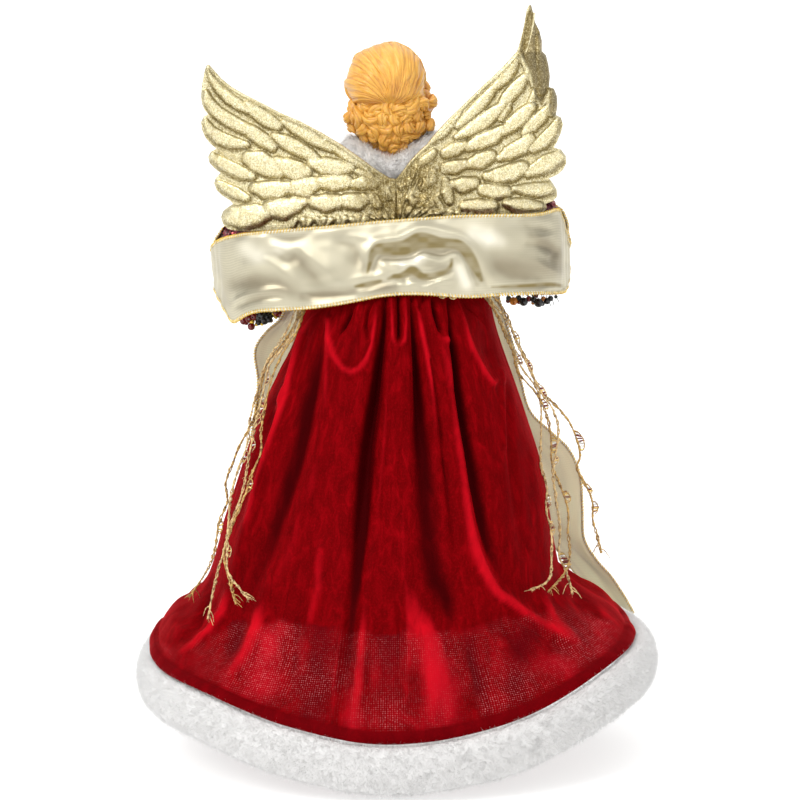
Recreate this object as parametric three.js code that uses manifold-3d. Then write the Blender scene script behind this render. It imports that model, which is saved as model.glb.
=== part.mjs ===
import * as THREE from 'three';
import { mergeVertices } from 'three/addons/utils/BufferGeometryUtils.js';
import Module from 'manifold-3d';

// Angel tree topper. Millimetres, +Z up, the angel faces -Y, its back is +Y.
// Origin: middle of the cone's lower rim. The angel's left hand is on +X.

// ---------------------------------------------------------------- driving dimensions
const CONE_R0 = 86.5;          // cone, outer radius at the rim
const CONE_R1 = 30.0;          // cone, outer radius at the top
const CONE_H = 168.0;          // cone, height
const CONE_WALL = 1.8;
const RIM_IN = 81.5;           // inner radius of the turned-in rim
const RIM_T = 2.0;             // thickness of the turned-in rim
const POST_R = 4.0;            // neck post
const POST_BORE = 4.4;
const CLOTH = 1.5;             // thickness of the velvet shell
const FOLDS = 15;              // folds round the skirt
const FOLD_A = 2.4;            // fold height
const FUR_HALF_H = 12.4;       // hem band, half height
const FUR_HALF_T = 8.0;        // hem band, half thickness
const WING_Y = 33.0;           // plane of the wings at the middle of the back
const WING_T = 1.5;            // half thickness of a wing at its middle
const SASH_T = 1.0;            // ribbon thickness
const YARN_R = 0.7;            // ladder-yarn strand
const WIRE_R = 0.8;            // wing wire
const ARM_WIRE_R = 1.0;        // arm wire
const HEAD_C = [-0.5, -3.0, 245.0];

// skirt: radius and height at left (+X), back (+Y), right (-X), front (-Y)
const SKIRT = [
  [[33.5, 170], [33.5, 170], [33.5, 170], [33.5, 170]],
  [[41.5, 158], [42.3, 158], [43.0, 158], [42.0, 158]],
  [[48.5, 139], [54.0, 139], [52.5, 139], [51.0, 139]],
  [[73.5, 75], [71.0, 75], [71.5, 75], [68.0, 75]],
  [[92.0, 22], [84.5, 22], [83.2, 22], [84.5, 22]],
  [[99.0, 1], [90.2, 0], [88.4, 9], [93.0, 6]],
  [[112.0, -8], [99.5, -24], [107.0, -3], [104.0, 1]],
];
// hem line: angle, radius, height
const HEM = [[0, 123, -25], [20, 122.5, -29.5], [40, 120.3, -32.7], [65, 114, -44], [90, 110, -50.7],
  [120, 115.5, -42.5], [150, 122, -25], [170, 124, -20], [190, 124, -17], [215, 120, -14],
  [240, 116, -12], [270, 113, -11], [300, 116, -12], [325, 120, -15], [345, 122, -21]];

// wing outlines [x, z], from the notch along the leading edge, then the feathered edge back in
const WING_L_LEAD = [[16.3, 222.3], [19.7, 224.6], [24.5, 228.0], [34.1, 233.8], [43.8, 238.6], [53.4, 242.4],
  [63.1, 247.7], [70.3, 251.0], [76.6, 254.4], [81.4, 258.2], [85.7, 263.0], [88.1, 265.4]];
const WING_L_TRAIL = [[89.6, 263.0], [90.6, 259.1], [91.1, 254.3], [91.7, 250.0], [90.3, 243.7], [87.9, 241.3],
  [90.9, 239.8], [91.9, 237.4], [91.5, 233.9], [90.2, 230.5], [87.8, 227.6], [83.9, 225.2], [88.4, 222.6],
  [89.1, 219.1], [87.1, 216.2], [81.7, 212.4], [85.3, 210.3], [86.3, 207.8], [84.9, 204.4], [81.4, 201.6],
  [76.9, 199.8], [77.5, 196.3], [80.5, 195.2], [83.0, 193.2], [82.5, 189.3], [80.5, 186.9], [77.5, 185.6],
  [73.6, 184.7], [68.6, 184.4], [60.0, 183.6], [50.0, 184.0], [40.0, 184.6], [28.0, 185.6], [16.3, 187.0]];
const WING_R_LEAD = [[-21.3, 232.3], [-23.8, 235.2], [-28.6, 240.5], [-33.4, 244.8], [-38.2, 249.6],
  [-43.1, 254.4], [-47.9, 258.8], [-52.7, 263.1], [-57.5, 268.3], [-60.8, 272.1], [-62.2, 276.4],
  [-63.7, 282.2], [-64.6, 286.9], [-65.0, 291.7], [-67.0, 294.1]];
const WING_R_TRAIL = [[-68.4, 290.8], [-69.4, 286.0], [-71.9, 282.2], [-72.8, 277.4], [-72.9, 271.6],
  [-74.8, 270.2], [-75.8, 265.4], [-76.8, 260.6], [-76.4, 254.9], [-79.3, 253.9], [-80.3, 250.0],
  [-80.3, 246.2], [-79.9, 241.4], [-82.4, 239.9], [-83.4, 237.4], [-82.5, 233.1], [-80.6, 228.2],
  [-79.7, 225.2], [-83.2, 224.2], [-85.3, 220.7], [-85.3, 217.7], [-83.9, 214.3], [-81.0, 211.9],
  [-77.5, 210.5], [-78.1, 208.5], [-80.6, 204.5], [-81.1, 201.1], [-79.2, 199.2], [-75.2, 197.4],
  [-74.2, 195.0], [-70.0, 192.4], [-60.0, 190.6], [-48.0, 189.6], [-34.0, 188.8], [-21.3, 188.4]];
const WING_C = [[15.9, 222.0], [10.0, 217.4], [5.2, 214.0], [0.3, 211.1], [-2.6, 210.4], [-4.5, 213.5],
  [-9.3, 219.8], [-14.2, 224.6], [-17.5, 227.5], [-20.9, 231.8], [-20.9, 218], [-20.9, 203], [-20.9, 188.4],
  [-12, 188.0], [-3, 187.5], [6, 187.2], [15.9, 187.0], [15.9, 199], [15.9, 211]];

// stole: half of it by |x|, with its distance from the middle plane
const SASH_Y_TOP = [[0, 38.8], [30, 38.4], [50, 37.2], [66, 35.2]];
const SASH_Y_BOT = [[0, 46.6], [30, 45.2], [50, 41.6], [66, 36.4]];
const SASH_TOP = [[66, 184.9], [63.3, 185.2], [43.7, 187.0], [24.4, 188.7], [5.1, 190.7], [-14.1, 192.1],
  [-33.4, 193.4], [-52.8, 193.7], [-66, 193.6]];
const SASH_BOT = [[66, 146.2], [63.5, 146.7], [53.7, 147.5], [43.9, 148.2], [34.2, 149.4], [24.5, 150.9],
  [14.8, 152.9], [5.2, 154.9], [-4.5, 155.8], [-14.2, 155.8], [-23.8, 155.3], [-33.5, 154.2],
  [-43.2, 154.1], [-52.9, 154.9], [-66, 155.0]];

// yarn strands
const YARN = {
  yarn_left_1: [[40.0,26.9,152.5],[49.3,28.5,135.1],[55.4,22.5,126.0],[61.1,17.7,118.9],[64.7,17.0,103.9],[67.6,19.5,91.8],[75.5,12.4,76.2],[78.7,10.2,67.7],[82.0,14.5,58.9],[80.9,23.5,50.4],[84.9,26.6,40.4],[86.8,31.0,27.6],[88.8,31.0,21.6],[94.3,23.5,11.0],[100.9,15.0,0.9]],
  yarn_left_2: [[43.7,26.3,152.5],[48.1,32.7,135.1],[53.7,28.3,126.7],[59.3,25.5,119.4],[62.8,25.0,105.0],[65.8,26.6,92.8],[69.5,32.5,74.8],[72.4,35.5,58.9],[77.8,37.8,43.4],[82.2,40.1,27.4],[84.1,43.1,21.5],[86.9,46.5,9.8],[89.2,50.7,-2.8]],
  yarn_left_3: [[40.4,30.5,152.5],[46.5,37.4,135.2],[52.0,34.7,127.0],[57.0,33.2,116.5],[60.0,33.5,106.2],[62.4,35.4,94.1],[63.3,38.1,86.6],[63.3,40.5,78.1],[67.6,42.1,68.0],[71.1,43.4,57.3],[76.2,48.0,45.4],[81.2,48.0,28.1],[78.2,52.8,17.0],[74.7,63.9,7.5]],
  yarn_left_4: [[44.3,30.0,152.5],[50.6,31.6,136.9],[56.8,25.2,126.8],[61.9,20.9,117.8],[66.0,19.3,104.7],[69.5,21.2,91.0],[70.9,24.9,79.1],[75.2,29.1,67.3],[78.4,33.8,55.7],[78.9,46.0,46.0],[79.3,51.3,38.8],[79.3,53.5,33.5],[78.9,56.7,22.2],[73.2,63.5,15.3],[68.0,71.6,11.5]],
  yarn_right_1: [[-47.0,16.4,156.0],[-57.1,4.0,141.7],[-61.7,4.0,130.2],[-68.7,4.0,116.2],[-73.8,4.0,104.6],[-84.8,4.0,93.0],[-90.4,4.0,84.9],[-94.5,4.0,70.8],[-93.0,4.0,64.2],[-97.1,4.0,56.1],[-100.7,4.0,48.0],[-101.3,4.0,37.3],[-103.9,4.0,28.1],[-105.5,4.0,21.0]],
  yarn_right_2: [[-43.3,15.8,156.0],[-54.0,10.2,139.4],[-59.6,8.2,126.7],[-65.1,7.0,115.0],[-71.7,6.5,105.9],[-74.2,6.9,99.5],[-74.7,9.2,84.7],[-74.6,12.7,67.6],[-77.4,17.0,56.8],[-76.9,22.8,46.2],[-79.3,27.4,36.0],[-79.0,34.4,25.8],[-77.6,44.6,16.3],[-68.8,57.2,12.9]],
  yarn_right_3: [[-46.6,20.0,156.0],[-55.4,12.4,134.7],[-60.5,10.4,123.0],[-63.1,9.1,113.3],[-71.6,9.1,103.3],[-76.6,9.0,94.2],[-79.7,8.4,80.1],[-80.3,8.4,67.0],[-85.9,8.4,52.3],[-88.4,8.7,43.7],[-88.4,10.6,32.9],[-89.1,16.8,24.4],[-86.5,30.0,16.9],[-76.7,48.9,10.3]],
  yarn_right_4: [[-42.7,19.5,156.0],[-57.9,10.6,138.4],[-62.9,12.6,127.0],[-68.9,12.6,114.5],[-74.5,12.6,103.5],[-80.0,11.6,95.5],[-83.0,10.8,86.9],[-82.6,10.8,76.9],[-80.7,11.2,64.3],[-82.3,11.8,49.3],[-84.2,13.9,34.5],[-83.6,17.9,22.6],[-86.8,25.2,15.9],[-89.6,34.2,6.3]],
};

// ---------------------------------------------------------------- helpers
const rad = (d) => d * Math.PI / 180;
const lerp = (a, b, t) => a + (b - a) * t;
const smooth = (a, b, x) => { const t = Math.min(1, Math.max(0, (x - a) / (b - a))); return t * t * (3 - 2 * t); };

function interp(table, x) {
  const s = table[0][0] < table[table.length - 1][0] ? 1 : -1;
  for (let i = 0; i < table.length - 1; i++) {
    const a = table[i], b = table[i + 1];
    if (s * x <= s * b[0] || i === table.length - 2) return lerp(a[1], b[1], (x - a[0]) / (b[0] - a[0]));
  }
  return table[0][1];
}

// closed body from points and triangles, turned outward
function body(verts, tris) {
  let vol = 0;
  for (const [a, b, c] of tris) {
    const p = verts[a], q = verts[b], r = verts[c];
    vol += p[0] * (q[1] * r[2] - q[2] * r[1]) - p[1] * (q[0] * r[2] - q[2] * r[0]) + p[2] * (q[0] * r[1] - q[1] * r[0]);
  }
  const g = new THREE.BufferGeometry();
  g.setAttribute('position', new THREE.Float32BufferAttribute(verts.flat(), 3));
  g.setIndex((vol < 0 ? tris.map(([a, b, c]) => [a, c, b]) : tris).flat());
  g.computeVertexNormals();
  return g;
}

// rings of equal length joined in order; ends capped, or the last ring joined to the first
function loft(rings, closed = false) {
  const n = rings[0].length, verts = rings.flat(), tris = [];
  const m = rings.length, last = closed ? m : m - 1;
  for (let i = 0; i < last; i++) {
    const a = i * n, b = ((i + 1) % m) * n;
    for (let j = 0; j < n; j++) {
      const k = (j + 1) % n;
      tris.push([a + j, b + j, b + k], [a + j, b + k, a + k]);
    }
  }
  if (!closed) {
    for (const [base, flip] of [[0, 1], [(m - 1) * n, 0]]) {
      const c = [0, 0, 0];
      for (let j = 0; j < n; j++) for (let d = 0; d < 3; d++) c[d] += verts[base + j][d] / n;
      verts.push(c);
      const ci = verts.length - 1;
      for (let j = 0; j < n; j++) {
        const k = (j + 1) % n;
        tris.push(flip ? [ci, base + j, base + k] : [ci, base + k, base + j]);
      }
    }
  }
  return body(verts, tris);
}

// turned shape: closed profile of [r, z] points
function turned(profile, seg, sx = 1, sy = 1) {
  const rings = [];
  for (let i = 0; i < seg; i++) {
    const a = 2 * Math.PI * i / seg;
    rings.push(profile.map(([r, z]) => [r * Math.cos(a) * sx, r * Math.sin(a) * sy, z]));
  }
  return loft(rings, true);
}

// solid turned about the axis, profile starts and ends on the axis
function solidOfRev(profile, seg) {
  const g = new THREE.LatheGeometry(profile.map(([r, z]) => new THREE.Vector2(r, z)), seg);
  g.rotateX(Math.PI / 2);
  return fromManifold(toManifold(g));
}

function tube(points, r, sides, steps) {
  const path = new THREE.CatmullRomCurve3(points.map((p) => new THREE.Vector3(...p)), false, 'centripetal');
  const s = new THREE.Shape();
  for (let i = 0; i < sides; i++) {
    const a = 2 * Math.PI * i / sides;
    if (i === 0) s.moveTo(r * Math.cos(a), r * Math.sin(a)); else s.lineTo(r * Math.cos(a), r * Math.sin(a));
  }
  s.closePath();
  return new THREE.ExtrudeGeometry(s, { steps, bevelEnabled: false, extrudePath: path });
}

const wasm = await Module();
wasm.setup();
function toManifold(geometry) {
  const g0 = geometry.clone();
  g0.deleteAttribute('normal'); g0.deleteAttribute('uv');
  const g = mergeVertices(g0, 1e-4);
  const idx = g.index.array, pos = g.attributes.position.array;
  const keep = [];
  for (let i = 0; i < idx.length; i += 3) {
    if (idx[i] !== idx[i + 1] && idx[i + 1] !== idx[i + 2] && idx[i] !== idx[i + 2]) keep.push(idx[i], idx[i + 1], idx[i + 2]);
  }
  let m = new wasm.Manifold(new wasm.Mesh({ numProp: 3, vertProperties: new Float32Array(pos), triVerts: new Uint32Array(keep) }));
  return m;
}
function fromManifold(m) {
  const mesh = m.getMesh();
  const g = new THREE.BufferGeometry();
  const np = mesh.numProp, n = mesh.vertProperties.length / np, p = new Float32Array(n * 3);
  for (let i = 0; i < n; i++) for (let d = 0; d < 3; d++) p[i * 3 + d] = mesh.vertProperties[i * np + d];
  g.setAttribute('position', new THREE.BufferAttribute(p, 3));
  g.setIndex(new THREE.BufferAttribute(new Uint32Array(mesh.triVerts), 1));
  g.computeVertexNormals();
  return g;
}
const unite = (list) => list.map(toManifold).reduce((a, b) => a.add(b));
function ball(c, r, ws = 14, hs = 10) {
  const g = new THREE.SphereGeometry(1, ws, hs);
  g.rotateX(Math.PI / 2);
  const s = Array.isArray(r) ? r : [r, r, r];
  g.scale(...s); g.translate(...c);
  return g;
}

const group = new THREE.Group();
group.name = 'angel_tree_topper';
const mat = {
  cone: new THREE.MeshStandardMaterial({ name: 'cone_plastic', color: 0xe9e6df, roughness: 0.55, metalness: 0 }),
  foam: new THREE.MeshStandardMaterial({ name: 'foam', color: 0xefece6, roughness: 0.9, metalness: 0 }),
  wood: new THREE.MeshStandardMaterial({ name: 'post_wood', color: 0xc9a878, roughness: 0.7, metalness: 0 }),
  velvet: new THREE.MeshStandardMaterial({ name: 'velvet', color: 0x8e0812, roughness: 0.85, metalness: 0 }),
  fur: new THREE.MeshStandardMaterial({ name: 'faux_fur', color: 0xf3f2f1, roughness: 0.95, metalness: 0 }),
  lame: new THREE.MeshStandardMaterial({ name: 'gold_lame', color: 0xd9ca8c, roughness: 0.32, metalness: 0.75 }),
  ribbon: new THREE.MeshStandardMaterial({ name: 'gold_ribbon', color: 0xcfc6a2, roughness: 0.45, metalness: 0.35 }),
  yarn: new THREE.MeshStandardMaterial({ name: 'gold_yarn', color: 0xc9a45c, roughness: 0.5, metalness: 0.4 }),
  sequin: new THREE.MeshStandardMaterial({ name: 'sequin_cloth', color: 0x3a0a12, roughness: 0.45, metalness: 0.3 }),
  bead: new THREE.MeshStandardMaterial({ name: 'beads', color: 0x2a0608, roughness: 0.2, metalness: 0.1 }),
  hair: new THREE.MeshStandardMaterial({ name: 'hair_plastic', color: 0xedaa3e, roughness: 0.45, metalness: 0 }),
  skin: new THREE.MeshStandardMaterial({ name: 'skin_plastic', color: 0xf0c9ae, roughness: 0.5, metalness: 0 }),
  wire: new THREE.MeshStandardMaterial({ name: 'steel_wire', color: 0xa9a9a6, roughness: 0.35, metalness: 0.9 }),
};
function part(name, geometry, material) {
  const m = new THREE.Mesh(geometry, material);
  m.name = name;
  group.add(m);
}

// ---------------------------------------------------------------- cone, plug, post, chest
const coneR = (z) => lerp(CONE_R0, CONE_R1, z / CONE_H);
part('inner_cone', turned([
  [RIM_IN, 0], [CONE_R0, 0], [coneR(40), 40], [coneR(84), 84], [coneR(128), 128], [CONE_R1, CONE_H],
  [CONE_R1 - CONE_WALL, CONE_H], [coneR(84) - CONE_WALL, 84], [coneR(RIM_T) - CONE_WALL, RIM_T], [RIM_IN, RIM_T]], 44), mat.cone);
part('cone_cap', turned([
  [POST_BORE, 160], [27.6, 160], [27.6, 168.3], [30.0, 168.3], [30.0, 171.6], [POST_BORE, 171.6]], 32), mat.cone);
part('neck_post', solidOfRev([[0, 158], [POST_R, 158], [POST_R, 221.5], [0, 221.5]], 20), mat.wood);

const ell = (a, b, z, n = 32) => Array.from({ length: n }, (_, i) => [a * Math.cos(2 * Math.PI * i / n), b * Math.sin(2 * Math.PI * i / n), z]);
function boredLoft(sections, n = 32) {
  const out = sections.map(([a, b, z]) => ell(a, b, z, n));
  const bore = [sections[sections.length - 1][2], sections[0][2]].map((z) => ell(POST_BORE, POST_BORE, z, n));
  return loft([...out, ...bore], true);
}
part('torso_core', boredLoft([[28.0, 24.5, 172.0], [28.8, 24.0, 180], [30.5, 21.8, 190], [31.5, 20.5, 195.6]]), mat.foam);
part('shoulder_yoke', boredLoft([[31.6, 20.4, 196.0], [32.4, 19.6, 199.6], [30.2, 18.0, 203.0], [23.0, 15.0, 205.0], [11.5, 10.5, 205.6]]), mat.foam);
function shell(sections, wall, n = 36) {
  const out = sections.map(([a, b, z]) => ell(a, b, z, n));
  const inn = sections.slice().reverse().map(([a, b, z]) => ell(a - wall, b - wall, z, n));
  return loft([...out, ...inn], true);
}
part('bodice', shell([[30.0, 26.4, 172.0], [30.7, 26.0, 180], [32.6, 23.9, 190], [34.2, 22.3, 197], [34.4, 21.6, 201.5]], 1.2, 32), mat.sequin);
part('waist_band', turned([[32.4, 170.4], [34.8, 170.4], [35.2, 173.4], [34.8, 176.4], [32.4, 176.4]].map(([r, z]) => [r, z]), 36, 1, 0.95), mat.yarn);

// ---------------------------------------------------------------- skirt and hem
function around(table, th) {
  th = ((th % 360) + 360) % 360;
  const n = table.length;
  for (let i = 0; i < n; i++) {
    const a = table[i][0], b = table[(i + 1) % n][0] + (i === n - 1 ? 360 : 0);
    const t = th >= a ? th : th + 360;
    if (!(a <= t && t < b)) continue;
    const p = table[(i + n - 1) % n], q = table[(i + 2) % n];
    const pa = p[0] - (i === 0 ? 360 : 0), qa = q[0] + (i >= n - 2 ? 360 : 0);
    const u = (t - a) / (b - a);
    return [1, 2].map((k) => {
      const y0 = table[i][k], y1 = table[(i + 1) % n][k];
      const m0 = (y1 - p[k]) / (b - pa) * (b - a), m1 = (q[k] - y0) / (qa - a) * (b - a);
      return (2 * u ** 3 - 3 * u * u + 1) * y0 + (u ** 3 - 2 * u * u + u) * m0 + (-2 * u ** 3 + 3 * u * u) * y1 + (u ** 3 - u * u) * m1;
    });
  }
  return [table[0][1], table[0][2]];
}
function skirtProfile(th) {
  const P = SKIRT.map((L) => around(L.map((v, i) => [90 * i, v[0], v[1]]), th));
  const [R, Z] = around(HEM, th);
  P.push([R - 0.6, Z + 9 + 3 * Math.max(0, Math.cos(rad(th)))], [R, Z]);
  return P;
}
const SKIRT_SEG = FOLDS * 4;
{
  const outer = [], inner = [];
  for (let i = 0; i < SKIRT_SEG; i++) {
    const th = 360 * i / SKIRT_SEG, P = skirtProfile(th), c = Math.cos(rad(th)), s = Math.sin(rad(th));
    outer.push([]); inner.push([]);
    P.forEach(([R, Z], k) => {
      const f = (k === 0 ? 0.35 : 1) * FOLD_A * (0.5 + 0.5 * Math.cos(rad(th * FOLDS + 25 * k)));
      const ro = R - (k === 0 ? 0.4 : 1.6) + f, ri = Math.max(ro - CLOTH, k === 0 ? 31.2 : 0);
      outer[i].push([ro * c, ro * s, Z]); inner[i].push([ri * c, ri * s, Z]);
    });
  }
  const rings = outer.map((o, i) => [...o, ...inner[i].slice().reverse()]);
  part('velvet_skirt', loft(rings, true), mat.velvet);
}
{
  const n = 52, rings = [];
  for (let i = 0; i < n; i++) {
    const th = 360 * i / n, [R, Z] = around(HEM, th), c = Math.cos(rad(th)), s = Math.sin(rad(th));
    const ring = [];
    for (let j = 0; j < 8; j++) {
      const a = 2 * Math.PI * (j + 0.5) / 8;
      const u = FUR_HALF_T * Math.cos(a), v = FUR_HALF_H * Math.sin(a);
      const r = R + 2.6 + u * 0.97 - v * 0.12, z = Z - FUR_HALF_H - 1.6 + v + u * 0.1;
      ring.push([r * c, r * s, z]);
    }
    rings.push(ring);
  }
  part('fur_hem', loft(rings, true), mat.fur);
}

// ---------------------------------------------------------------- head, hair, collar
function headGeometry(grow, ws = 20, hs = 14) {
  const g = new THREE.SphereGeometry(1, ws, hs);
  g.rotateX(Math.PI / 2);
  const p = g.attributes.position;
  for (let i = 0; i < p.count; i++) {
    const x = p.getX(i), y = p.getY(i), z = p.getZ(i);
    const jaw = 1 - 0.26 * smooth(-0.1, -1, z) * smooth(0.4, -0.6, y);
    const front = smooth(0.2, -0.9, y);
    let ry = 18.2;
    const nose = 2.6 * Math.exp(-((x / 0.13) ** 2) - (((z + 0.14) / 0.2) ** 2)) * front;
    const brow = 0.5 * Math.exp(-(((z - 0.22) / 0.12) ** 2)) * front;
    const lips = 0.7 * Math.exp(-((x / 0.22) ** 2) - (((z + 0.5) / 0.1) ** 2)) * front;
    const chin = 1.0 * Math.exp(-((x / 0.25) ** 2) - (((z + 0.82) / 0.14) ** 2)) * front;
    const eye = -0.9 * Math.exp(-(((Math.abs(x) - 0.36) / 0.16) ** 2) - (((z - 0.04) / 0.12) ** 2)) * front;
    p.setXYZ(i, HEAD_C[0] + x * (16.2 + grow) * jaw, HEAD_C[1] + y * (ry + grow) - (nose + brow + lips + chin + eye), HEAD_C[2] + z * (20.5 + grow));
  }
  return g;
}
const neck = (r, z0) => { const g = new THREE.CylinderGeometry(r, r + 0.8, 232 - z0, 20); g.rotateX(Math.PI / 2); g.translate(-0.2, -0.5, (232 + z0) / 2); return g; };
const bore = new THREE.CylinderGeometry(POST_BORE, POST_BORE, 17, 20);
bore.rotateX(Math.PI / 2); bore.translate(0, 0, 213.5);
part('head', fromManifold(toManifold(headGeometry(0)).add(toManifold(neck(7.6, 206.1))).subtract(toManifold(bore))), mat.skin);
{
  const lobes = [
    ball([2.6, 1.5, 254.2], [20.0, 20.5, 20.6], 16, 12), ball([-7, 2, 257], [10.5, 15, 11.5], 8, 6),
    ball([17.5, 4, 240.0], [7.2, 8, 7.0], 8, 6), ball([-17.6, 2, 243.5], [6.6, 7.5, 5.6], 8, 6),
    ball([9, 13.5, 239], [9.5, 7.5, 8.5], 8, 6), ball([-1.5, 16, 239], [8.5, 7, 8.5], 8, 6), ball([-11.5, 12.5, 239.5], [8.5, 8, 8], 8, 6),
    ball([-3.2, 14.5, 230.5], [7.2, 6.6, 8.6], 8, 6), ball([5.5, 13, 232.5], [7.5, 6.5, 7.5], 8, 6), ball([-10.5, 11, 233], [6.5, 6.5, 6.5], 8, 6),
    ball([14.5, 7, 235.8], [7.4, 7, 5.8], 8, 6), ball([-17, 3.5, 236.8], [5.8, 6, 6.2], 8, 6),
    ball([18.6, -5, 241.5], [4.6, 6.5, 8.5], 8, 6), ball([-18.2, -5.5, 243], [4.2, 6.5, 8.5], 8, 6), ball([17.0, -6, 249.5], [5.5, 7.5, 8], 8, 6), ball([-16.0, -6, 251], [5, 7.5, 8], 8, 6),
  ];
  let h = unite(lobes);
  h = h.subtract(toManifold(headGeometry(0.35)));
  h = h.subtract(toManifold(neck(8.2, 205)));
  h = h.subtract(toManifold(ball([-0.5, -24, 241.5], [14.2, 17, 20.0], 14, 10)));
  const pieces = h.decompose();
  let best = pieces[0];
  for (const q of pieces) if (q.volume() > best.volume()) best = q;
  part('hair', fromManifold(best), mat.hair);
}
{
  const n = 32, rings = [];
  for (let i = 0; i < n; i++) {
    const a = 2 * Math.PI * i / n, c = Math.cos(a), s = Math.sin(a);
    const side = Math.abs(c) ** 1.5, back = Math.max(0, s), front = Math.max(0, -s);
    const zc = 212.6 + 5.2 * side + (c < 0 ? 2.5 * side : 0) + 0.4 * front;
    const hh = 6.6 + 4.2 * side * (1 - 0.3 * front) + 0.6 * front;
    const R = 19.0 * (1 - 0.06 * back);
    const ring = [];
    for (let j = 0; j < 8; j++) {
      const b = 2 * Math.PI * j / 8;
      const r = R + 6.4 * Math.cos(b) + 0.18 * hh * Math.sin(b) * 0.5;
      ring.push([-0.2 + r * c, -0.8 + r * s * 0.93, zc + hh * Math.sin(b)]);
    }
    rings.push(ring);
  }
  part('fur_collar', loft(rings, true), mat.fur);
}

// ---------------------------------------------------------------- wings
const wingY = (x, z) => WING_Y - (1 - 0.8 * smooth(200, 250, z)) * 16.6 * (Math.min(Math.abs(x), 84) / 80) ** 3.2;
// padded plate from an outline in x-z, rings shrink toward a middle point
function plate(outline, mid, rings, flutes) {
  const n = outline.length, verts = [], tris = [];
  const conv = outline.map((p, i) => {
    const a = outline[(i + n - 1) % n], b = outline[(i + 1) % n];
    const mx = (a[0] + b[0]) / 2 - p[0], mz = (a[1] + b[1]) / 2 - p[1];
    const dx = mid[0] - p[0], dz = mid[1] - p[1], d = Math.hypot(dx, dz);
    return Math.max(-1, Math.min(1, (mx * dx + mz * dz) / d / 1.2));
  });
  const row = (side, k) => {
    const t = k / rings, out = [];
    for (let i = 0; i < n; i++) {
      const x = lerp(outline[i][0], mid[0], t), z = lerp(outline[i][1], mid[1], t);
      const h = WING_T * (0.42 + 0.58 * smooth(0, 0.35, t)) + flutes * conv[i] * (1 - t) * smooth(0, 0.2, t) * 0.5;
      out.push([x, wingY(x, z) + side * h, z]);
    }
    return out;
  };
  for (const side of [1, -1]) {
    for (let k = 0; k < rings; k++) verts.push(...row(side, k));
    verts.push([mid[0], wingY(...mid) + side * WING_T, mid[1]]);
  }
  const half = rings * n + 1;
  for (const s of [0, 1]) {
    const o = s * half;
    const put = (a, b, c) => tris.push(s ? [a, c, b] : [a, b, c]);
    for (let k = 0; k < rings - 1; k++) {
      for (let i = 0; i < n; i++) {
        const j = (i + 1) % n, a = o + k * n, b = o + (k + 1) * n;
        put(a + i, a + j, b + j); put(a + i, b + j, b + i);
      }
    }
    const a = o + (rings - 1) * n, c = o + half - 1;
    for (let i = 0; i < n; i++) put(a + i, a + (i + 1) % n, c);
  }
  for (let i = 0; i < n; i++) {
    const j = (i + 1) % n;
    tris.push([i, half + i, half + j], [i, half + j, j]);
  }
  return body(verts, tris);
}
part('wing_center', plate(WING_C, [-2.6, 198], 3, 0), mat.lame);
part('wing_left', plate([...WING_L_LEAD, ...WING_L_TRAIL], [58, 214], 6, 0.8), mat.lame);
part('wing_right', plate([...WING_R_LEAD, ...WING_R_TRAIL], [-58, 222], 6, 0.8), mat.lame);
function leadWire(lead) {
  const pts = lead.map(([x, z], i) => {
    const a = lead[Math.max(0, i - 1)], b = lead[Math.min(lead.length - 1, i + 1)];
    const dx = b[0] - a[0], dz = b[1] - a[1], d = Math.hypot(dx, dz), s = Math.sign(x);
    const px = x + s * (dz / d) * 4.0, pz = z - s * (dx / d) * 4.0 * 1.0;
    return [px, wingY(px, pz) - WING_T - WIRE_R - 0.9, pz];
  });
  return pts;
}
{
  const L = leadWire(WING_L_LEAD).slice(0, -1); L[0][0] = 17.4;
  const R = leadWire(WING_R_LEAD).slice(0, -1);
  part('wing_wire_left', tube(L, WIRE_R, 6, 26), mat.wire);
  part('wing_wire_right', tube(R, WIRE_R, 6, 26), mat.wire);
}
{
  const y0 = 26.9, y1 = 31.1, r = (y) => [[-14, y, 189], [9, y, 189], [9, y, 203.5], [2, y, 206.5], [-7, y, 206.5], [-14, y, 203.5]];
  part('wing_pad', loft([r(y0), r(y1)]), mat.foam);
}

// ---------------------------------------------------------------- stole
// ribbon of sections [upper point, lower point]; thickness along the given outward directions
function ribbon(sections, thickness = SASH_T, across = 4) {
  const m = sections.length;
  const rings = sections.map(([A, B], i) => {
    const [A0, B0] = sections[Math.max(0, i - 1)], [A1, B1] = sections[Math.min(m - 1, i + 1)];
    const t = new THREE.Vector3(A1[0] + B1[0] - A0[0] - B0[0], A1[1] + B1[1] - A0[1] - B0[1], A1[2] + B1[2] - A0[2] - B0[2]).normalize();
    const w = new THREE.Vector3(B[0] - A[0], B[1] - A[1], B[2] - A[2]).normalize();
    const nrm = new THREE.Vector3().crossVectors(t, w).normalize().multiplyScalar(thickness / 2);
    const front = [], back = [];
    for (let k = 0; k <= across; k++) {
      const u = k / across, p = [lerp(A[0], B[0], u), lerp(A[1], B[1], u), lerp(A[2], B[2], u)];
      front.push([p[0] + nrm.x, p[1] + nrm.y, p[2] + nrm.z]);
      back.push([p[0] - nrm.x, p[1] - nrm.y, p[2] - nrm.z]);
    }
    return [...front, ...back.reverse()];
  });
  return loft(rings);
}
{
  const s = [];
  for (let x = -66; x <= 66.01; x += 6) s.push([[x, interp(SASH_Y_TOP, Math.abs(x)), interp(SASH_TOP, x)], [x, interp(SASH_Y_BOT, Math.abs(x)), interp(SASH_BOT, x)]]);
  part('sash_back', ribbon(s, SASH_T, 4), mat.ribbon);
}
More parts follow.
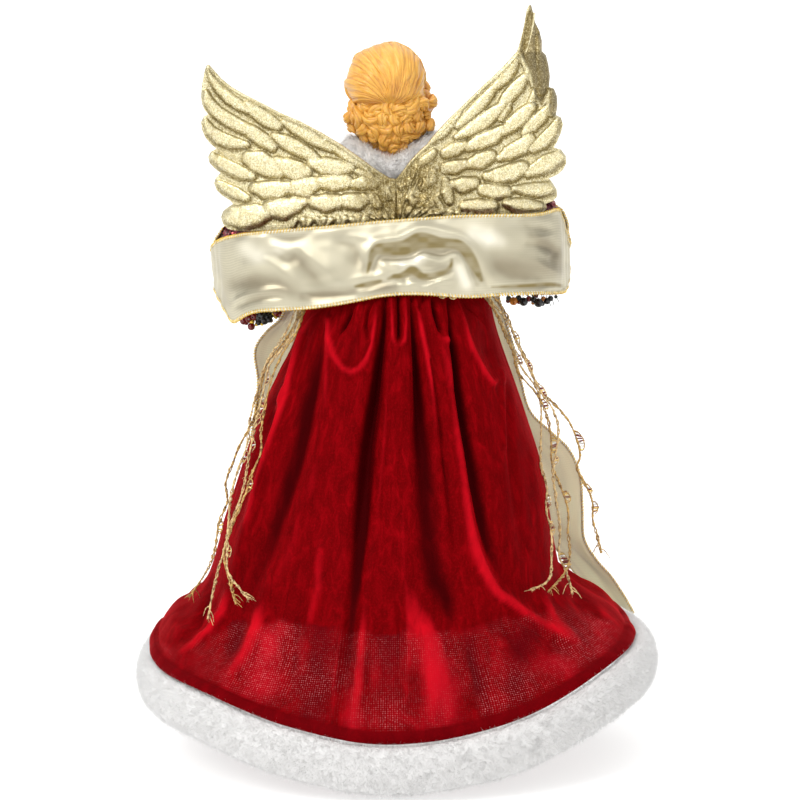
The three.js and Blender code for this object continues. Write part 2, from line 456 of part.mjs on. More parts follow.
const LOOP = [
  [[67.2, 33.2, 184.3], [67.2, 33.2, 144.6]], [[72, 30.2, 183.6], [71.2, 30.5, 142.2]], [[77.5, 25.6, 182.5], [76, 26.2, 140]], [[82.2, 19.4, 181.4], [80.4, 20, 138.4]],
  [[85.6, 12.5, 180.8], [83.9, 12.4, 138.6]], [[87.6, 5.5, 180.8], [86.2, 4.5, 140.5]], [[88.3, -1.5, 182.2], [87.7, -4, 144]], [[87.3, -6.6, 185.4], [88.2, -14, 151]],
  [[84.6, -9.6, 189.0], [86.4, -24, 162]], [[80.4, -11, 191.8], [83.0, -31.5, 174]], [[74.5, -11.5, 193.4], [77.5, -36, 183.5]], [[68.0, -11.5, 193.8], [70.5, -38, 187.6]],
  [[61.5, -11.5, 192.4], [62.5, -38, 188.0]], [[56.6, -12, 188.6], [56.6, -37, 184.6]], [[54.2, -12.4, 183.0], [54.0, -35.5, 178.6]], [[53.3, -12.8, 177.0], [53.2, -34.4, 172.6]],
];
const RISE = { left: 0, right: 10 };
for (const [side, s] of [['left', 1], ['right', -1]]) {
  const dz = RISE[side];
  part('sash_loop_' + side, ribbon(LOOP.map(([A, B], i) => {
    const low = i < 7 ? lerp(10.6, 14.4, Math.min(1, i / 4)) : lerp(14.4, 10, Math.min(1, (i - 6) / 5));
    return [[s * A[0], A[1], A[2] + dz], [s * B[0], B[1], B[2] + (dz ? low : 0)]];
  }), SASH_T, 3), mat.ribbon);
}
const TAIL_L = [
  [[53, -13, 166], [46, -34, 163]], [[53.5, -14, 150], [44, -38, 148]], [[55.5, -16, 139], [45, -43, 137.5]], [[63, -19, 131], [47, -49, 129]], [[69, -21, 121], [50, -55, 119]],
  [[68, -24, 104], [46.5, -61, 103]], [[71, -32, 80], [46, -68, 80]], [[76, -38, 55], [47, -76, 55]], [[81, -45, 30], [49, -84, 30]], [[85.5, -52, 9], [52, -92, 12]],
];
const TAIL_R = [
  [[-52.5, -13, 174], [-46, -34, 171]], [[-52.5, -14, 160], [-44, -38, 157]], [[-53.5, -15, 148], [-44.5, -43, 146]], [[-57.5, -17, 136], [-46, -47, 134]], [[-62.5, -19, 121], [-48, -53, 119]],
  [[-65, -23, 107], [-50.5, -58, 106]], [[-70.5, -27, 88], [-55, -63, 88]], [[-81, -28, 78], [-61, -64, 77]], [[-91, -28, 68], [-67, -66, 67]],
  [[-96.5, -28, 55], [-71, -70, 54]], [[-98, -30, 40], [-74, -74, 38]], [[-99.5, -33, 22], [-78, -79, 21]], [[-107, -36, 10], [-87, -84, 9]], [[-114.5, -38, 1], [-97, -86, 2]], [[-121, -41, -6.5], [-105, -85, -5]],
];
part('ribbon_tail_left', ribbon(TAIL_L, SASH_T, 2), mat.ribbon);
part('ribbon_tail_right', ribbon(TAIL_R, SASH_T, 2), mat.ribbon);

// ---------------------------------------------------------------- yarn
function knot(c, r) {
  const rings = [], n = 10, m = 8;
  for (let i = 1; i < m; i++) {
    const b = Math.PI * i / m - Math.PI / 2;
    rings.push(Array.from({ length: n }, (_, j) => {
      const a = 2 * Math.PI * j / n, q = r * (1 + 0.10 * Math.cos(3 * a + 4 * b));
      return [c[0] + q * Math.cos(b) * Math.cos(a), c[1] + q * 0.85 * Math.cos(b) * Math.sin(a), c[2] + r * 1.1 * Math.sin(b)];
    }));
  }
  return loft(rings);
}
part('yarn_knot_left', knot([42.2, 28.6, 157.4], 4.0), mat.yarn);
part('yarn_knot_right', knot([-45.0, 18.3, 161.0], 4.0), mat.yarn);
for (const [name, pts] of Object.entries(YARN)) part(name, tube(pts, YARN_R, 8, 21), mat.yarn);
part('yarn_loop', tube([[-20.4, 40.8, 160.5], [-21.0, 42.6, 156.6], [-24.0, 44.2, 153.4], [-28.4, 43.4, 153.6], [-30.6, 41.2, 156.4], [-29.6, 38.8, 160.5]], 0.6, 8, 14), mat.yarn);

// ---------------------------------------------------------------- arms
// sleeve sections: centre, sideways axis, upward axis
const SLEEVE = [
  [[37.6, 1, 199.0], [0, 10, 0], [0.5, 0, 10]],
  [[46, 2.2, 194.0], [0, 11, 0], [3.9, 0, 10.2]],
  [[56, 2.6, 187.6], [2.0, 11.2, 0], [5.0, 0, 10.8]],
  [[66, 0.6, 181.2], [5.0, 10.4, 0], [4.2, -0.6, 12.0]],
  [[72.2, -5.4, 176.4], [9.2, 7.4, 0], [2.4, -1.8, 13.4]],
  [[73.0, -14.0, 171.6], [11.4, 2.6, 0], [0.8, -2.6, 15.2]],
  [[71.0, -24.0, 167.6], [12.0, 0.8, 0], [0, -4.4, 17.4]],
  [[68.6, -33.0, 164.6], [12.4, 0, 0], [0, -7.0, 19.4]],
  [[66.8, -40.0, 162.6], [12.8, 0, 0], [0, -8.0, 20.6]],
];
for (const [side, s] of [['left', 1], ['right', -1]]) {
  const dz = RISE[side];
  const ring = (sec, shrink, n = 16, fwd = 0) => {
    const [c, u, v] = sec, lu = Math.hypot(...u), lv = Math.hypot(...v);
    return Array.from({ length: n }, (_, j) => {
      const a = 2 * Math.PI * j / n, cu = Math.cos(a) * (lu - shrink) / lu, cv = Math.sin(a) * (lv - shrink) / lv;
      const p = [c[0] + u[0] * cu + v[0] * cv, c[1] + u[1] * cu + v[1] * cv + fwd, c[2] + u[2] * cu + v[2] * cv];
      const w = smooth(36, 68, c[0]);
      return [s * p[0], p[1], p[2] + dz * w];
    });
  };
  part('sleeve_' + side, loft([...SLEEVE.map((q) => ring(q, 0)), ...SLEEVE.slice().reverse().map((q) => ring(q, 1.2))], true), mat.sequin);
  // beaded trim on the sleeve's edge
  const edge = ring(SLEEVE[SLEEVE.length - 1], 0.4, 30, -2.3), beads = [];
  const mid = [s * 66.8, -42.3, 162.6 + dz];
  edge.forEach((p, i) => {
    const r = 1.55 + 0.35 * Math.cos(2 * Math.PI * i / 3);
    const out = new THREE.Vector3(p[0] - mid[0], 0, p[2] - mid[2]).normalize();
    beads.push(Array.from({ length: 5 }, (_, j) => {
      const a = 2 * Math.PI * j / 5;
      return [p[0] + out.x * r * Math.cos(a), p[1] + r * Math.sin(a), p[2] + out.z * r * Math.cos(a)];
    }));
  });
  part('cuff_beads_' + side, loft(beads, true), mat.bead);
  const wirePts = [[36.3, 1, 199.6], ...SLEEVE.slice(1, 7).map((q) => q[0]), [69.6, -29, 166.2]].map((p) => {
    const w = smooth(36, 68, p[0]);
    return [s * p[0], p[1], p[2] + dz * w];
  });
  part('arm_wire_' + side, tube(wirePts, ARM_WIRE_R, 8, 16), mat.wire);
  const at = (x, y, z) => [s * x, y, z + dz];
  const wrist = loft([-30.2, -36, -42, -47].map((y, i) => {
    const r = [4.6, 4.4, 4.0, 4.4][i], x = [69.2, 67.6, 65.8, 64.6][i], z = [166.0, 165.6, 165.6, 166.2][i];
    return Array.from({ length: 10 }, (_, j) => at(x + r * Math.cos(2 * Math.PI * j / 10), y, z + r * 0.9 * Math.sin(2 * Math.PI * j / 10)));
  }));
  const hand = unite([wrist, ball(at(63.6, -51.5, 167.0), [5.4, 7.2, 3.6], 10, 6),
    ball(at(60.4, -60.5, 168.6), [1.9, 7.2, 1.8], 6, 5), ball(at(63.0, -62.0, 168.9), [1.9, 7.8, 1.8], 6, 5),
    ball(at(65.7, -61.2, 168.4), [1.8, 7.2, 1.7], 6, 5), ball(at(68.0, -59.0, 167.6), [1.6, 6.2, 1.6], 6, 5),
    ball(at(58.6, -51.5, 170.0), [1.9, 4.6, 3.4], 6, 5)]);
  part('hand_' + side, fromManifold(hand), mat.skin);
}

export default group;
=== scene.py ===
import bpy
import bmesh
import math
import numpy as np
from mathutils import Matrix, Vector


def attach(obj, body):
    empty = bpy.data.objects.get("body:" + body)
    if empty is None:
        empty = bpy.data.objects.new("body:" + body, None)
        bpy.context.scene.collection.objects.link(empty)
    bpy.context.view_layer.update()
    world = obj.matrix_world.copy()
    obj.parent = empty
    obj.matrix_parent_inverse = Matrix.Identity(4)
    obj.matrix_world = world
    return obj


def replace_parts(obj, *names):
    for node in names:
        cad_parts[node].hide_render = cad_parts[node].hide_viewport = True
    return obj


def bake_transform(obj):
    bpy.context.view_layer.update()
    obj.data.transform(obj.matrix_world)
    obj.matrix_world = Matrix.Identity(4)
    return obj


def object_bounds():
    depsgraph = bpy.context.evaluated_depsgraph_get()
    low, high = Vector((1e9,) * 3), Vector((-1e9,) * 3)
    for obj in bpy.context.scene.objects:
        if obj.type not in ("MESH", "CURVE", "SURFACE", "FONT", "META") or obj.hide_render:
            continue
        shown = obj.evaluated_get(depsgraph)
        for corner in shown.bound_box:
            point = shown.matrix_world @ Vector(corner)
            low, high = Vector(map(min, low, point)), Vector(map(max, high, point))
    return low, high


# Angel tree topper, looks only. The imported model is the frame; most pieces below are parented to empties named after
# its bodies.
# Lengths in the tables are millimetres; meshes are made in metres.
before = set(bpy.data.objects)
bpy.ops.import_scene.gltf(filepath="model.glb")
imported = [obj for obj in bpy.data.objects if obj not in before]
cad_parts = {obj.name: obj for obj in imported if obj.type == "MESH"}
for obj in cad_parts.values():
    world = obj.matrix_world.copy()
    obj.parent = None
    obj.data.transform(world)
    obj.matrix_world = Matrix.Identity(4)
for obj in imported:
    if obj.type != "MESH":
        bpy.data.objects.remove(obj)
CAD_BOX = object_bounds()
MM = 0.001
scene = bpy.context.scene
scene.view_settings.view_transform = "Standard"
scene.view_settings.look = "None"
scene.view_settings.exposure = 0.0
scene.view_settings.gamma = 1.0

# ------------------------------------------------------------------ camera
ELEV = math.radians(8.0)
CAM_D, CAM_F = 1500.0, 3000.0          # distance in mm, focal length in picture units (800 wide)
AIM = (-4.5, 0.0, 98.0)
cam_data = bpy.data.cameras.new("view")
cam = bpy.data.objects.new("view", cam_data)
scene.collection.objects.link(cam)
cam_data.lens = 135.0
cam_data.sensor_width = 36.0
cam_data.clip_start = 0.05
cam_data.clip_end = 400.0
aim = Vector(AIM) * MM
back = Vector((0.0, math.cos(ELEV), math.sin(ELEV)))
cam.location = aim + back * CAM_D * MM
cam.rotation_euler = (-back).to_track_quat("-Z", "Y").to_euler()
scene.camera = cam


def to_view(X, Y, Z):
    """Row frame in mm to the 800 x 800 view plane."""
    v = -Y * math.sin(ELEV) + (Z - AIM[2]) * math.cos(ELEV)
    depth = CAM_D - Y * math.cos(ELEV) - (Z - AIM[2]) * math.sin(ELEV)
    return 400 + CAM_F * (-(X - AIM[0])) / depth, 400 - CAM_F * v / depth


def from_view(px, py, Y):
    """View plane point to X, Z at a depth Y in mm."""
    px, py = np.asarray(px, float), np.asarray(py, float)
    k = (400 - py) / CAM_F
    c, s = math.cos(ELEV), math.sin(ELEV)
    # v = k * depth, with depth = D - Y c - h s and v = -Y s + h c
    h = (k * (CAM_D - Y * c) + Y * s) / (c + k * s)
    depth = CAM_D - Y * c - h * s
    return AIM[0] - (px - 400) * depth / CAM_F, AIM[2] + h


# ------------------------------------------------------------------ numbers
def lerp(a, b, t):
    return a + (b - a) * t


def smooth(a, b, x):
    t = np.clip((np.asarray(x, float) - a) / (b - a), 0, 1)
    return t * t * (3 - 2 * t)


def _hash(ix, iy, iz, seed):
    h = (ix * 374761393 + iy * 668265263 + iz * 1440662683 + seed * 974634777) & 0xFFFFFFFF
    h = ((h ^ (h >> 13)) * 1274126177) & 0xFFFFFFFF
    return ((h ^ (h >> 16)) & 0xFFFFFF) / float(0xFFFFFF)


def noise3(x, y, z, seed=0):
    """Smooth value noise, -1 to 1."""
    x, y, z = np.broadcast_arrays(np.asarray(x, float), np.asarray(y, float), np.asarray(z, float))
    fx, fy, fz = np.floor(x), np.floor(y), np.floor(z)
    ix, iy, iz = fx.astype(np.int64), fy.astype(np.int64), fz.astype(np.int64)
    tx, ty, tz = x - fx, y - fy, z - fz
    tx, ty, tz = (t * t * t * (t * (t * 6 - 15) + 10) for t in (tx, ty, tz))
    out = 0.0
    for dx in (0, 1):
        wx = tx if dx else 1 - tx
        for dy in (0, 1):
            wy = ty if dy else 1 - ty
            for dz in (0, 1):
                wz = tz if dz else 1 - tz
                out = out + wx * wy * wz * _hash(ix + dx, iy + dy, iz + dz, seed)
    return out * 2 - 1


def fbm(x, y, z, octaves=3, seed=0):
    a, s, out = 1.0, 0.0, 0.0
    for k in range(octaves):
        out = out + a * noise3(np.asarray(x) * 2 ** k, np.asarray(y) * 2 ** k, np.asarray(z) * 2 ** k, seed + k)
        s += a
        a *= 0.5
    return out / s


def nearest(px, py, poly):
    """Distance from points to a polyline, and the value columns of the polyline at the nearest place."""
    P = np.asarray(poly, float)
    best = np.full(px.shape, 1e9)
    vals = [np.zeros(px.shape) for _ in range(P.shape[1] - 2)]
    side = np.zeros(px.shape)
    for i in range(len(P) - 1):
        ax, ay = P[i, 0], P[i, 1]
        dx, dy = P[i + 1, 0] - ax, P[i + 1, 1] - ay
        L2 = dx * dx + dy * dy + 1e-9
        t = np.clip(((px - ax) * dx + (py - ay) * dy) / L2, 0, 1)
        qx, qy = px - ax - t * dx, py - ay - t * dy
        d = np.hypot(qx, qy)
        m = d < best
        best = np.where(m, d, best)
        side = np.where(m, np.sign(dx * qy - dy * qx), side)
        for k in range(len(vals)):
            vals[k] = np.where(m, P[i, 2 + k] + t * (P[i + 1, 2 + k] - P[i, 2 + k]), vals[k])
    return best, vals, side


def relief(px, py, folds, power=2.0):
    """Sum of soft ridges and valleys. Each fold is a line of [x, y, height, half width]."""
    h = np.zeros(np.shape(px))
    for f in folds:
        d, (a, w), _ = nearest(px, py, f)
        h = h + a * np.exp(-(d / np.maximum(w, 0.1)) ** power)
    return h


def inside_poly(px, py, poly):
    P = np.asarray(poly, float)
    res = np.zeros(np.shape(px), bool)
    j = len(P) - 1
    for i in range(len(P)):
        c = (P[i, 1] > py) != (P[j, 1] > py)
        xi = (P[j, 0] - P[i, 0]) * (py - P[i, 1]) / (P[j, 1] - P[i, 1] + 1e-12) + P[i, 0]
        res ^= c & (px < xi)
        j = i
    return res


def catmull(P, n):
    """n points evenly spaced by length along a smooth curve through P."""
    P = np.asarray(P, float)
    Q = np.vstack([2 * P[0] - P[1], P, 2 * P[-1] - P[-2]])
    out = []
    for i in range(1, len(Q) - 2):
        t0 = 0.0
        t1 = t0 + np.linalg.norm(Q[i] - Q[i - 1]) ** 0.5 + 1e-9
        t2 = t1 + np.linalg.norm(Q[i + 1] - Q[i]) ** 0.5 + 1e-9
        t3 = t2 + np.linalg.norm(Q[i + 2] - Q[i + 1]) ** 0.5 + 1e-9
        for t in np.linspace(t1, t2, 24, endpoint=(i == len(Q) - 3)):
            A1 = (t1 - t) / (t1 - t0) * Q[i - 1] + (t - t0) / (t1 - t0) * Q[i]
            A2 = (t2 - t) / (t2 - t1) * Q[i] + (t - t1) / (t2 - t1) * Q[i + 1]
            A3 = (t3 - t) / (t3 - t2) * Q[i + 1] + (t - t2) / (t3 - t2) * Q[i + 2]
            B1 = (t2 - t) / (t2 - t0) * A1 + (t - t0) / (t2 - t0) * A2
            B2 = (t3 - t) / (t3 - t1) * A2 + (t - t1) / (t3 - t1) * A3
            out.append((t2 - t) / (t2 - t1) * B1 + (t - t1) / (t2 - t1) * B2)
    C = np.array(out)
    L = np.concatenate([[0], np.cumsum(np.linalg.norm(np.diff(C, axis=0), axis=1))])
    s = np.linspace(0, L[-1], n)
    return np.column_stack([np.interp(s, L, C[:, k]) for k in range(C.shape[1])])


def unit(v):
    return v / np.maximum(np.linalg.norm(v, axis=-1, keepdims=True), 1e-12)


def frames(C, up=(0, 0, 1)):
    """Tangent and two side directions along a curve, carried without twist."""
    T = unit(np.gradient(C, axis=0))
    n = len(C)
    A = np.zeros_like(C)
    a = np.cross(T[0], up)
    if np.linalg.norm(a) < 1e-3:
        a = np.cross(T[0], (1, 0, 0))
    A[0] = a / np.linalg.norm(a)
    for i in range(1, n):
        a = A[i - 1] - T[i] * np.dot(A[i - 1], T[i])
        A[i] = a / np.linalg.norm(a)
    return T, A, np.cross(T, A)


# ------------------------------------------------------------------ meshes
def make(name, V, F, material, uv=None, attrs=None, smooth_shade=True, outward=False):
    """Mesh object from points in mm and faces of 3 or 4 corners (array, or list of arrays)."""
    V = np.asarray(V, float).reshape(-1, 3) * MM
    groups = [np.asarray(f, np.int64) for f in (F if isinstance(F, (list, tuple)) else [F]) if len(f)]
    me = bpy.data.meshes.new(name)
    me.vertices.add(len(V))
    me.vertices.foreach_set("co", V.ravel())
    loops = np.concatenate([g.ravel() for g in groups])
    totals = np.concatenate([np.full(len(g), g.shape[1]) for g in groups])
    starts = np.concatenate([[0], np.cumsum(totals)[:-1]])
    me.loops.add(len(loops))
    me.loops.foreach_set("vertex_index", loops.astype(np.int32))
    me.polygons.add(len(totals))
    me.polygons.foreach_set("loop_start", starts.astype(np.int32))
    me.polygons.foreach_set("use_smooth", np.full(len(totals), smooth_shade))
    me.update(calc_edges=True)
    if uv is not None:
        layer = me.uv_layers.new(name="cloth")
        layer.data.foreach_set("uv", np.asarray(uv, float)[loops].ravel())
    for key, val in (attrs or {}).items():
        a = me.attributes.new(key, "FLOAT", "POINT")
        a.data.foreach_set("value", np.asarray(val, float).ravel())
    me.validate()
    if outward:
        bm = bmesh.new()
        bm.from_mesh(me)
        bmesh.ops.recalc_face_normals(bm, faces=bm.faces)
        bm.to_mesh(me)
        bm.free()
    ob = bpy.data.objects.new(name, me)
    scene.collection.objects.link(ob)
    if material is not None:
        me.materials.append(material)
    return ob


def grid_faces(nu, nv, wrap_u=False, wrap_v=False, flip=False, base=0):
    iu = np.arange(nu if wrap_u else nu - 1)
    iv = np.arange(nv if wrap_v else nv - 1)
    a, b = np.meshgrid(iu, iv, indexing="ij")
    a2, b2 = (a + 1) % nu, (b + 1) % nv
    q = np.stack([a * nv + b, a2 * nv + b, a2 * nv + b2, a * nv + b2], -1).reshape(-1, 4) + base
    return q[:, ::-1] if flip else q


def tube_mesh(C, radius, sides=8, wave=None, caps=True, A0=None):
    """Tube round a curve in mm. radius: number or array; wave(i, ang) multiplies it."""
    T, A, B = frames(C) if A0 is None else A0
    n = len(C)
    ang = 2 * np.pi * np.arange(sides) / sides
    r = np.broadcast_to(np.asarray(radius, float), (n,))[:, None] * np.ones(sides)
    if wave is not None:
        r = r * wave(np.arange(n)[:, None], ang[None, :])
    V = C[:, None, :] + r[..., None] * (np.cos(ang)[None, :, None] * A[:, None, :] + np.sin(ang)[None, :, None] * B[:, None, :])
    V = V.reshape(-1, 3)
    F = [grid_faces(n, sides, wrap_v=True)[:, ::-1]]
    if caps:
        V = np.vstack([V, C[0], C[-1]])
        j = np.arange(sides)
        k = (j + 1) % sides
        F.append(np.vstack([np.column_stack([np.full(sides, n * sides), k, j]),
                            np.column_stack([np.full(sides, n * sides + 1), (n - 1) * sides + j, (n - 1) * sides + k])]))
    return V, F


def pack_parts(parts):
    """Joins (V, [F...]) parts into one set; returns V and face groups."""
    Vs, quads, tris, base = [], [], [], 0
    for V, F in parts:
        for f in (F if isinstance(F, (list, tuple)) else [F]):
            f = np.asarray(f)
            if len(f):
                (quads if f.shape[1] == 4 else tris).append(f + base)
        Vs.append(V)
        base += len(V)
    out = []
    if quads:
        out.append(np.vstack(quads))
    if tris:
        out.append(np.vstack(tris))
    return np.vstack(Vs), out


def lathe(profile, n=16):
    """Closed ring from a closed profile of [r, z]."""
    P = np.asarray(profile, float)
    a = 2 * np.pi * np.arange(n) / n
    V = np.stack([P[None, :, 0] * np.cos(a)[:, None], P[None, :, 0] * np.sin(a)[:, None], np.broadcast_to(P[None, :, 1], (n, len(P)))], -1)
    return V.reshape(-1, 3), grid_faces(n, len(P), wrap_u=True, wrap_v=True)


def modifier_apply(ob, kind, **props):
    mod = ob.modifiers.new(kind.lower(), kind)
    for k, v in props.items():
        setattr(mod, k, v)
    bpy.context.view_layer.update()
    deps = bpy.context.evaluated_depsgraph_get()
    me = bpy.data.meshes.new_from_object(ob.evaluated_get(deps))
    ob.modifiers.clear()
    old = ob.data
    ob.data = me
    bpy.data.meshes.remove(old)
    return ob


# ------------------------------------------------------------------ materials
class Mat:
    """Small helper round a Principled shader."""

    def __init__(self, name, color=(0.8, 0.8, 0.8), rough=0.5, metal=0.0, **sockets):
        self.m = bpy.data.materials.new(name)
        self.m.use_nodes = True
        self.t = self.m.node_tree
        self.t.nodes.clear()
        self.out = self.t.nodes.new("ShaderNodeOutputMaterial")
        self.b = self.t.nodes.new("ShaderNodeBsdfPrincipled")
        self.t.links.new(self.b.outputs[0], self.out.inputs[0])
        self.b.inputs["Base Color"].default_value = (*color, 1)
        self.b.inputs["Roughness"].default_value = rough
        self.b.inputs["Metallic"].default_value = metal
        for k, v in sockets.items():
            s = self.b.inputs[k.replace("_", " ")]
            s.default_value = (*v, 1) if isinstance(v, tuple) and len(v) == 3 and "Radius" not in k else v

    def n(self, kind, ins=None, **props):
        node = self.t.nodes.new(kind)
        for k, v in props.items():
            setattr(node, k, v)
        for k, v in (ins or {}).items():
            s = node.inputs[k]
            if isinstance(v, bpy.types.NodeSocket):
                self.t.links.new(v, s)
            elif isinstance(v, tuple) and len(v) == 3 and s.type == "RGBA":
                s.default_value = (*v, 1)
            else:
                s.default_value = v
        return node

    def place(self):
        return self.n("ShaderNodeTexCoord").outputs["Object"]

    def cloth(self):
        return self.n("ShaderNodeUVMap", uv_map="cloth").outputs["UV"]

    def attr(self, key):
        return self.n("ShaderNodeAttribute", attribute_name=key).outputs["Fac"]

    def scaled(self, vec, s):
        return self.n("ShaderNodeMapping", {"Vector": vec, "Scale": s}).outputs[0]

    def noise(self, vec, scale, detail=3.0, rough=0.55, warp=0.0):
        return self.n("ShaderNodeTexNoise", {"Vector": vec, "Scale": scale, "Detail": detail, "Roughness": rough, "Distortion": warp}).outputs["Fac"]

    def cells(self, vec, scale, feature="F1", out="Distance", rand=1.0):
        return self.n("ShaderNodeTexVoronoi", {"Vector": vec, "Scale": scale, "Randomness": rand}, feature=feature).outputs[out]

    def wave(self, vec, scale, warp=0.0, direction="X", profile="SIN", detail=1.0):
        return self.n("ShaderNodeTexWave", {"Vector": vec, "Scale": scale, "Distortion": warp, "Detail": detail}, bands_direction=direction, wave_profile=profile).outputs["Fac"]

    def math(self, op, a, b=0.0, c=0.0, clamp=False):
        node = self.n("ShaderNodeMath", operation=op, use_clamp=clamp)
        for i, v in enumerate((a, b, c)):
            if isinstance(v, bpy.types.NodeSocket):
                self.t.links.new(v, node.inputs[i])
            elif i < len(node.inputs):
                node.inputs[i].default_value = v
        return node.outputs[0]

    def ramp(self, fac, stops):
        node = self.n("ShaderNodeValToRGB", {"Fac": fac})
        el = node.color_ramp.elements
        while len(el) < len(stops):
            el.new(0.5)
        for e, (p, c) in zip(el, stops):
            e.position = p
            e.color = (*c, 1) if isinstance(c, tuple) else (c, c, c, 1)
        return node.outputs["Color"]

    def mix(self, fac, a, b, mode="MIX"):
        node = self.n("ShaderNodeMix", data_type="RGBA", blend_type=mode)
        for i, v in ((0, fac), (6, a), (7, b)):
            if isinstance(v, bpy.types.NodeSocket):
                self.t.links.new(v, node.inputs[i])
            else:
                node.inputs[i].default_value = v if i == 0 else (*v, 1)
        return node.outputs[2]

    def bump(self, height, strength=0.5, distance=0.0002, normal=None):
        ins = {"Height": height, "Strength": strength, "Distance": distance}
        if normal is not None:
            ins["Normal"] = normal
        return self.n("ShaderNodeBump", ins).outputs[0]

    def set(self, socket, value):
        self.t.links.new(value, self.b.inputs[socket])
        return self


# ------------------------------------------------------------------ the finishes
def velvet_material():
    k = Mat("velvet_red", (0.20, 0.0016, 0.0048), 0.62, 0.0, Sheen_Weight=0.65, Sheen_Roughness=0.30,
            Sheen_Tint=(0.90, 0.004, 0.014), Specular_IOR_Level=0.008)
    uv = k.cloth()
    nap = k.noise(k.scaled(uv, (1.0, 0.45, 1.0)), 190.0, 4, 0.68, 0.6)
    cloud = k.noise(k.scaled(uv, (1.0, 0.5, 1.0)), 42.0, 3, 0.6, 0.4)
    pile = k.noise(uv, 900.0, 2, 0.7)
    grain = k.noise(uv, 2600.0, 2, 0.7)
    knit = k.attr("knit")
    hem_band_shade = k.attr("hem_turn_shade")
    valley_shade = k.attr("valley_shade")
    base = k.ramp(nap, [(0.30, (0.095, 0.0003, 0.0008)), (0.5, (0.165, 0.0004, 0.0016)), (0.70, (0.290, 0.0010, 0.0036))])
    base = k.mix(k.math("MULTIPLY", k.math("SUBTRACT", 0.62, cloud, clamp=True), 1.5, clamp=True), base, (0.085, 0.0002, 0.0008))
    base = k.mix(k.math("MULTIPLY", k.math("SUBTRACT", pile, 0.50, clamp=True), 1.6, clamp=True), base, (0.36, 0.0018, 0.0060))
    base = k.mix(k.math("MULTIPLY", grain, 0.42), base, (0.085, 0.0002, 0.0010), "MIX")
    # painted highlight along the fold crests
    base = k.mix(k.math("MULTIPLY", k.attr("crest_highlight"), k.math("ADD", k.math("MULTIPLY", nap, 0.9), 0.30), clamp=True), base, (0.56, 0.0040, 0.0120))
    # open knit low on the back: the pale net shows through in rows of small holes
    dots = k.cells(k.scaled(uv, (1.0, 1.0, 1.0)), 980.0, "F1", "Distance", 0.25)
    patch = k.noise(uv, 420.0, 2, 0.6)
    hole = k.math("MULTIPLY", k.math("SUBTRACT", 1.0, k.math("MULTIPLY", dots, 2.6), clamp=True), k.math("MULTIPLY", patch, 1.7), clamp=True)
    hole = k.math("MULTIPLY", k.math("POWER", hole, 1.9), knit, clamp=True)
    # painted shade: the fold valleys are darkened
    base = k.mix(k.math("MULTIPLY", valley_shade, 0.92), base, (0.028, 0.0001, 0.0006))
    base = k.mix(k.math("MULTIPLY", knit, k.math("MULTIPLY", cloud, 0.45), clamp=True), base, (0.30, 0.0028, 0.0085))
    # painted shade between the folds of the open knit
    base = k.mix(k.math("MULTIPLY", k.attr("thin"), 0.82), base, (0.088, 0.0006, 0.0024))
    # painted highlight on the ridges of the open knit
    base = k.mix(k.math("MULTIPLY", k.attr("full"), k.math("ADD", 0.25, k.math("MULTIPLY", cloud, 0.8)), clamp=True), base, (0.42, 0.0040, 0.0120))
    base = k.mix(k.math("MULTIPLY", hole, 0.95), base, (0.74, 0.26, 0.27))
    # painted shade on the turned-under hem band
    base = k.mix(k.math("MULTIPLY", hem_band_shade, 0.62), base, (0.10, 0.0006, 0.0022))
    k.set("Base Color", base)
    k.set("Roughness", k.math("ADD", k.math("MULTIPLY", nap, 0.22), 0.5))
    n1 = k.bump(nap, 0.35, 0.0006)
    k.set("Normal", k.bump(grain, 0.45, 0.00014, n1))
    return k.m


def gold_lame_material():
    k = Mat("gold_lame", (0.80, 0.71, 0.44), 0.30, 0.92, Specular_IOR_Level=0.6, Anisotropic=0.25)
    p = k.place()
    uv = k.cloth()
    painted_groove_shade = k.attr("painted_groove_shade")
    mott = k.noise(p, 620.0, 3, 0.65)
    weave = k.math("MULTIPLY", k.wave(uv, 340.0, 0.6, "X"), k.wave(uv, 320.0, 0.6, "Y"))
    speck = k.noise(k.scaled(p, (1.0, 1.0, 0.75)), 1900.0, 2, 0.8)
    shaded_brass = k.attr("shaded_brass")
    base = k.ramp(mott, [(0.28, (0.74, 0.635, 0.335)), (0.50, (0.92, 0.835, 0.54)), (0.74, (0.99, 0.945, 0.71))])
    dots = k.math("MULTIPLY", k.math("SUBTRACT", speck, 0.465), 14.0, clamp=True)
    # dark speckle of the foil, stronger where the grooves carry painted shade
    base = k.mix(k.math("MULTIPLY", dots, k.math("ADD", k.math("MULTIPLY", painted_groove_shade, 0.42), 0.54), clamp=True), base, (0.28, 0.205, 0.060))
    # painted shade: a darker brass tone where the cloth is gathered or turned away from the light
    base = k.mix(k.math("MULTIPLY", shaded_brass, 0.96), base, (0.225, 0.150, 0.036))
    # painted shade in the grooves between the lobes
    base = k.mix(k.math("MULTIPLY", painted_groove_shade, k.math("ADD", k.math("MULTIPLY", dots, 0.45), 0.42), clamp=True), base, (0.135, 0.092, 0.018))
    # painted glints on the shaded brass
    glint = k.math("MULTIPLY", k.math("SUBTRACT", k.noise(p, 1150.0, 2, 0.8), 0.545), 16.0, clamp=True)
    base = k.mix(k.math("MULTIPLY", glint, k.math("MULTIPLY", shaded_brass, 0.68), clamp=True), base, (0.92, 0.80, 0.46))
    k.set("Base Color", base)
    k.set("Roughness", k.math("ADD", k.math("MULTIPLY", speck, 0.22), 0.19))
    n1 = k.bump(weave, 0.35, 0.00012)
    n2 = k.bump(mott, 0.55, 0.00030, n1)
    k.set("Normal", k.bump(speck, 0.95, 0.00022, n2))
    return k.m


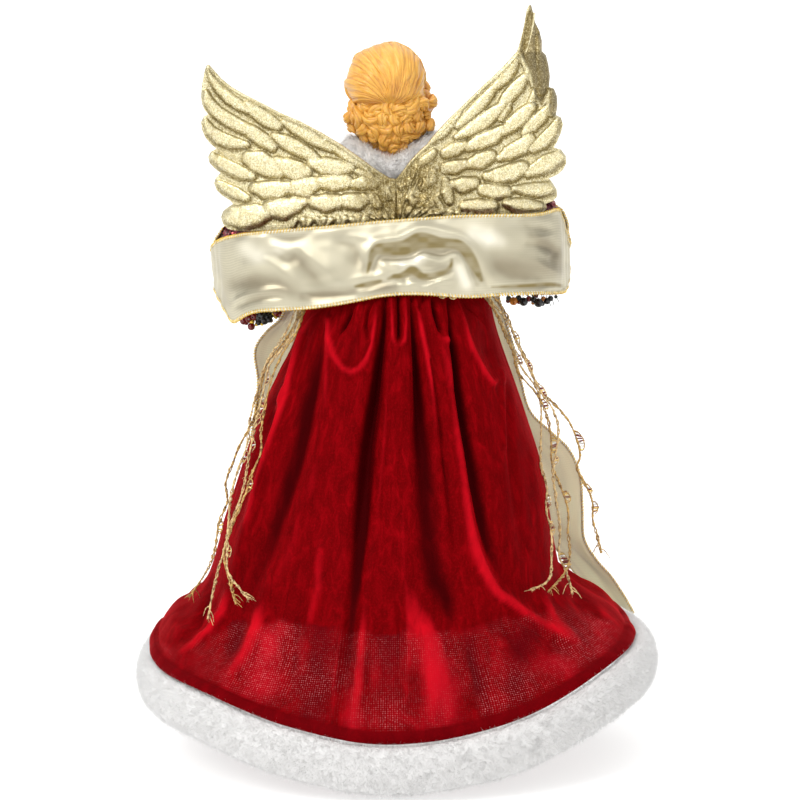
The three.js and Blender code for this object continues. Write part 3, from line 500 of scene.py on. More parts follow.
def ribbon_material(name, tone, tuck_shade_tone, valley_shade_tone, metal=0.55, rough=0.36, **more):
    k = Mat(name, tone, rough, metal, **more, Specular_IOR_Level=0.5, Anisotropic=0.5, Sheen_Weight=0.12, Sheen_Roughness=0.4, Sheen_Tint=(1.0, 0.96, 0.86))
    uv = k.cloth()
    tuck_shade_mask = k.attr("tuck_shade")
    shim = k.noise(k.scaled(uv, (0.6, 1.6, 1.0)), 60.0, 3, 0.5, 0.4)
    thread = k.wave(uv, 300.0, 0.3, "X")
    thread2 = k.wave(uv, 270.0, 0.3, "Y")
    twill = k.wave(uv, 520.0, 0.3, "DIAGONAL")
    eye = k.math("MULTIPLY", thread, thread2)
    base = k.ramp(shim, [(0.30, tuple(0.86 * c for c in tone)), (0.52, tone), (0.74, tuple(min(1.0, 1.12 * c) for c in tone))])
    base = k.mix(k.math("MULTIPLY", eye, 0.46), base, tuple(0.45 * c for c in tone))
    base = k.mix(k.math("MULTIPLY", twill, 0.22), base, tuple(0.62 * c for c in tone))
    # painted shade in broad areas
    base = k.mix(k.math("MULTIPLY", k.attr("dark"), 0.95), base, tuple(c * q for c, q in zip(tone, (0.40, 0.36, 0.32))))
    # painted highlight and reflection in broad areas
    base = k.mix(k.math("MULTIPLY", k.attr("light"), 0.95), base, tuple(min(1.0, c * q) for c, q in zip(tone, (1.55, 1.60, 1.80))))
    # painted shade in the fold valleys
    base = k.mix(k.math("MULTIPLY", k.attr("dip"), 0.70), base, valley_shade_tone)
    # painted shade in the tucks
    base = k.mix(k.math("MULTIPLY", tuck_shade_mask, 0.92), base, tuck_shade_tone)
    k.set("Base Color", base)
    k.set("Roughness", k.math("ADD", k.math("MULTIPLY", shim, 0.18), rough - 0.09))
    n1 = k.bump(k.math("ADD", thread, thread2), 0.18, 0.00010)
    k.set("Normal", k.bump(twill, 0.22, 0.00012, n1))
    return k.m


def thread_material(name, tone, dark, metal=0.5, rough=0.38, scale=1500.0):
    k = Mat(name, tone, rough, metal, Specular_IOR_Level=0.5)
    p = k.place()
    a = k.noise(p, scale, 3, 0.6)
    base = k.ramp(a, [(0.32, dark), (0.55, tone), (0.78, tuple(min(1.0, 1.25 * c) for c in tone))])
    k.set("Base Color", base)
    k.set("Normal", k.bump(a, 0.5, 0.00012))
    return k.m


def fur_material(name, tone, shade):
    k = Mat(name, tone, 0.75, 0.0, Sheen_Weight=0.08, Sheen_Roughness=0.5, Sheen_Tint=(1.0, 1.0, 1.0), Specular_IOR_Level=0.12,
            Subsurface_Weight=0.85, Subsurface_Radius=(0.004, 0.004, 0.004), Subsurface_Scale=0.5)
    p = k.place()
    big = k.noise(p, 95.0, 3, 0.6)
    fine = k.noise(p, 1400.0, 2, 0.6)
    base = k.ramp(big, [(0.30, shade), (0.55, tone), (0.80, tuple(min(1.0, 1.03 * c) for c in tone))])
    base = k.mix(k.math("MULTIPLY", fine, 0.12), base, shade)
    k.set("Base Color", base)
    k.set("Normal", k.bump(fine, 0.4, 0.0003))
    return k.m


def hair_material():
    k = Mat("hair_amber", (0.84, 0.43, 0.07), 0.36, 0.0, Subsurface_Weight=0.12, Subsurface_Radius=(0.0040, 0.0018, 0.0006),
            Subsurface_Scale=0.6, Coat_Weight=0.12, Coat_Roughness=0.3)
    p = k.place()
    low = k.attr("low")
    tint = k.noise(p, 130.0, 3, 0.55)
    fine = k.noise(k.scaled(p, (1.0, 1.0, 0.35)), 1500.0, 2, 0.6)
    base = k.ramp(tint, [(0.28, (0.66, 0.300, 0.034)), (0.5, (0.75, 0.380, 0.050)), (0.76, (0.82, 0.455, 0.085))])
    # painted shade in the grooves between locks and strands and on the underside of the curls
    base = k.mix(k.math("MULTIPLY", low, 0.85), base, (0.42, 0.130, 0.012))
    base = k.mix(k.math("MULTIPLY", fine, 0.10), base, (0.98, 0.70, 0.30))
    k.set("Base Color", base)
    k.set("Roughness", k.math("ADD", k.math("MULTIPLY", fine, 0.16), 0.30))
    k.set("Normal", k.bump(fine, 0.16, 0.00014))
    return k.m


def sequin_cloth_material():
    k = Mat("sequin_cloth", (0.045, 0.004, 0.008), 0.42, 0.25, Sheen_Weight=0.4, Sheen_Tint=(0.6, 0.1, 0.12))
    p = k.place()
    c = k.cells(p, 900.0, "F1", "Color")
    d = k.cells(p, 900.0, "F1", "Distance")
    base = k.ramp(k.n("ShaderNodeSeparateColor", {"Color": c}).outputs[0], [(0.0, (0.022, 0.001, 0.003)), (0.6, (0.075, 0.006, 0.013)), (0.95, (0.16, 0.015, 0.026))])
    k.set("Base Color", base)
    k.set("Normal", k.bump(d, 0.6, 0.0004))
    return k.m


def sequin_material(name, tone, bright):
    k = Mat(name, tone, 0.16, 0.85, Specular_IOR_Level=0.7, Coat_Weight=0.5, Coat_Roughness=0.08)
    p = k.place()
    c = k.cells(p, 520.0, "F1", "Color")
    base = k.ramp(k.n("ShaderNodeSeparateColor", {"Color": c}).outputs[1], [(0.1, tuple(0.5 * t for t in tone)), (0.6, tone), (0.95, bright)])
    k.set("Base Color", base)
    k.set("Normal", k.bump(k.noise(p, 800.0, 2), 0.15, 0.0002))
    return k.m


def glass_bead_material(name, tone, rough=0.10, metal=0.0):
    k = Mat(name, tone, rough, metal, Specular_IOR_Level=0.5, Coat_Weight=0.25, Coat_Roughness=0.05)
    p = k.place()
    a = k.noise(p, 700.0, 3, 0.6)
    k.set("Base Color", k.ramp(a, [(0.25, tuple(0.55 * c for c in tone)), (0.55, tone), (0.85, tuple(min(1.0, 1.6 * c + 0.01) for c in tone))]))
    k.set("Normal", k.bump(a, 0.08, 0.0002))
    return k.m


def skin_material():
    k = Mat("skin_doll", (0.86, 0.58, 0.44), 0.42, 0.0, Subsurface_Weight=0.25, Subsurface_Radius=(0.006, 0.002, 0.001), Subsurface_Scale=0.5,
            Specular_IOR_Level=0.4)
    p = k.place()
    a = k.noise(p, 160.0, 3, 0.5)
    f = k.noise(p, 2600.0, 2, 0.5)
    base = k.ramp(a, [(0.3, (0.80, 0.50, 0.365)), (0.55, (0.87, 0.585, 0.445)), (0.8, (0.90, 0.64, 0.50))])
    base = k.mix(k.attr("blush"), base, (0.80, 0.27, 0.22))
    base = k.mix(k.attr("lips"), base, (0.60, 0.055, 0.06))
    base = k.mix(k.attr("brow"), base, (0.33, 0.135, 0.035))
    base = k.mix(k.attr("shade"), base, (0.42, 0.13, 0.09))
    base = k.mix(k.attr("white"), base, (0.86, 0.85, 0.83))
    base = k.mix(k.attr("iris"), base, (0.085, 0.20, 0.30))
    base = k.mix(k.attr("pupil"), base, (0.006, 0.006, 0.008))
    base = k.mix(k.attr("lash"), base, (0.09, 0.035, 0.015))
    k.set("Base Color", base)
    k.set("Normal", k.bump(f, 0.08, 0.0001))
    return k.m


def plain_material(name, tone, rough, metal=0.0, scale=300.0, bump=0.2, depth=0.0002, vary=0.82, stretch=(1, 1, 1), **sockets):
    k = Mat(name, tone, rough, metal, **sockets)
    p = k.place()
    a = k.noise(k.scaled(p, stretch), scale, 4, 0.6)
    k.set("Base Color", k.ramp(a, [(0.3, tuple(vary * c for c in tone)), (0.55, tone), (0.8, tuple(min(1.0, 1.06 * c) for c in tone))]))
    k.set("Roughness", k.math("ADD", k.math("MULTIPLY", a, 0.2), max(0.05, rough - 0.1)))
    k.set("Normal", k.bump(a, bump, depth))
    return k.m


VELVET = velvet_material()
LAME = gold_lame_material()
SASH = ribbon_material("ribbon_champagne", (0.585, 0.54, 0.400), (0.20, 0.148, 0.048), (0.26, 0.22, 0.145), 0.80, 0.38)
TAIL = ribbon_material("ribbon_tail_gold", (1.0, 0.93, 0.68), (0.93, 0.82, 0.54), (0.90, 0.76, 0.60), 0.0, 0.5, Transmission_Weight=0.55, IOR=1.15)
STITCH_PALE = thread_material("stitch_pale", (0.80, 0.76, 0.64), (0.46, 0.41, 0.28), 0.2, 0.5, 900.0)
STITCH_GOLD = thread_material("stitch_gold", (0.84, 0.58, 0.085), (0.46, 0.28, 0.03), 0.3, 0.4, 700.0)
YARN_GOLD = thread_material("yarn_gold", (0.56, 0.355, 0.11), (0.12, 0.042, 0.012), 0.45, 0.38, 620.0)
YARN_BEIGE = thread_material("yarn_beige", (0.70, 0.51, 0.24), (0.16, 0.07, 0.024), 0.30, 0.45, 620.0)
FLAG_RED = thread_material("flag_red", (0.22, 0.030, 0.022), (0.08, 0.008, 0.008), 0.3, 0.42, 900.0)
FLAG_SILVER = thread_material("flag_silver", (0.80, 0.79, 0.75), (0.42, 0.40, 0.36), 0.7, 0.3, 900.0)
FLAG_GOLD = thread_material("flag_gold", (0.85, 0.62, 0.22), (0.45, 0.29, 0.07), 0.7, 0.3, 900.0)
FUR = fur_material("fur_white", (0.720, 0.714, 0.709), (0.708, 0.701, 0.696))
FUR_GREY = fur_material("fur_collar_white", (0.985, 0.962, 0.94), (0.92, 0.893, 0.868))
HAIR = hair_material()
SLEEVE = sequin_cloth_material()
SEQUIN = sequin_material("sequin_maroon", (0.20, 0.018, 0.030), (0.55, 0.08, 0.08))
SEQUIN_GOLD = sequin_material("sequin_gold", (0.72, 0.48, 0.12), (0.95, 0.78, 0.38))
BEAD_BLACK = glass_bead_material("bead_black", (0.0035, 0.003, 0.003), 0.07)
BEAD_RED = glass_bead_material("bead_red", (0.15, 0.0012, 0.0015), 0.12)
BEAD_AMBER = glass_bead_material("bead_amber", (0.52, 0.16, 0.006), 0.08)
BEAD_GOLD = glass_bead_material("bead_gold", (0.85, 0.55, 0.07), 0.18, 0.7)
SKIN = skin_material()
CONE = plain_material("cone_plastic", (0.80, 0.785, 0.75), 0.45, 0.0, 55.0, 0.12, 0.0006, 0.93, (1, 1, 0.3), Coat_Weight=0.1)
FOAM = plain_material("foam_white", (0.84, 0.82, 0.78), 0.85, 0.0, 900.0, 0.5, 0.0004, 0.85)
WOOD = plain_material("post_wood", (0.52, 0.34, 0.17), 0.6, 0.0, 260.0, 0.3, 0.0003, 0.62, (1, 1, 0.06))
WIRE = plain_material("steel_wire", (0.50, 0.50, 0.49), 0.30, 0.95, 1600.0, 0.15, 0.0001, 0.8)


# ------------------------------------------------------------------ yarn strands (cords first)
# routes in mm, the same points as the frame's strands
YARN = {
    "yarn_left_1": [[40.0,26.9,152.5],[49.3,28.5,135.1],[55.4,22.5,126.0],[61.1,17.7,118.9],[64.7,17.0,103.9],[67.6,19.5,91.8],[75.5,12.4,76.2],[78.7,10.2,67.7],[82.0,14.5,58.9],[80.9,23.5,50.4],[84.9,26.6,40.4],[86.8,31.0,27.6],[88.8,31.0,21.6],[94.3,23.5,11.0],[100.9,15.0,0.9]],
    "yarn_left_2": [[43.7,26.3,152.5],[48.1,32.7,135.1],[53.7,28.3,126.7],[59.3,25.5,119.4],[62.8,25.0,105.0],[65.8,26.6,92.8],[69.5,32.5,74.8],[72.4,35.5,58.9],[77.8,37.8,43.4],[82.2,40.1,27.4],[84.1,43.1,21.5],[86.9,46.5,9.8],[89.2,50.7,-2.8]],
    "yarn_left_3": [[40.4,30.5,152.5],[46.5,37.4,135.2],[52.0,34.7,127.0],[57.0,33.2,116.5],[60.0,33.5,106.2],[62.4,35.4,94.1],[63.3,38.1,86.6],[63.3,40.5,78.1],[67.6,42.1,68.0],[71.1,43.4,57.3],[76.2,48.0,45.4],[81.2,48.0,28.1],[78.2,52.8,17.0],[74.7,63.9,7.5]],
    "yarn_left_4": [[44.3,30.0,152.5],[50.6,31.6,136.9],[56.8,25.2,126.8],[61.9,20.9,117.8],[66.0,19.3,104.7],[69.5,21.2,91.0],[70.9,24.9,79.1],[75.2,29.1,67.3],[78.4,33.8,55.7],[78.9,46.0,46.0],[79.3,51.3,38.8],[79.3,53.5,33.5],[78.9,56.7,22.2],[73.2,63.5,15.3],[68.0,71.6,11.5]],
    "yarn_right_1": [[-47.0,16.4,156.0],[-57.1,4.0,141.7],[-61.7,4.0,130.2],[-68.7,4.0,116.2],[-73.8,4.0,104.6],[-84.8,4.0,93.0],[-90.4,4.0,84.9],[-94.5,4.0,70.8],[-93.0,4.0,64.2],[-97.1,4.0,56.1],[-100.7,4.0,48.0],[-101.3,4.0,37.3],[-103.9,4.0,28.1],[-105.5,4.0,21.0]],
    "yarn_right_2": [[-43.3,15.8,156.0],[-54.0,10.2,139.4],[-59.6,8.2,126.7],[-65.1,7.0,115.0],[-71.7,6.5,105.9],[-74.2,6.9,99.5],[-74.7,9.2,84.7],[-74.6,12.7,67.6],[-77.4,17.0,56.8],[-76.9,22.8,46.2],[-79.3,27.4,36.0],[-79.0,34.4,25.8],[-77.6,44.6,16.3],[-68.8,57.2,12.9]],
    "yarn_right_3": [[-46.6,20.0,156.0],[-55.4,12.4,134.7],[-60.5,10.4,123.0],[-63.1,9.1,113.3],[-71.6,9.1,103.3],[-76.6,9.0,94.2],[-79.7,8.4,80.1],[-80.3,8.4,67.0],[-85.9,8.4,52.3],[-88.4,8.7,43.7],[-88.4,10.6,32.9],[-89.1,16.8,24.4],[-86.5,30.0,16.9],[-76.7,48.9,10.3]],
    "yarn_right_4": [[-42.7,19.5,156.0],[-57.9,10.6,138.4],[-62.9,12.6,127.0],[-68.9,12.6,114.5],[-74.5,12.6,103.5],[-80.0,11.6,95.5],[-83.0,10.8,86.9],[-82.6,10.8,76.9],[-80.7,11.2,64.3],[-82.3,11.8,49.3],[-84.2,13.9,34.5],[-83.6,17.9,22.6],[-86.8,25.2,15.9],[-89.6,34.2,6.3]],
}


def thread_pair(C, gap, turns, r, seed):
    """Two thin plied threads wound loosely round a centre line."""
    n = len(C)
    T, A, B = frames(C)
    L = np.concatenate([[0], np.cumsum(np.linalg.norm(np.diff(C, axis=0), axis=1))])
    u = L / L[-1]
    ph = 2 * np.pi * turns * u + 0.9 * noise3(L / 9.0, seed, 0, seed)
    g = gap * (0.55 + 0.45 * noise3(L / 6.0, seed, 5, seed + 3)) * smooth(0, 0.04, u)
    parts = []
    for side in (0, 1):
        a = ph + np.pi * side
        D = C + g[:, None] * (np.cos(a)[:, None] * A + np.sin(a)[:, None] * B)
        wob = 0.10 * np.stack([noise3(L / 1.7, side, k, seed + 7 * k) for k in range(3)], -1)
        D = D + wob
        ply = 2 * np.pi * L / 1.5
        nub = 1 + 0.55 * smooth(0.35, 0.75, noise3(L / 2.1, side, 3, seed + 31)) - 0.30 * smooth(0.2, 0.7, noise3(L / 3.1, side, 8, seed + 33))
        V, F = tube_mesh(D, r * nub, 6, lambda i, ang: 1 + 0.26 * np.cos(2 * ang - ply[i]))
        parts.append((V, F))
    return parts, (T, A, B, L)


def ladder(C, frame3, spans, seed):
    """The open stretches of ladder yarn: two thin rails set apart, with short bars across."""
    T, A, B, L = frame3
    r = np.random.default_rng(seed)
    out = {"flag_red": [], "flag_silver": [], "flag_gold": []}
    rails = []
    for (a, b, count, wide) in spans:
        i0, i1 = int(a * (len(C) - 1)), int(b * (len(C) - 1))
        if i1 - i0 < 4:
            continue
        ang = r.uniform(-0.5, 0.5)
        away = np.array([-math.cos(ang), math.sin(ang) * 0.6, 0.0])
        seg = C[i0:i1 + 1]
        u = np.linspace(0, 1, len(seg))
        open_ = wide * np.sin(np.pi * u) ** 0.45
        rail = seg + open_[:, None] * away + 0.12 * np.stack([noise3(u * 30, seed, q, seed) for q in range(3)], -1)
        rails.append(tube_mesh(catmull(rail[::2], 60), 0.27, 6, lambda i, g_: 1 + 0.25 * np.cos(2 * g_ - 1.4 * i)))
        for k in range(count):
            q = (k + 0.8) / (count + 0.6)
            i = int(np.clip(i0 + q * (i1 - i0) + r.normal(0, 0.6), 1, len(C) - 2))
            uq = (i - i0) / (i1 - i0)
            o = wide * np.sin(np.pi * np.clip(uq, 0, 1)) ** 0.45
            side = away + np.array([0, 0, r.normal(0, 0.18)])
            side = side / np.linalg.norm(side)
            up = np.array([0.0, 0.25 * r.normal(), 1.0])
            up = up - side * np.dot(up, side)
            up = up / np.linalg.norm(up)
            nor = np.cross(up, side)
            w, h, t = o + r.uniform(0.5, 1.1), r.uniform(0.62, 1.05), 0.26
            c = C[i] + 0.5 * o * away
            rows = []
            for q_ in np.linspace(-1, 1, 7):
                hh = h * (1 - 0.45 * q_ * q_)
                m = c + side * (q_ * w / 2) + nor * (0.25 * (1 - q_ * q_)) + up * (0.15 * q_)
                rows.append([m + up * hh / 2 + nor * t / 2, m - up * hh / 2 + nor * t / 2, m - up * hh / 2 - nor * t / 2, m + up * hh / 2 - nor * t / 2])
            V = np.array(rows).reshape(-1, 3)
            F = [grid_faces(7, 4, wrap_v=True), np.array([[0, 1, 2, 3], [27, 26, 25, 24]])]
            out[("flag_red", "flag_silver", "flag_red", "flag_gold", "flag_red")[r.integers(0, 5)]].append((V, F))
    return out, rails


# open stretches of the ladder yarn, by their place in the view: [x, y top, y bottom, bars, width in mm]
LADDERS = [(512, 330, 345, 4, 2.0), (517, 350, 366, 5, 2.2), (540, 383, 398, 5, 2.4), (546, 398, 411, 4, 2.4), (552, 434, 456, 8, 3.0), (575, 430, 452, 8, 3.4), (585, 483, 494, 4, 2.0), (588, 501, 514, 6, 2.8),
           (565, 491, 503, 5, 3.0), (546, 494, 510, 5, 2.2), (564, 551, 570, 7, 4.2), (545, 520, 536, 3, 1.8), (560, 455, 465, 3, 2.0), (527, 358, 372, 4, 2.2),
           (262, 396, 420, 6, 2.2), (257, 414, 426, 4, 2.0), (241, 450, 465, 5, 2.2), (255, 440, 452, 3, 2.0), (222, 520, 536, 4, 2.2), (236, 503, 517, 4, 2.0), (249, 478, 494, 4, 2.2), (229, 545, 558, 3, 2.0), (268, 372, 386, 4, 2.0)]


yarn_lengths = {}
routes = {name: catmull(pts, 340) for name, pts in YARN.items()}
seen_at = {name: to_view(C[:, 0], C[:, 1], C[:, 2]) for name, C in routes.items()}
LADDER_SPANS = {name: [] for name in YARN}
for (lx_, y0_, y1_, bars_, wide_) in LADDERS:
    best = None
    for name, (vx_, vy_) in seen_at.items():
        i = int(np.argmin(np.abs(vy_ - (y0_ + y1_) / 2)))
        d_ = abs(vx_[i] - lx_)
        if best is None or d_ < best[0]:
            best = (d_, name)
    vy_ = seen_at[best[1]][1]
    i0, i1 = int(np.argmin(np.abs(vy_ - y0_))), int(np.argmin(np.abs(vy_ - y1_)))
    LADDER_SPANS[best[1]].append((min(i0, i1) / 339, max(i0, i1) / 339, bars_, wide_))
for yi, (name, pts) in enumerate(YARN.items()):
    C = catmull(pts, 340)
    length = float(np.linalg.norm(np.diff(C, axis=0), axis=1).sum())
    yarn_lengths[name] = length
    parts, fr = thread_pair(C, 0.58, length / 8.0, 0.36, 11 + yi)
    bars, rails = ladder(C, fr, LADDER_SPANS[name], 80 + yi)
    loose_parts = list(rails)
    # frayed ends and a few loose fibres
    r = np.random.default_rng(50 + yi)
    for q in range(26):
        i = int(r.integers(6, len(C) - 2)) if q > 4 else len(C) - 1 - q
        d = r.normal(0, 1, 3) * 0.6 + fr[0][i] * r.uniform(0.2, 1.2) + np.array([0, 0, -0.3])
        d = d / np.linalg.norm(d)
        m = C[i] + d * 0.9 + r.normal(0, 0.15, 3)
        e = m + d * r.uniform(0.5, 1.3) + np.array([0, 0, -0.35])
        parts.append(tube_mesh(catmull([C[i], m, e], 6), np.linspace(0.085, 0.035, 6), 4))
    for q in range(3):
        i = len(C) - 14 + 4 * q
        d = fr[0][i] + np.array([r.choice([-1, 1]) * r.uniform(0.5, 0.9), 0.2 * r.normal(), 0.1])
        d = d / np.linalg.norm(d)
        e = C[i] + d * r.uniform(4.0, 7.0) + np.array([0, 0, -0.8])
        m = C[i] + d * 2.4 + r.normal(0, 0.35, 3)
        loose_parts.append(tube_mesh(catmull([C[i], m, e], 14), np.linspace(0.30, 0.12, 14), 5, lambda i_, g_: 1 + 0.3 * np.cos(2 * g_ - 1.9 * i_)))
    V, F = pack_parts(parts)
    strand = make(name + "_thread", V, F, (YARN_GOLD, YARN_BEIGE)[yi % 2])
    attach(strand, "base")
    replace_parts(strand, name)
    V, F = pack_parts(loose_parts)
    rail_ob = make(name + "_rails", V, F, (YARN_GOLD, YARN_BEIGE)[yi % 2])
    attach(rail_ob, "base")
    for kind, items in bars.items():
        if not items:
            continue
        V, F = pack_parts(items)
        bar = make(name + "_" + kind, V, F, {"flag_red": FLAG_RED, "flag_silver": FLAG_SILVER, "flag_gold": FLAG_GOLD}[kind])
        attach(bar, "base")


# ------------------------------------------------------------------ velvet skirt
CONE_R = lambda z: 86.5 - 56.5 * np.clip(z, 0, 168) / 168.0
# radius by height at four sides: left of the angel (+X), back (+Y), right (-X), front (-Y)
SIDE = {
    0: [(33.3, 171), (36.6, 160), (41.6, 146), (46.8, 131), (51.9, 120), (57.2, 110), (61.4, 101), (64.8, 94), (67.8, 85), (71.3, 75),
        (74.5, 65), (77.6, 55), (81.2, 45), (84.6, 35), (87.0, 25), (89.8, 15), (94.0, 5), (101.5, -3), (110.5, -9)],
    90: [(33.3, 171), (41.3, 159), (47.6, 150), (53.6, 139), (57.6, 125), (61.0, 110), (64.4, 97), (67.6, 86), (70.6, 75), (73.8, 62),
         (76.6, 50), (79.6, 38), (83.0, 26), (85.6, 15), (89.0, 3), (93.4, -9), (98.4, -20), (103.5, -31), (107.5, -39)],
    180: [(33.3, 171), (42.2, 160), (48.4, 149), (51.0, 139), (53.6, 130), (57.0, 120), (60.9, 110), (64.4, 100), (68.0, 90), (71.2, 80),
          (74.3, 70), (76.6, 60), (78.6, 48), (80.6, 36), (82.6, 25), (85.8, 13), (93.0, 6), (102.5, -1), (112.5, -7)],
    270: [(33.3, 171), (40.6, 159), (45.8, 149), (50.6, 139), (54.2, 127), (58.6, 113), (62.0, 100), (65.2, 87), (68.2, 75), (72.4, 62),
          (76.4, 50), (80.4, 36), (84.2, 23), (88.0, 14), (92.6, 7), (97.6, 3), (102.0, 1), (106.6, -1), (110.2, -2.5)],
}
HEM = [(0, 123, -25), (20, 122.5, -29.5), (40, 120.3, -32.7), (65, 114, -44), (90, 110, -50.7), (120, 115.5, -42.5), (150, 122, -25),
       (170, 124, -20), (190, 124, -17), (215, 120, -14), (240, 116, -12), (270, 113, -11), (300, 116, -12), (325, 120, -15), (345, 122, -21)]


def periodic(table, deg):
    """Smooth closed curve through rows of (angle, values...)."""
    T = np.asarray(table, float)
    a = np.concatenate([T[-2:, 0] - 360, T[:, 0], T[:2, 0] + 360])
    deg = np.mod(deg, 360)
    out = []
    for k in range(1, T.shape[1]):
        v = np.concatenate([T[-2:, k], T[:, k], T[:2, k]])
        i = np.clip(np.searchsorted(a, deg, "right") - 1, 1, len(a) - 3)
        u = (deg - a[i]) / (a[i + 1] - a[i])
        h = a[i + 1] - a[i]
        m0 = (v[i + 1] - v[i - 1]) / (a[i + 1] - a[i - 1]) * h
        m1 = (v[i + 2] - v[i]) / (a[i + 2] - a[i]) * h
        out.append((2 * u ** 3 - 3 * u * u + 1) * v[i] + (u ** 3 - 2 * u * u + u) * m0 + (3 * u * u - 2 * u ** 3) * v[i + 1] + (u ** 3 - u * u) * m1)
    return out


def skirt_rows(deg, rows):
    """Base profile points (R, Z) for each angle, evenly spaced down the cloth."""
    n_lv = len(SIDE[0])
    R = np.zeros((len(deg), n_lv + 1))
    Z = np.zeros((len(deg), n_lv + 1))
    for k in range(n_lv):
        r, z = periodic([(d, SIDE[d][k][0], SIDE[d][k][1]) for d in (0, 90, 180, 270)], deg)
        R[:, k], Z[:, k] = r, z
    hr, hz = periodic(HEM, deg)
    R[:, -1], Z[:, -1] = hr - 1.0, hz
    outR, outZ, D = np.zeros((len(deg), rows)), np.zeros((len(deg), rows)), np.zeros((len(deg), rows))
    for i in range(len(deg)):
        C = catmull(np.column_stack([R[i], Z[i]]), rows)
        L = np.concatenate([[0], np.cumsum(np.hypot(*np.diff(C, axis=0).T))])
        outR[i], outZ[i], D[i] = C[:, 0], C[:, 1], L
    return outR, outZ, D


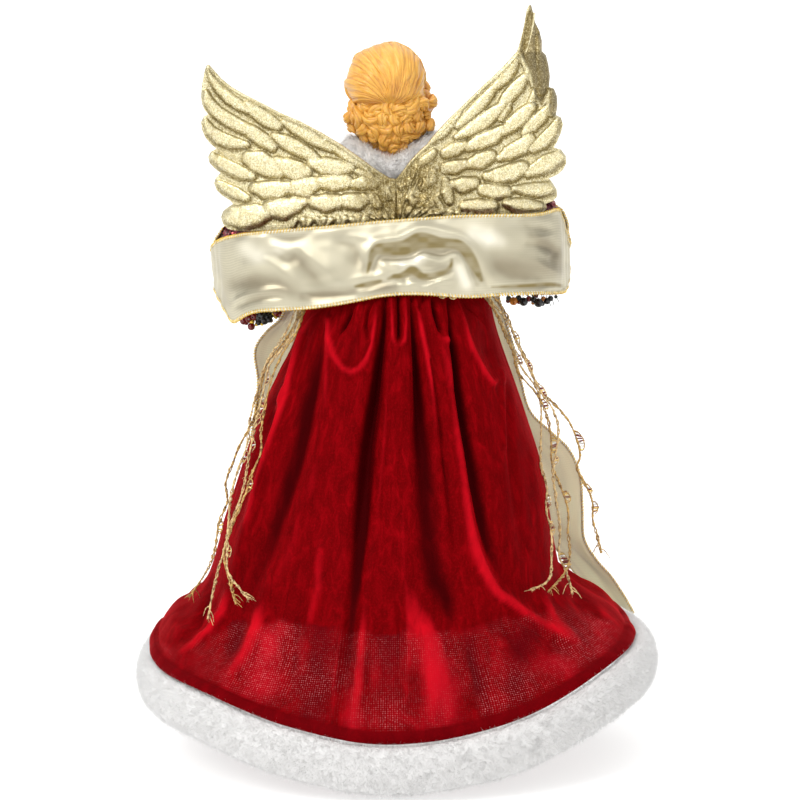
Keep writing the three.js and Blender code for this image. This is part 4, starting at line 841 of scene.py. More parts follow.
# folds seen on the back: lines of [x, y, height, half width] in the view plane
BACK_FOLDS = [
    [(324, 309, 0.4, 2.5), (311, 322, 1.5, 3), (302, 333, 2.0, 3.4), (297, 350, 2.2, 3.4), (290, 376, 2.2, 3.4), (284, 398, 2.2, 3.4), (276, 425, 2.0, 3.8), (266, 452, 1.8, 4), (258, 480, 1.6, 4.4), (248, 515, 1.4, 5), (240, 545, 1.0, 6), (232, 575, 0.6, 7)],
    [(286, 390, 0.6, 3), (279, 401, 1.4, 3), (271, 408, 0.6, 3)],
    [(298, 322, -1.2, 4), (287, 352, -2.0, 5), (276, 388, -2.0, 5), (266, 425, -1.8, 5), (256, 455, -1.6, 5), (247, 485, -1.2, 5), (238, 515, -0.8, 6)],
    [(324, 325, -0.8, 4), (316, 355, -2.6, 8), (308, 395, -3.4, 9.5), (300, 430, -3.6, 11), (290, 470, -3.4, 12), (278, 510, -3.0, 12), (264, 550, -2.4, 13), (252, 590, -1.4, 14)],
    [(328, 318, 0.6, 3), (326, 345, 1.2, 3.2), (326, 380, 1.2, 3.8), (324, 415, 0.7, 6), (316, 460, 0.7, 9), (302, 510, 0.9, 12), (288, 550, 1.0, 13), (276, 585, 0.8, 13)],
    [(328, 320, 0.9, 4), (329, 338, 1.4, 4.6), (334, 355, 1.6, 5.0), (343, 368, 1.7, 5.2), (351, 372, 1.7, 5.2), (359, 369, 1.6, 5.0), (366, 359, 1.6, 4.6), (371, 345, 1.6, 4.4), (375, 326, 1.5, 4.0), (376, 306, 0.9, 3.6)],
    [(354, 322, -1.4, 8), (353, 340, -2.1, 9), (353, 354, -1.6, 8)],
    [(354, 303, -1.0, 1.8), (349, 314, -2.4, 2.0), (342, 327, -2.6, 2.2), (335, 337, -0.8, 2.4)],
    [(374, 299, -1.0, 1.8), (367, 312, -2.2, 2.0), (365, 326, -2.2, 2.0), (369, 342, -1.6, 2.0), (364, 356, -0.5, 2.2)],
    [(340, 300, 0.6, 2.4), (333, 312, 0.9, 2.6)],
    [(361, 299, 0.8, 2.2), (357, 310, 1.0, 2.6), (352, 322, 0.5, 3)],
    [(385, 297, -2.0, 2.6), (384, 320, -3.8, 3.2), (382, 340, -5.0, 4), (379, 365, -6.0, 5.4), (376, 390, -6.6, 6.4), (372, 415, -6.6, 7), (367, 445, -6.2, 8), (364, 480, -5.6, 8.5), (361, 520, -5.0, 8.5), (358, 560, -4.2, 8), (353, 600, -3.4, 8), (349, 640, -2.6, 7), (345, 690, -1.8, 6), (344, 730, -0.8, 5)],
    [(387, 365, 0.9, 3), (386, 400, 0.9, 3), (384, 440, 0.9, 3), (381, 480, 0.9, 3.4), (377, 520, 1.0, 4)],
    [(391, 298, 0.9, 2.2), (392, 320, 1.4, 2.6), (393, 340, 1.4, 3.2), (398, 346, 1.2, 3.2), (405, 340, 1.4, 3.2), (406, 320, 1.4, 2.6), (405, 298, 0.9, 2.2)],
    [(398.5, 296, -2.6, 1.9), (399, 320, -3.6, 2.1), (399, 334, -3.4, 2.2), (399, 343, -0.4, 2.6)],
    [(411, 360, 0.8, 2.6), (411, 400, 0.8, 2.6), (410, 440, 0.7, 3), (407, 480, 0.7, 3)],
    [(412, 298, -1.8, 2.0), (413, 322, -3.0, 2.6), (415, 345, -4.4, 3.6), (417, 370, -5.6, 5.0), (419, 400, -5.4, 6.4), (421, 430, -4.6, 8), (424, 460, -3.8, 10), (426, 500, -3.2, 13), (430, 540, -3.0, 14), (437, 575, -3.4, 14), (447, 600, -3.2, 13), (454, 625, -1.6, 9)],
    [(416, 303, 0.8, 2.6), (421, 330, 1.6, 3.6), (426, 355, 1.9, 3.8), (431, 380, 1.6, 3.8), (434, 410, 1.2, 4.4), (436, 440, 0.9, 5)],
    [(424, 297, -1.4, 1.8), (420, 308, -1.2, 2.0)],
    [(430, 360, -0.6, 1.6), (437, 395, -1.8, 2.0), (441, 430, -2.0, 2.2), (445, 465, -2.0, 2.4), (450, 500, -1.8, 2.8), (455, 535, -1.3, 3.6), (458, 565, -0.6, 5)],
    [(433, 298, -2.0, 2.2), (436, 312, -3.4, 2.8), (441, 329, -2.6, 2.8), (445, 337, -0.4, 3)],
    [(440, 336, 0.9, 3), (447, 339, 1.6, 3.2), (453, 341, 1.2, 3)],
    [(428, 300, 0.8, 2.2), (431, 318, 1.0, 2.4), (435, 333, 0.8, 2.6)],
    [(443, 345, 0.8, 6), (448, 365, 1.2, 6.6), (453, 390, 1.4, 6.8), (457, 415, 1.5, 6.8), (461, 445, 1.5, 6.8), (465, 480, 1.6, 6.8), (469, 515, 1.7, 6.8), (475, 545, 2.0, 7.0), (484, 570, 2.3, 7.0), (497, 592, 2.5, 6.8), (515, 608, 2.4, 6.4), (540, 624, 2.1, 5.6), (565, 637, 1.5, 6.6), (585, 645, 0.8, 8)],
    [(449, 298, -1.6, 2.0), (452, 320, -2.8, 2.4), (454, 340, -4.4, 3.2), (457, 360, -5.4, 4.0), (460, 390, -5.8, 5.0), (465, 420, -5.6, 5.6), (471, 450, -5.0, 6.2), (477, 485, -4.2, 7), (484, 520, -3.5, 8), (493, 550, -2.8, 9), (506, 580, -1.8, 10)],
    [(455, 299, 0.8, 2.2), (462, 318, 1.3, 2.8), (467, 335, 1.6, 3.0), (472, 350, 1.7, 3.2), (480, 366, 1.9, 3.2), (487, 378, 1.9, 3.2), (493, 384, 1.5, 3.2), (498, 379, 0.5, 3)],
    [(484, 335, -0.8, 8), (489, 352, -1.5, 8), (493, 366, -0.8, 6)],
    [(463, 299, -0.9, 1.6), (469, 307, -1.6, 1.8), (479, 315, -1.0, 2.0), (487, 325, -0.4, 2.4)],
    [(465, 297, 0.5, 1.8), (473, 305, 0.9, 2.0), (481, 309, 0.4, 2.0)],
    [(503, 372, 0.7, 2.8), (505, 410, 0.9, 2.8), (506, 445, 0.7, 3)],
    [(508, 385, -0.9, 3.4), (510, 420, -1.5, 4), (511, 450, -1.4, 4), (514, 480, -1.3, 4.4), (518, 515, -1.1, 5), (524, 550, -0.8, 6)],
    [(533, 460, 0.7, 5), (540, 510, 0.9, 6), (544, 555, 0.7, 7)],
    # lower part and hem
    [(228, 592, 1.0, 5), (222, 613, 2.0, 5), (210, 631, 2.3, 5), (195, 645, 1.9, 5), (180, 655, 0.9, 6)],
    [(212, 575, -1.2, 4), (205, 603, -2.2, 4), (197, 623, -1.8, 4), (188, 636, -0.8, 5)],
    [(172, 618, 0.6, 7), (178, 632, 1.0, 8), (170, 645, 0.6, 8)],
    [(238, 628, -1.4, 9), (230, 645, -2.4, 10), (218, 660, -1.0, 9)],
    [(268, 570, 0.5, 8), (262, 602, 1.2, 7), (257, 627, 2.0, 7), (249, 647, 2.4, 7), (239, 664, 2.0, 8), (227, 678, 1.0, 9)],
    [(300, 600, -1.0, 8), (298, 630, -1.6, 9), (292, 655, -2.0, 8), (290, 680, -1.8, 6), (288, 702, -0.6, 6)],
    [(320, 545, 0.6, 6), (318, 590, 1.3, 6), (309, 620, 1.3, 6), (300, 650, 0.6, 5)],
    [(345, 600, 0.9, 4), (340, 640, 1.4, 4), (335, 680, 1.2, 4), (332, 720, 0.6, 4)],
    [(370, 545, 0.7, 7), (366, 590, 1.1, 8), (361, 635, 1.4, 9), (358, 680, 1.4, 10), (355, 715, 1.1, 10), (352, 737, 0.5, 9)],
    [(374, 640, -0.8, 4), (370, 690, -1.2, 5), (367, 722, -0.6, 5)],
    [(402, 500, 0.8, 3), (403, 540, 1.0, 3), (405, 580, 0.9, 3.4), (408, 620, 0.9, 4), (408, 660, 0.8, 4), (405, 700, 0.5, 5)],
    [(399, 600, -0.6, 3), (401, 640, -1.0, 3), (401, 680, -0.8, 4)],
    [(412, 590, 0.6, 8), (424, 630, 2.0, 14), (436, 680, 2.0, 18), (430, 722, 0.8, 20)],
    [(466, 625, -1.0, 5), (473, 655, -2.2, 5), (480, 685, -2.0, 5.6), (486, 715, -0.9, 6)],
    [(500, 622, -1.4, 8), (520, 645, -1.9, 9), (536, 662, -1.2, 9), (549, 672, -0.6, 8)],
    [(505, 606, -0.9, 4), (530, 626, -1.9, 4), (555, 642, -1.8, 4), (575, 656, -0.7, 5)],
    [(543, 590, 0.8, 6), (552, 616, 1.5, 6), (566, 632, 1.0, 7)],
    [(590, 600, 0.6, 6), (604, 616, 1.2, 6), (616, 626, 0.8, 7)],
    [(572, 585, -1.0, 6), (580, 604, -1.4, 7), (590, 622, -0.8, 7)],
]
SEAM = [(464, 620, 0.3, 1.3), (474, 638, 0.6, 1.3), (484, 664, 0.9, 1.3), (491, 690, 1.0, 1.4), (497, 719, 1.2, 1.6)]
# places low on the back painted darker between the folds (painted shade) and lighter on the ridges (painted highlight),
# [x, y, amount, half width]
KNIT_SHADE_ZONES = [
    [(233, 622, 0.9, 9), (236, 665, 0.7, 10)], [(320, 630, 1.0, 15), (317, 680, 1.0, 17), (312, 718, 0.6, 14)],
    [(389, 636, 1.0, 17), (388, 664, 0.9, 18), (386, 690, 0.5, 15)], [(524, 636, 1.0, 18), (519, 668, 1.0, 17), (513, 697, 0.7, 11)],
    [(472, 640, 0.6, 6), (483, 690, 0.7, 6), (493, 720, 0.5, 6)], [(566, 628, 0.5, 9), (584, 640, 0.4, 8)],
]
KNIT_HIGHLIGHT_ZONES = [
    [(266, 640, 0.9, 15), (262, 690, 0.9, 19)], [(432, 645, 0.9, 13), (440, 690, 1.0, 18), (440, 722, 0.6, 18)],
    [(352, 690, 0.5, 8), (352, 735, 0.8, 8)], [(556, 660, 0.7, 12), (575, 672, 0.6, 11)], [(400, 715, 0.6, 10), (420, 728, 0.5, 10)],
]
# where the open knit starts, [x, y]
KNIT_LINE = [(150, 640), (205, 640), (231, 617), (274, 621), (325, 626), (374, 631), (399, 632), (450, 628), (489, 622), (530, 612), (556, 604), (590, 606), (640, 640)]

nu, nv = 560, 170
deg = 360.0 * np.arange(nu) / nu
R0, Z0, D0 = skirt_rows(deg, nv)
TH = np.radians(deg)[:, None] * np.ones((1, nv))
hem_d = D0[:, -1:] - D0                                # distance up from the hem edge
X0, Y0 = R0 * np.cos(TH), R0 * np.sin(TH)
vx, vy = to_view(X0, Y0, Z0)
seen = smooth(-0.10, 0.16, np.sin(TH))                 # share of the back's own folds
h_back = relief(vx, vy, BACK_FOLDS)
# folds of the sides and front run down with the cloth
r = np.random.default_rng(5)
h_front = np.zeros_like(R0)
for k in range(17):
    c = -176 + 352 * (k + 0.5) / 17 + r.uniform(-5, 5)
    wob = 2.6 * noise3(D0 / 55.0, k, 3, 21) + (D0 / 215.0 - 0.3) * r.uniform(-5, 5)
    dd = (deg[:, None] - 270 - c + wob + 540) % 360 - 180
    w = r.uniform(3.6, 6.0) * (0.62 + 0.55 * np.clip(D0 / 215.0, 0, 1))
    a = r.uniform(2.2, 4.6) * smooth(0, 30, D0) * (1 - 0.45 * smooth(120, 215, D0))
    h_front += -a * np.exp(-(dd / w) ** 2) + 0.28 * a * (np.exp(-((dd - 1.7 * w) / (0.8 * w)) ** 2) + np.exp(-((dd + 1.7 * w) / (0.8 * w)) ** 2))
top = smooth(34, 4, D0)
gath = 0.75 * np.sin(np.radians(deg)[:, None] * 64 + 3.0 * noise3(np.cos(TH) * 4, np.sin(TH) * 4, D0 / 30, 9)) * top
h_front += gath
h = lerp(h_front, 1.3 * h_back + 0.35 * gath, seen)
# slow swells and small uneven places of a soft pile cloth
h += 0.55 * fbm(X0 / 26, Y0 / 26, Z0 / 48, 3, 31) * smooth(0, 25, D0)
h += 0.16 * fbm(X0 / 5.5, Y0 / 5.5, Z0 / 9, 2, 33) * smooth(0, 10, D0)
# crossways creases low on the back, where the cloth has been folded
h += 0.30 * noise3(vx / 30, vy / 7.0, 0, 35) * smooth(560, 620, vy) * seen
ds, (sa, sw), sd = nearest(vx, vy, SEAM)
seam = np.exp(-(ds / sw) ** 2) * sa * seen
h += -0.8 * seam + 0.5 * sa * seen * np.where(sd > 0, 0, np.exp(-ds / 9))
# turned-up hem: a soft roll, the cloth folded back on itself
band = np.clip(1 - ((hem_d - 3.0) / 3.4) ** 2, 0, 1) ** 0.5
h += 1.1 * band - 0.7 * np.exp(-((hem_d - 6.9) / 0.9) ** 2)
lean = np.gradient(R0, axis=1) / np.maximum(np.hypot(np.gradient(R0, axis=1), np.gradient(Z0, axis=1)), 1e-6)
nr = np.sqrt(np.clip(1 - lean ** 2, 0.05, 1))          # outward share of the cloth's normal
R1 = R0 - 0.4 + h * nr
Z1 = Z0 + h * lean * 0.85
lim = np.where((Z1 < 168) & (Z1 > -2), CONE_R(Z1) + 1.0, 0)
R1 = np.maximum(R1, lim)
V = np.stack([R1 * np.cos(TH), R1 * np.sin(TH), Z1], -1).reshape(-1, 3)
knit_y = np.interp(vx, [p[0] for p in KNIT_LINE], [p[1] for p in KNIT_LINE])
knit = smooth(0, 9, vy - knit_y + 5 * noise3(vx / 14, vy / 14, 0, 41)) * seen * smooth(5.5, 8.5, hem_d)
knit *= np.clip(0.62 + 0.75 * noise3(vx / 26, vy / 34, 0, 43), 0.12, 1) * (1 - 0.75 * smooth(0.9, 2.0, h_back))
uv = np.stack([TH * 95.0 * MM, D0 * MM], -1).reshape(-1, 2)
dn = noise3(vx / 9, vy / 40, 2, 45)
# painted shade in the fold valleys, taken from the fold heights
valley_shade = np.clip(smooth(0.7, 3.4, -h_back + 0.35 * dn) * seen + smooth(0.8, 3.2, -h_front) * (1 - seen), 0, 1) * smooth(4, 14, hem_d)
# painted highlight along the fold crests
crest_highlight = np.clip(smooth(0.55, 2.1, h_back + 0.3 * dn) * seen + smooth(0.4, 1.4, h_front) * (1 - seen) * 0.6, 0, 1) * smooth(6, 12, hem_d)
# zones of painted shade between the folds and painted highlight on the ridges of the open knit, with a random wobble
knit_zone_wobble = 0.35 * noise3(vx / 15, vy / 19, 0, 47)
thin = np.clip(relief(vx, vy, KNIT_SHADE_ZONES) + knit_zone_wobble - 0.10, 0, 1) * (knit > 0.02)
full = np.clip(relief(vx, vy, KNIT_HIGHLIGHT_ZONES) - knit_zone_wobble - 0.10, 0, 1) * (knit > 0.02) * (1 - thin)
# thin carries painted shade and full carries painted highlight of the open knit
attrs = {"thin": thin, "full": full, "knit": knit, "hem_turn_shade": smooth(6.6, 5.8, hem_d), "valley_shade": valley_shade, "crest_highlight": crest_highlight}
F = grid_faces(nu, nv, wrap_u=True)[:, ::-1]
skirt = make("skirt_velvet", V, F, VELVET, uv=None, attrs=attrs)
# the pattern's own coordinates run on past the closing seam
layer = skirt.data.uv_layers.new(name="cloth")
vi = np.zeros(len(skirt.data.loops), np.int32)
skirt.data.loops.foreach_get("vertex_index", vi)
luv = uv[vi]
poly = np.repeat(np.arange(len(skirt.data.polygons)), 4)
wrapped = np.zeros(len(skirt.data.polygons), bool)
u_loop = luv[:, 0].reshape(-1, 4)
wrapped = (u_loop.max(1) - u_loop.min(1)) > 0.3
u_loop[wrapped] = np.where(u_loop[wrapped] < 0.1, u_loop[wrapped] + 2 * np.pi * 95.0 * MM, u_loop[wrapped])
luv[:, 0] = u_loop.ravel()
layer.data.foreach_set("uv", luv.ravel())
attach(skirt, "base")
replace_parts(skirt, "velvet_skirt")


# ------------------------------------------------------------------ fur
def strands(P, N, length, width, seed, bias=(0, 0, 0), clump=6.0, lay=0.55, rnd=0.30):
    """Short tapered fibres from roots P with normals N."""
    r = np.random.default_rng(seed)
    k = len(P)
    c = np.stack([noise3(P[:, 0] / clump, P[:, 1] / clump, P[:, 2] / clump, seed + j) for j in range(3)], -1)
    c2 = np.stack([noise3(P[:, 0] / 2.2, P[:, 1] / 2.2, P[:, 2] / 2.2, seed + 9 + j) for j in range(3)], -1)
    d0 = unit(N + lay * c + 0.16 * c2 + rnd * r.normal(0, 1, (k, 3)) + np.asarray(bias))
    dot = np.sum(d0 * N, 1, keepdims=True)
    d0 = unit(d0 + np.maximum(0.25 - dot, 0) * N)
    L = length * (1 + 0.28 * r.normal(0, 1, (k, 1))).clip(0.35, 1.7)
    d1 = unit(d0 + 0.45 * r.normal(0, 1, (k, 3)) + 0.3 * c + 0.5 * np.asarray(bias))
    a = unit(np.cross(d0, r.normal(0, 1, (k, 3))))
    b = np.cross(d0, a)
    w = width * (1 + 0.25 * r.normal(0, 1, (k, 1))).clip(0.5, 1.6) / 2
    mid = P + d0 * L * 0.5
    tip = mid + d1 * L * 0.55
    V = np.zeros((k, 7, 3))
    for j in range(3):
        q = 2 * np.pi * j / 3
        o = np.cos(q) * a + np.sin(q) * b
        V[:, j] = P - d0 * 0.4 + o * w
        V[:, 3 + j] = mid + o * w * 0.72
    V[:, 6] = tip
    base = (np.arange(k) * 7)[:, None, None]
    quads = (np.array([[0, 1, 4, 3], [1, 2, 5, 4], [2, 0, 3, 5]])[None] + base).reshape(-1, 4)
    tris = (np.array([[3, 4, 6], [4, 5, 6], [5, 3, 6]])[None] + base).reshape(-1, 3)
    return V.reshape(-1, 3), [quads, tris]


def fur_ring(center, half_t, half_h, tilt, n, m, lump, seed):
    """Closed fur band: center(deg) -> (R, Z), lumpy tube; returns grid points and normals."""
    deg = 360.0 * np.arange(n) / n
    R, Z = center(deg)
    th = np.radians(deg)[:, None]
    b = (2 * np.pi * np.arange(m) / m)[None, :]
    u, v = half_t * np.cos(b), half_h * np.sin(b)
    rr = R[:, None] + u * 0.97 - v * tilt
    zz = Z[:, None] + v + u * 0.1
    P = np.stack([rr * np.cos(th), rr * np.sin(th), zz * np.ones_like(rr)], -1)
    nu_, nv_ = np.cos(b) / half_t, np.sin(b) / half_h
    ln = np.hypot(nu_, nv_)
    nr_, nz_ = nu_ / ln * np.ones_like(rr), nv_ / ln * np.ones_like(rr)
    N = unit(np.stack([nr_ * np.cos(th), nr_ * np.sin(th), nz_], -1))
    d = lump * fbm(P[..., 0] / 7.5, P[..., 1] / 7.5, P[..., 2] / 7.5, 3, seed)
    return P + N * d[..., None], N


def ring_roots(P, N, count, seed, weight=None):
    """Random roots spread evenly over a closed grid."""
    n, m = P.shape[:2]
    P1, P2 = np.roll(P, -1, 0), np.roll(P, -1, 1)
    area = np.linalg.norm(np.cross(P1 - P, P2 - P), axis=-1)
    if weight is not None:
        area = area * weight
    r = np.random.default_rng(seed)
    idx = r.choice(n * m, count, p=(area / area.sum()).ravel())
    i, j = idx // m, idx % m
    s, t = r.random((count, 1)), r.random((count, 1))
    i2, j2 = (i + 1) % n, (j + 1) % m
    Q = P[i, j] * (1 - s) * (1 - t) + P[i2, j] * s * (1 - t) + P[i, j2] * (1 - s) * t + P[i2, j2] * s * t
    return Q, unit(N[i, j] * (1 - t) + N[i, j2] * t)


def hem_center(deg):
    R, Z = periodic(HEM, deg)
    c = np.cos(np.radians(deg))
    back = np.clip(np.sin(np.radians(deg)), 0, 1)
    return R + 0.6 - 3.4 * np.clip(c, 0, 1) ** 2 + 1.4 * np.clip(-c, 0, 1) ** 2, Z - 12.0 - 0.2 * back


P, N = fur_ring(hem_center, 6.9, 11.0, 0.12, 460, 44, 0.7, 61)
F = grid_faces(P.shape[0], P.shape[1], wrap_u=True, wrap_v=True)
fur_base = make("fur_hem_pile", P.reshape(-1, 3), F, FUR, outward=True)
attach(fur_base, "base")
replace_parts(fur_base, "fur_hem")
fur_parts = []
FUR_COUNT = 140000
Q, QN = ring_roots(P, N, FUR_COUNT, 62)
q_deg = np.degrees(np.arctan2(Q[:, 1], Q[:, 0])) % 360
for k in range(8):
    m = (q_deg >= 45 * k) & (q_deg < 45 * (k + 1))
    V, F = strands(Q[m], QN[m], 2.3, 0.115, 63, bias=(0, 0, -0.11), clump=1.8, lay=0.20, rnd=0.44)
    ob = make("fur_hem_fibres_%d" % (k + 1), V, F, FUR)
    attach(ob, "base")
    fur_parts.append(ob)


# ------------------------------------------------------------------ wings
def wing_y(x, z):
    return 33.0 - (1 - 0.8 * smooth(200, 250, z)) * 16.6 * (np.minimum(np.abs(x), 84) / 80) ** 3.2


# outlines in the view plane: leading edge from the notch to the tip, then the feathered edge back in
LEFT_LEAD = [(396, 179), (390, 178), (380, 172), (370, 165), (360, 157.5), (350, 150.5), (340, 143.5), (320, 131.5), (300, 121), (280, 112.5), (262, 103),
             (245, 94.5), (232, 87), (222, 79), (214, 70), (209.5, 65)]
LEFT_TRAIL = [(207, 64.5), (205, 69), (203.5, 77), (202, 84), (201.5, 90), (201, 97), (202, 104), (204.5, 110), (208, 114), (203.5, 117), (201, 122), (202, 130), (205, 137), (210, 143.5),
              (216, 148.5), (210.5, 152), (208, 157), (209.5, 163), (214, 168), (220.5, 173), (216, 177.5), (214, 183), (216.5, 190), (222, 195.5), (230, 200.5), (233, 204), (228, 207), (223, 211),
              (221, 217), (223, 224), (228, 229), (236, 231), (250, 231.5), (270, 231.5), (300, 231), (340, 230.5), (370, 229.5), (396, 228.5)]
RIGHT_LEAD = [(396, 179), (401, 173), (410, 160.5), (420, 150), (427, 144), (432, 137), (440, 128), (450, 117.5), (460, 108), (470, 98), (480, 88.5), (490, 79), (500, 69.5), (510, 59),
              (517, 51), (520, 42), (523, 30), (525, 20), (526.5, 10), (529, 5)]
RIGHT_TRAIL = [(531, 4.5), (533, 12), (535, 22), (539.5, 31), (542, 41), (542, 51), (546, 55), (548.5, 65), (550, 76), (549, 87), (554, 88.5), (557, 96), (557.5, 105), (556, 115), (561, 117.5), (563, 124),
               (561, 133), (557, 142), (554, 147.5), (561, 149.5), (566, 156), (566.5, 163), (563, 170), (557, 175), (549, 178.5), (553, 183), (557, 190), (557, 197), (553, 201), (546, 204),
               (547, 208), (543, 212.5), (532, 215), (510, 217.5), (480, 219.5), (440, 222), (420, 225), (396, 228.5)]
# raised lobes: centre lines of [x, y, radius] from the outer end inwards
LEFT_LOBES = [
    [(208, 69, 2.2), (212, 79, 3.8), (220, 90, 5.2), (230, 99, 6.0), (240, 106, 5.6), (249, 111, 4.0)],
    [(206, 92, 3.0), (209, 102, 5.4), (218, 113, 6.6), (230, 121, 7.0), (243, 128, 6.4), (256, 135, 4.4)],
    [(206, 122, 3.4), (211, 131, 5.6), (221, 139, 7.0), (233, 143, 6.6), (246, 145, 4.2)],
    [(213, 157, 4.4), (222, 163, 6.4), (233, 169, 7.2), (244, 174, 6.4), (252, 177, 4.2)],
    [(219, 183, 3.6), (226, 188, 5.4), (236, 193, 6.2), (246, 198, 4.6)],
    [(233, 216, 9.6), (244, 217, 12.2), (256, 215, 11.2), (266, 213, 8)],
    [(270, 209, 8.6), (283, 209, 10.8), (295, 205, 8.6), (304, 202, 5)],
    [(247, 104, 3.6), (256, 112, 6.8), (267, 120, 7.6), (277, 126, 5.8)],
    [(243, 125, 4.4), (252, 132, 7.2), (263, 140, 7.6), (272, 147, 5.4)],
    [(284, 122, 3.8), (296, 129, 6.2), (310, 137, 6.8), (322, 144, 5.6), (331, 149, 3.6)],
    [(274, 136, 4.4), (284, 141, 7.4), (297, 148, 8.0), (310, 155, 6.4), (319, 160, 3.8)],
    [(326, 140, 3.0), (336, 148, 5.2), (347, 156, 5.8), (358, 163, 4.8), (367, 170, 3.2)],
    [(249, 158, 7.4), (259, 162, 11.4), (270, 168, 10), (279, 174, 5.4)],
    [(277, 161, 5.4), (287, 167, 9.8), (297, 171, 10.4), (306, 172, 6.4)],
    [(312, 163, 5.8), (325, 166, 9.2), (338, 168, 8.8), (350, 168, 5.6)],
    [(255, 188, 6.0), (266, 190, 9.2), (278, 190, 9.6), (288, 187, 6.4)],
    [(295, 188, 8.4), (305, 188, 10.4), (314, 184, 7.6)],
    [(321, 182, 6.4), (333, 183, 8.4), (346, 182, 7.4)],
    [(315, 202, 7.0), (326, 203, 9.6), (337, 202, 7.8)],
    [(347, 201, 8.0), (357, 202, 9.0), (365, 199, 6.2)],
    [(355, 184, 5.8), (364, 183, 7.2), (374, 184, 5.4)],
    [(372, 198, 5.0), (378, 204, 5.4), (384, 198, 4.2)], [(358, 172, 3.6), (368, 176, 4.6), (378, 181, 3.6)],
]
RIGHT_LOBES = [
    [(497, 84, 3.2), (489, 94, 5.6), (479, 106, 6.6), (468, 117, 5.8), (458, 126, 3.8)],
    [(450, 124, 2.2), (441, 133, 3.2), (433, 142, 2.6)], [(461, 114, 2.2), (452, 124, 3.6), (446, 132, 3.4), (440, 138, 2.4)],
    [(517, 59, 3.8), (511, 69, 6.4), (503, 79, 6.8), (495, 87, 4.4)],
    [(525, 77, 4.8), (517, 87, 7.2), (508, 97, 7.0), (500, 106, 4.2)],
    [(504, 104, 4.6), (494, 113, 7.2), (482, 123, 8.0), (469, 131, 6.4), (457, 137, 4.0)],
    [(511, 101, 2.6), (507, 110, 3.8), (501, 119, 3.6)],
    [(531, 107, 5.8), (522, 116, 8.4), (512, 125, 7.6), (503, 133, 4.2)],
    [(502, 130, 5.8), (492, 137, 8.4), (480, 142, 8.2), (468, 147, 5.2)],
    [(465, 145, 5.2), (455, 149, 7.4), (446, 153, 6.0)],
    [(548, 107, 4.0), (541, 117, 6.8), (532, 126, 6.6), (524, 133, 4.0)],
    [(557, 121, 3.6), (552, 132, 6.6), (543, 142, 7.4), (533, 149, 5.0)],
    [(530, 139, 6.0), (521, 147, 8.6), (509, 153, 7.6), (500, 158, 4.2)],
    [(490, 156, 6.8), (480, 161, 8.8), (469, 164, 5.4)],
    [(465, 164, 5.4), (455, 167, 7.4), (446, 168, 6.4)],
    [(559, 157, 6.8), (548, 163, 9.2), (537, 169, 7.6), (528, 174, 4.4)],
    [(522, 168, 7.6), (511, 173, 9.4), (498, 176, 8.2), (487, 176, 5.0)],
    [(550, 188, 6.4), (538, 190, 8.0), (526, 190, 6.6), (515, 189, 3.8)],
    [(506, 192, 6.6), (495, 192, 8.4), (484, 190, 6.8)],
    [(474, 183, 6.4), (463, 185, 8.4), (454, 184, 5.0)],
    [(539, 207, 5.6), (527, 206, 8.0), (515, 205, 7.0), (506, 203, 4.2)],
    [(492, 206, 6.6), (478, 206, 7.6), (465, 206, 6.0)],
    [(446, 182, 4.6), (447, 192, 6.4), (449, 200, 5.2)], [(437, 200, 3.4), (441, 208, 3.8), (446, 216, 3.0)],
    [(529.5, 12, 1.8), (530.5, 28, 4.2), (530, 46, 5.6), (531, 64, 6.0), (535, 84, 5.0)],
    [(538, 37, 2.6), (540, 55, 4.6), (541, 75, 5.4), (541, 92, 4.2)],
    [(546, 60, 2.2), (547, 74, 3.2), (546, 86, 2.6)],
    [(553, 93, 3.0), (553, 104, 3.8), (551, 114, 3.4)],
    [(521, 52, 2.0), (524, 62, 3.6), (528, 72, 3.0)], [(534, 92, 3.0), (532, 100, 4.0), (528, 106, 3.0)],
    [(402, 186, 5.0), (408, 178, 5.6), (415, 168, 4.8)], [(421, 163, 4.6), (428, 158, 5.2), (434, 152, 3.6)],
    [(423, 186, 5.2), (430, 180, 5.4), (434, 172, 4.0)], [(409, 199, 4.4), (417, 203, 5.0), (424, 199, 4.2)],
]
PUCKERS_L = [[(x, 219.5 + 0.8 * ((i * 7) % 3) - 0.030 * (x - 300), 3.0 + 0.5 * ((i * 5) % 3)), (x + 1.5 * (((i * 3) % 5) - 2), 226 - 0.030 * (x - 300), 2.6)] for i, x in enumerate(range(296, 396, 7))]
PUCKERS_R = [[(x, 212.5 + 0.8 * ((i * 7) % 3) - 0.012 * (x - 396), 3.0 + 0.5 * ((i * 5) % 3)), (x + 1.5 * (((i * 3) % 5) - 2), 220 - 0.012 * (x - 396), 2.6)] for i, x in enumerate(range(402, 500, 7))]


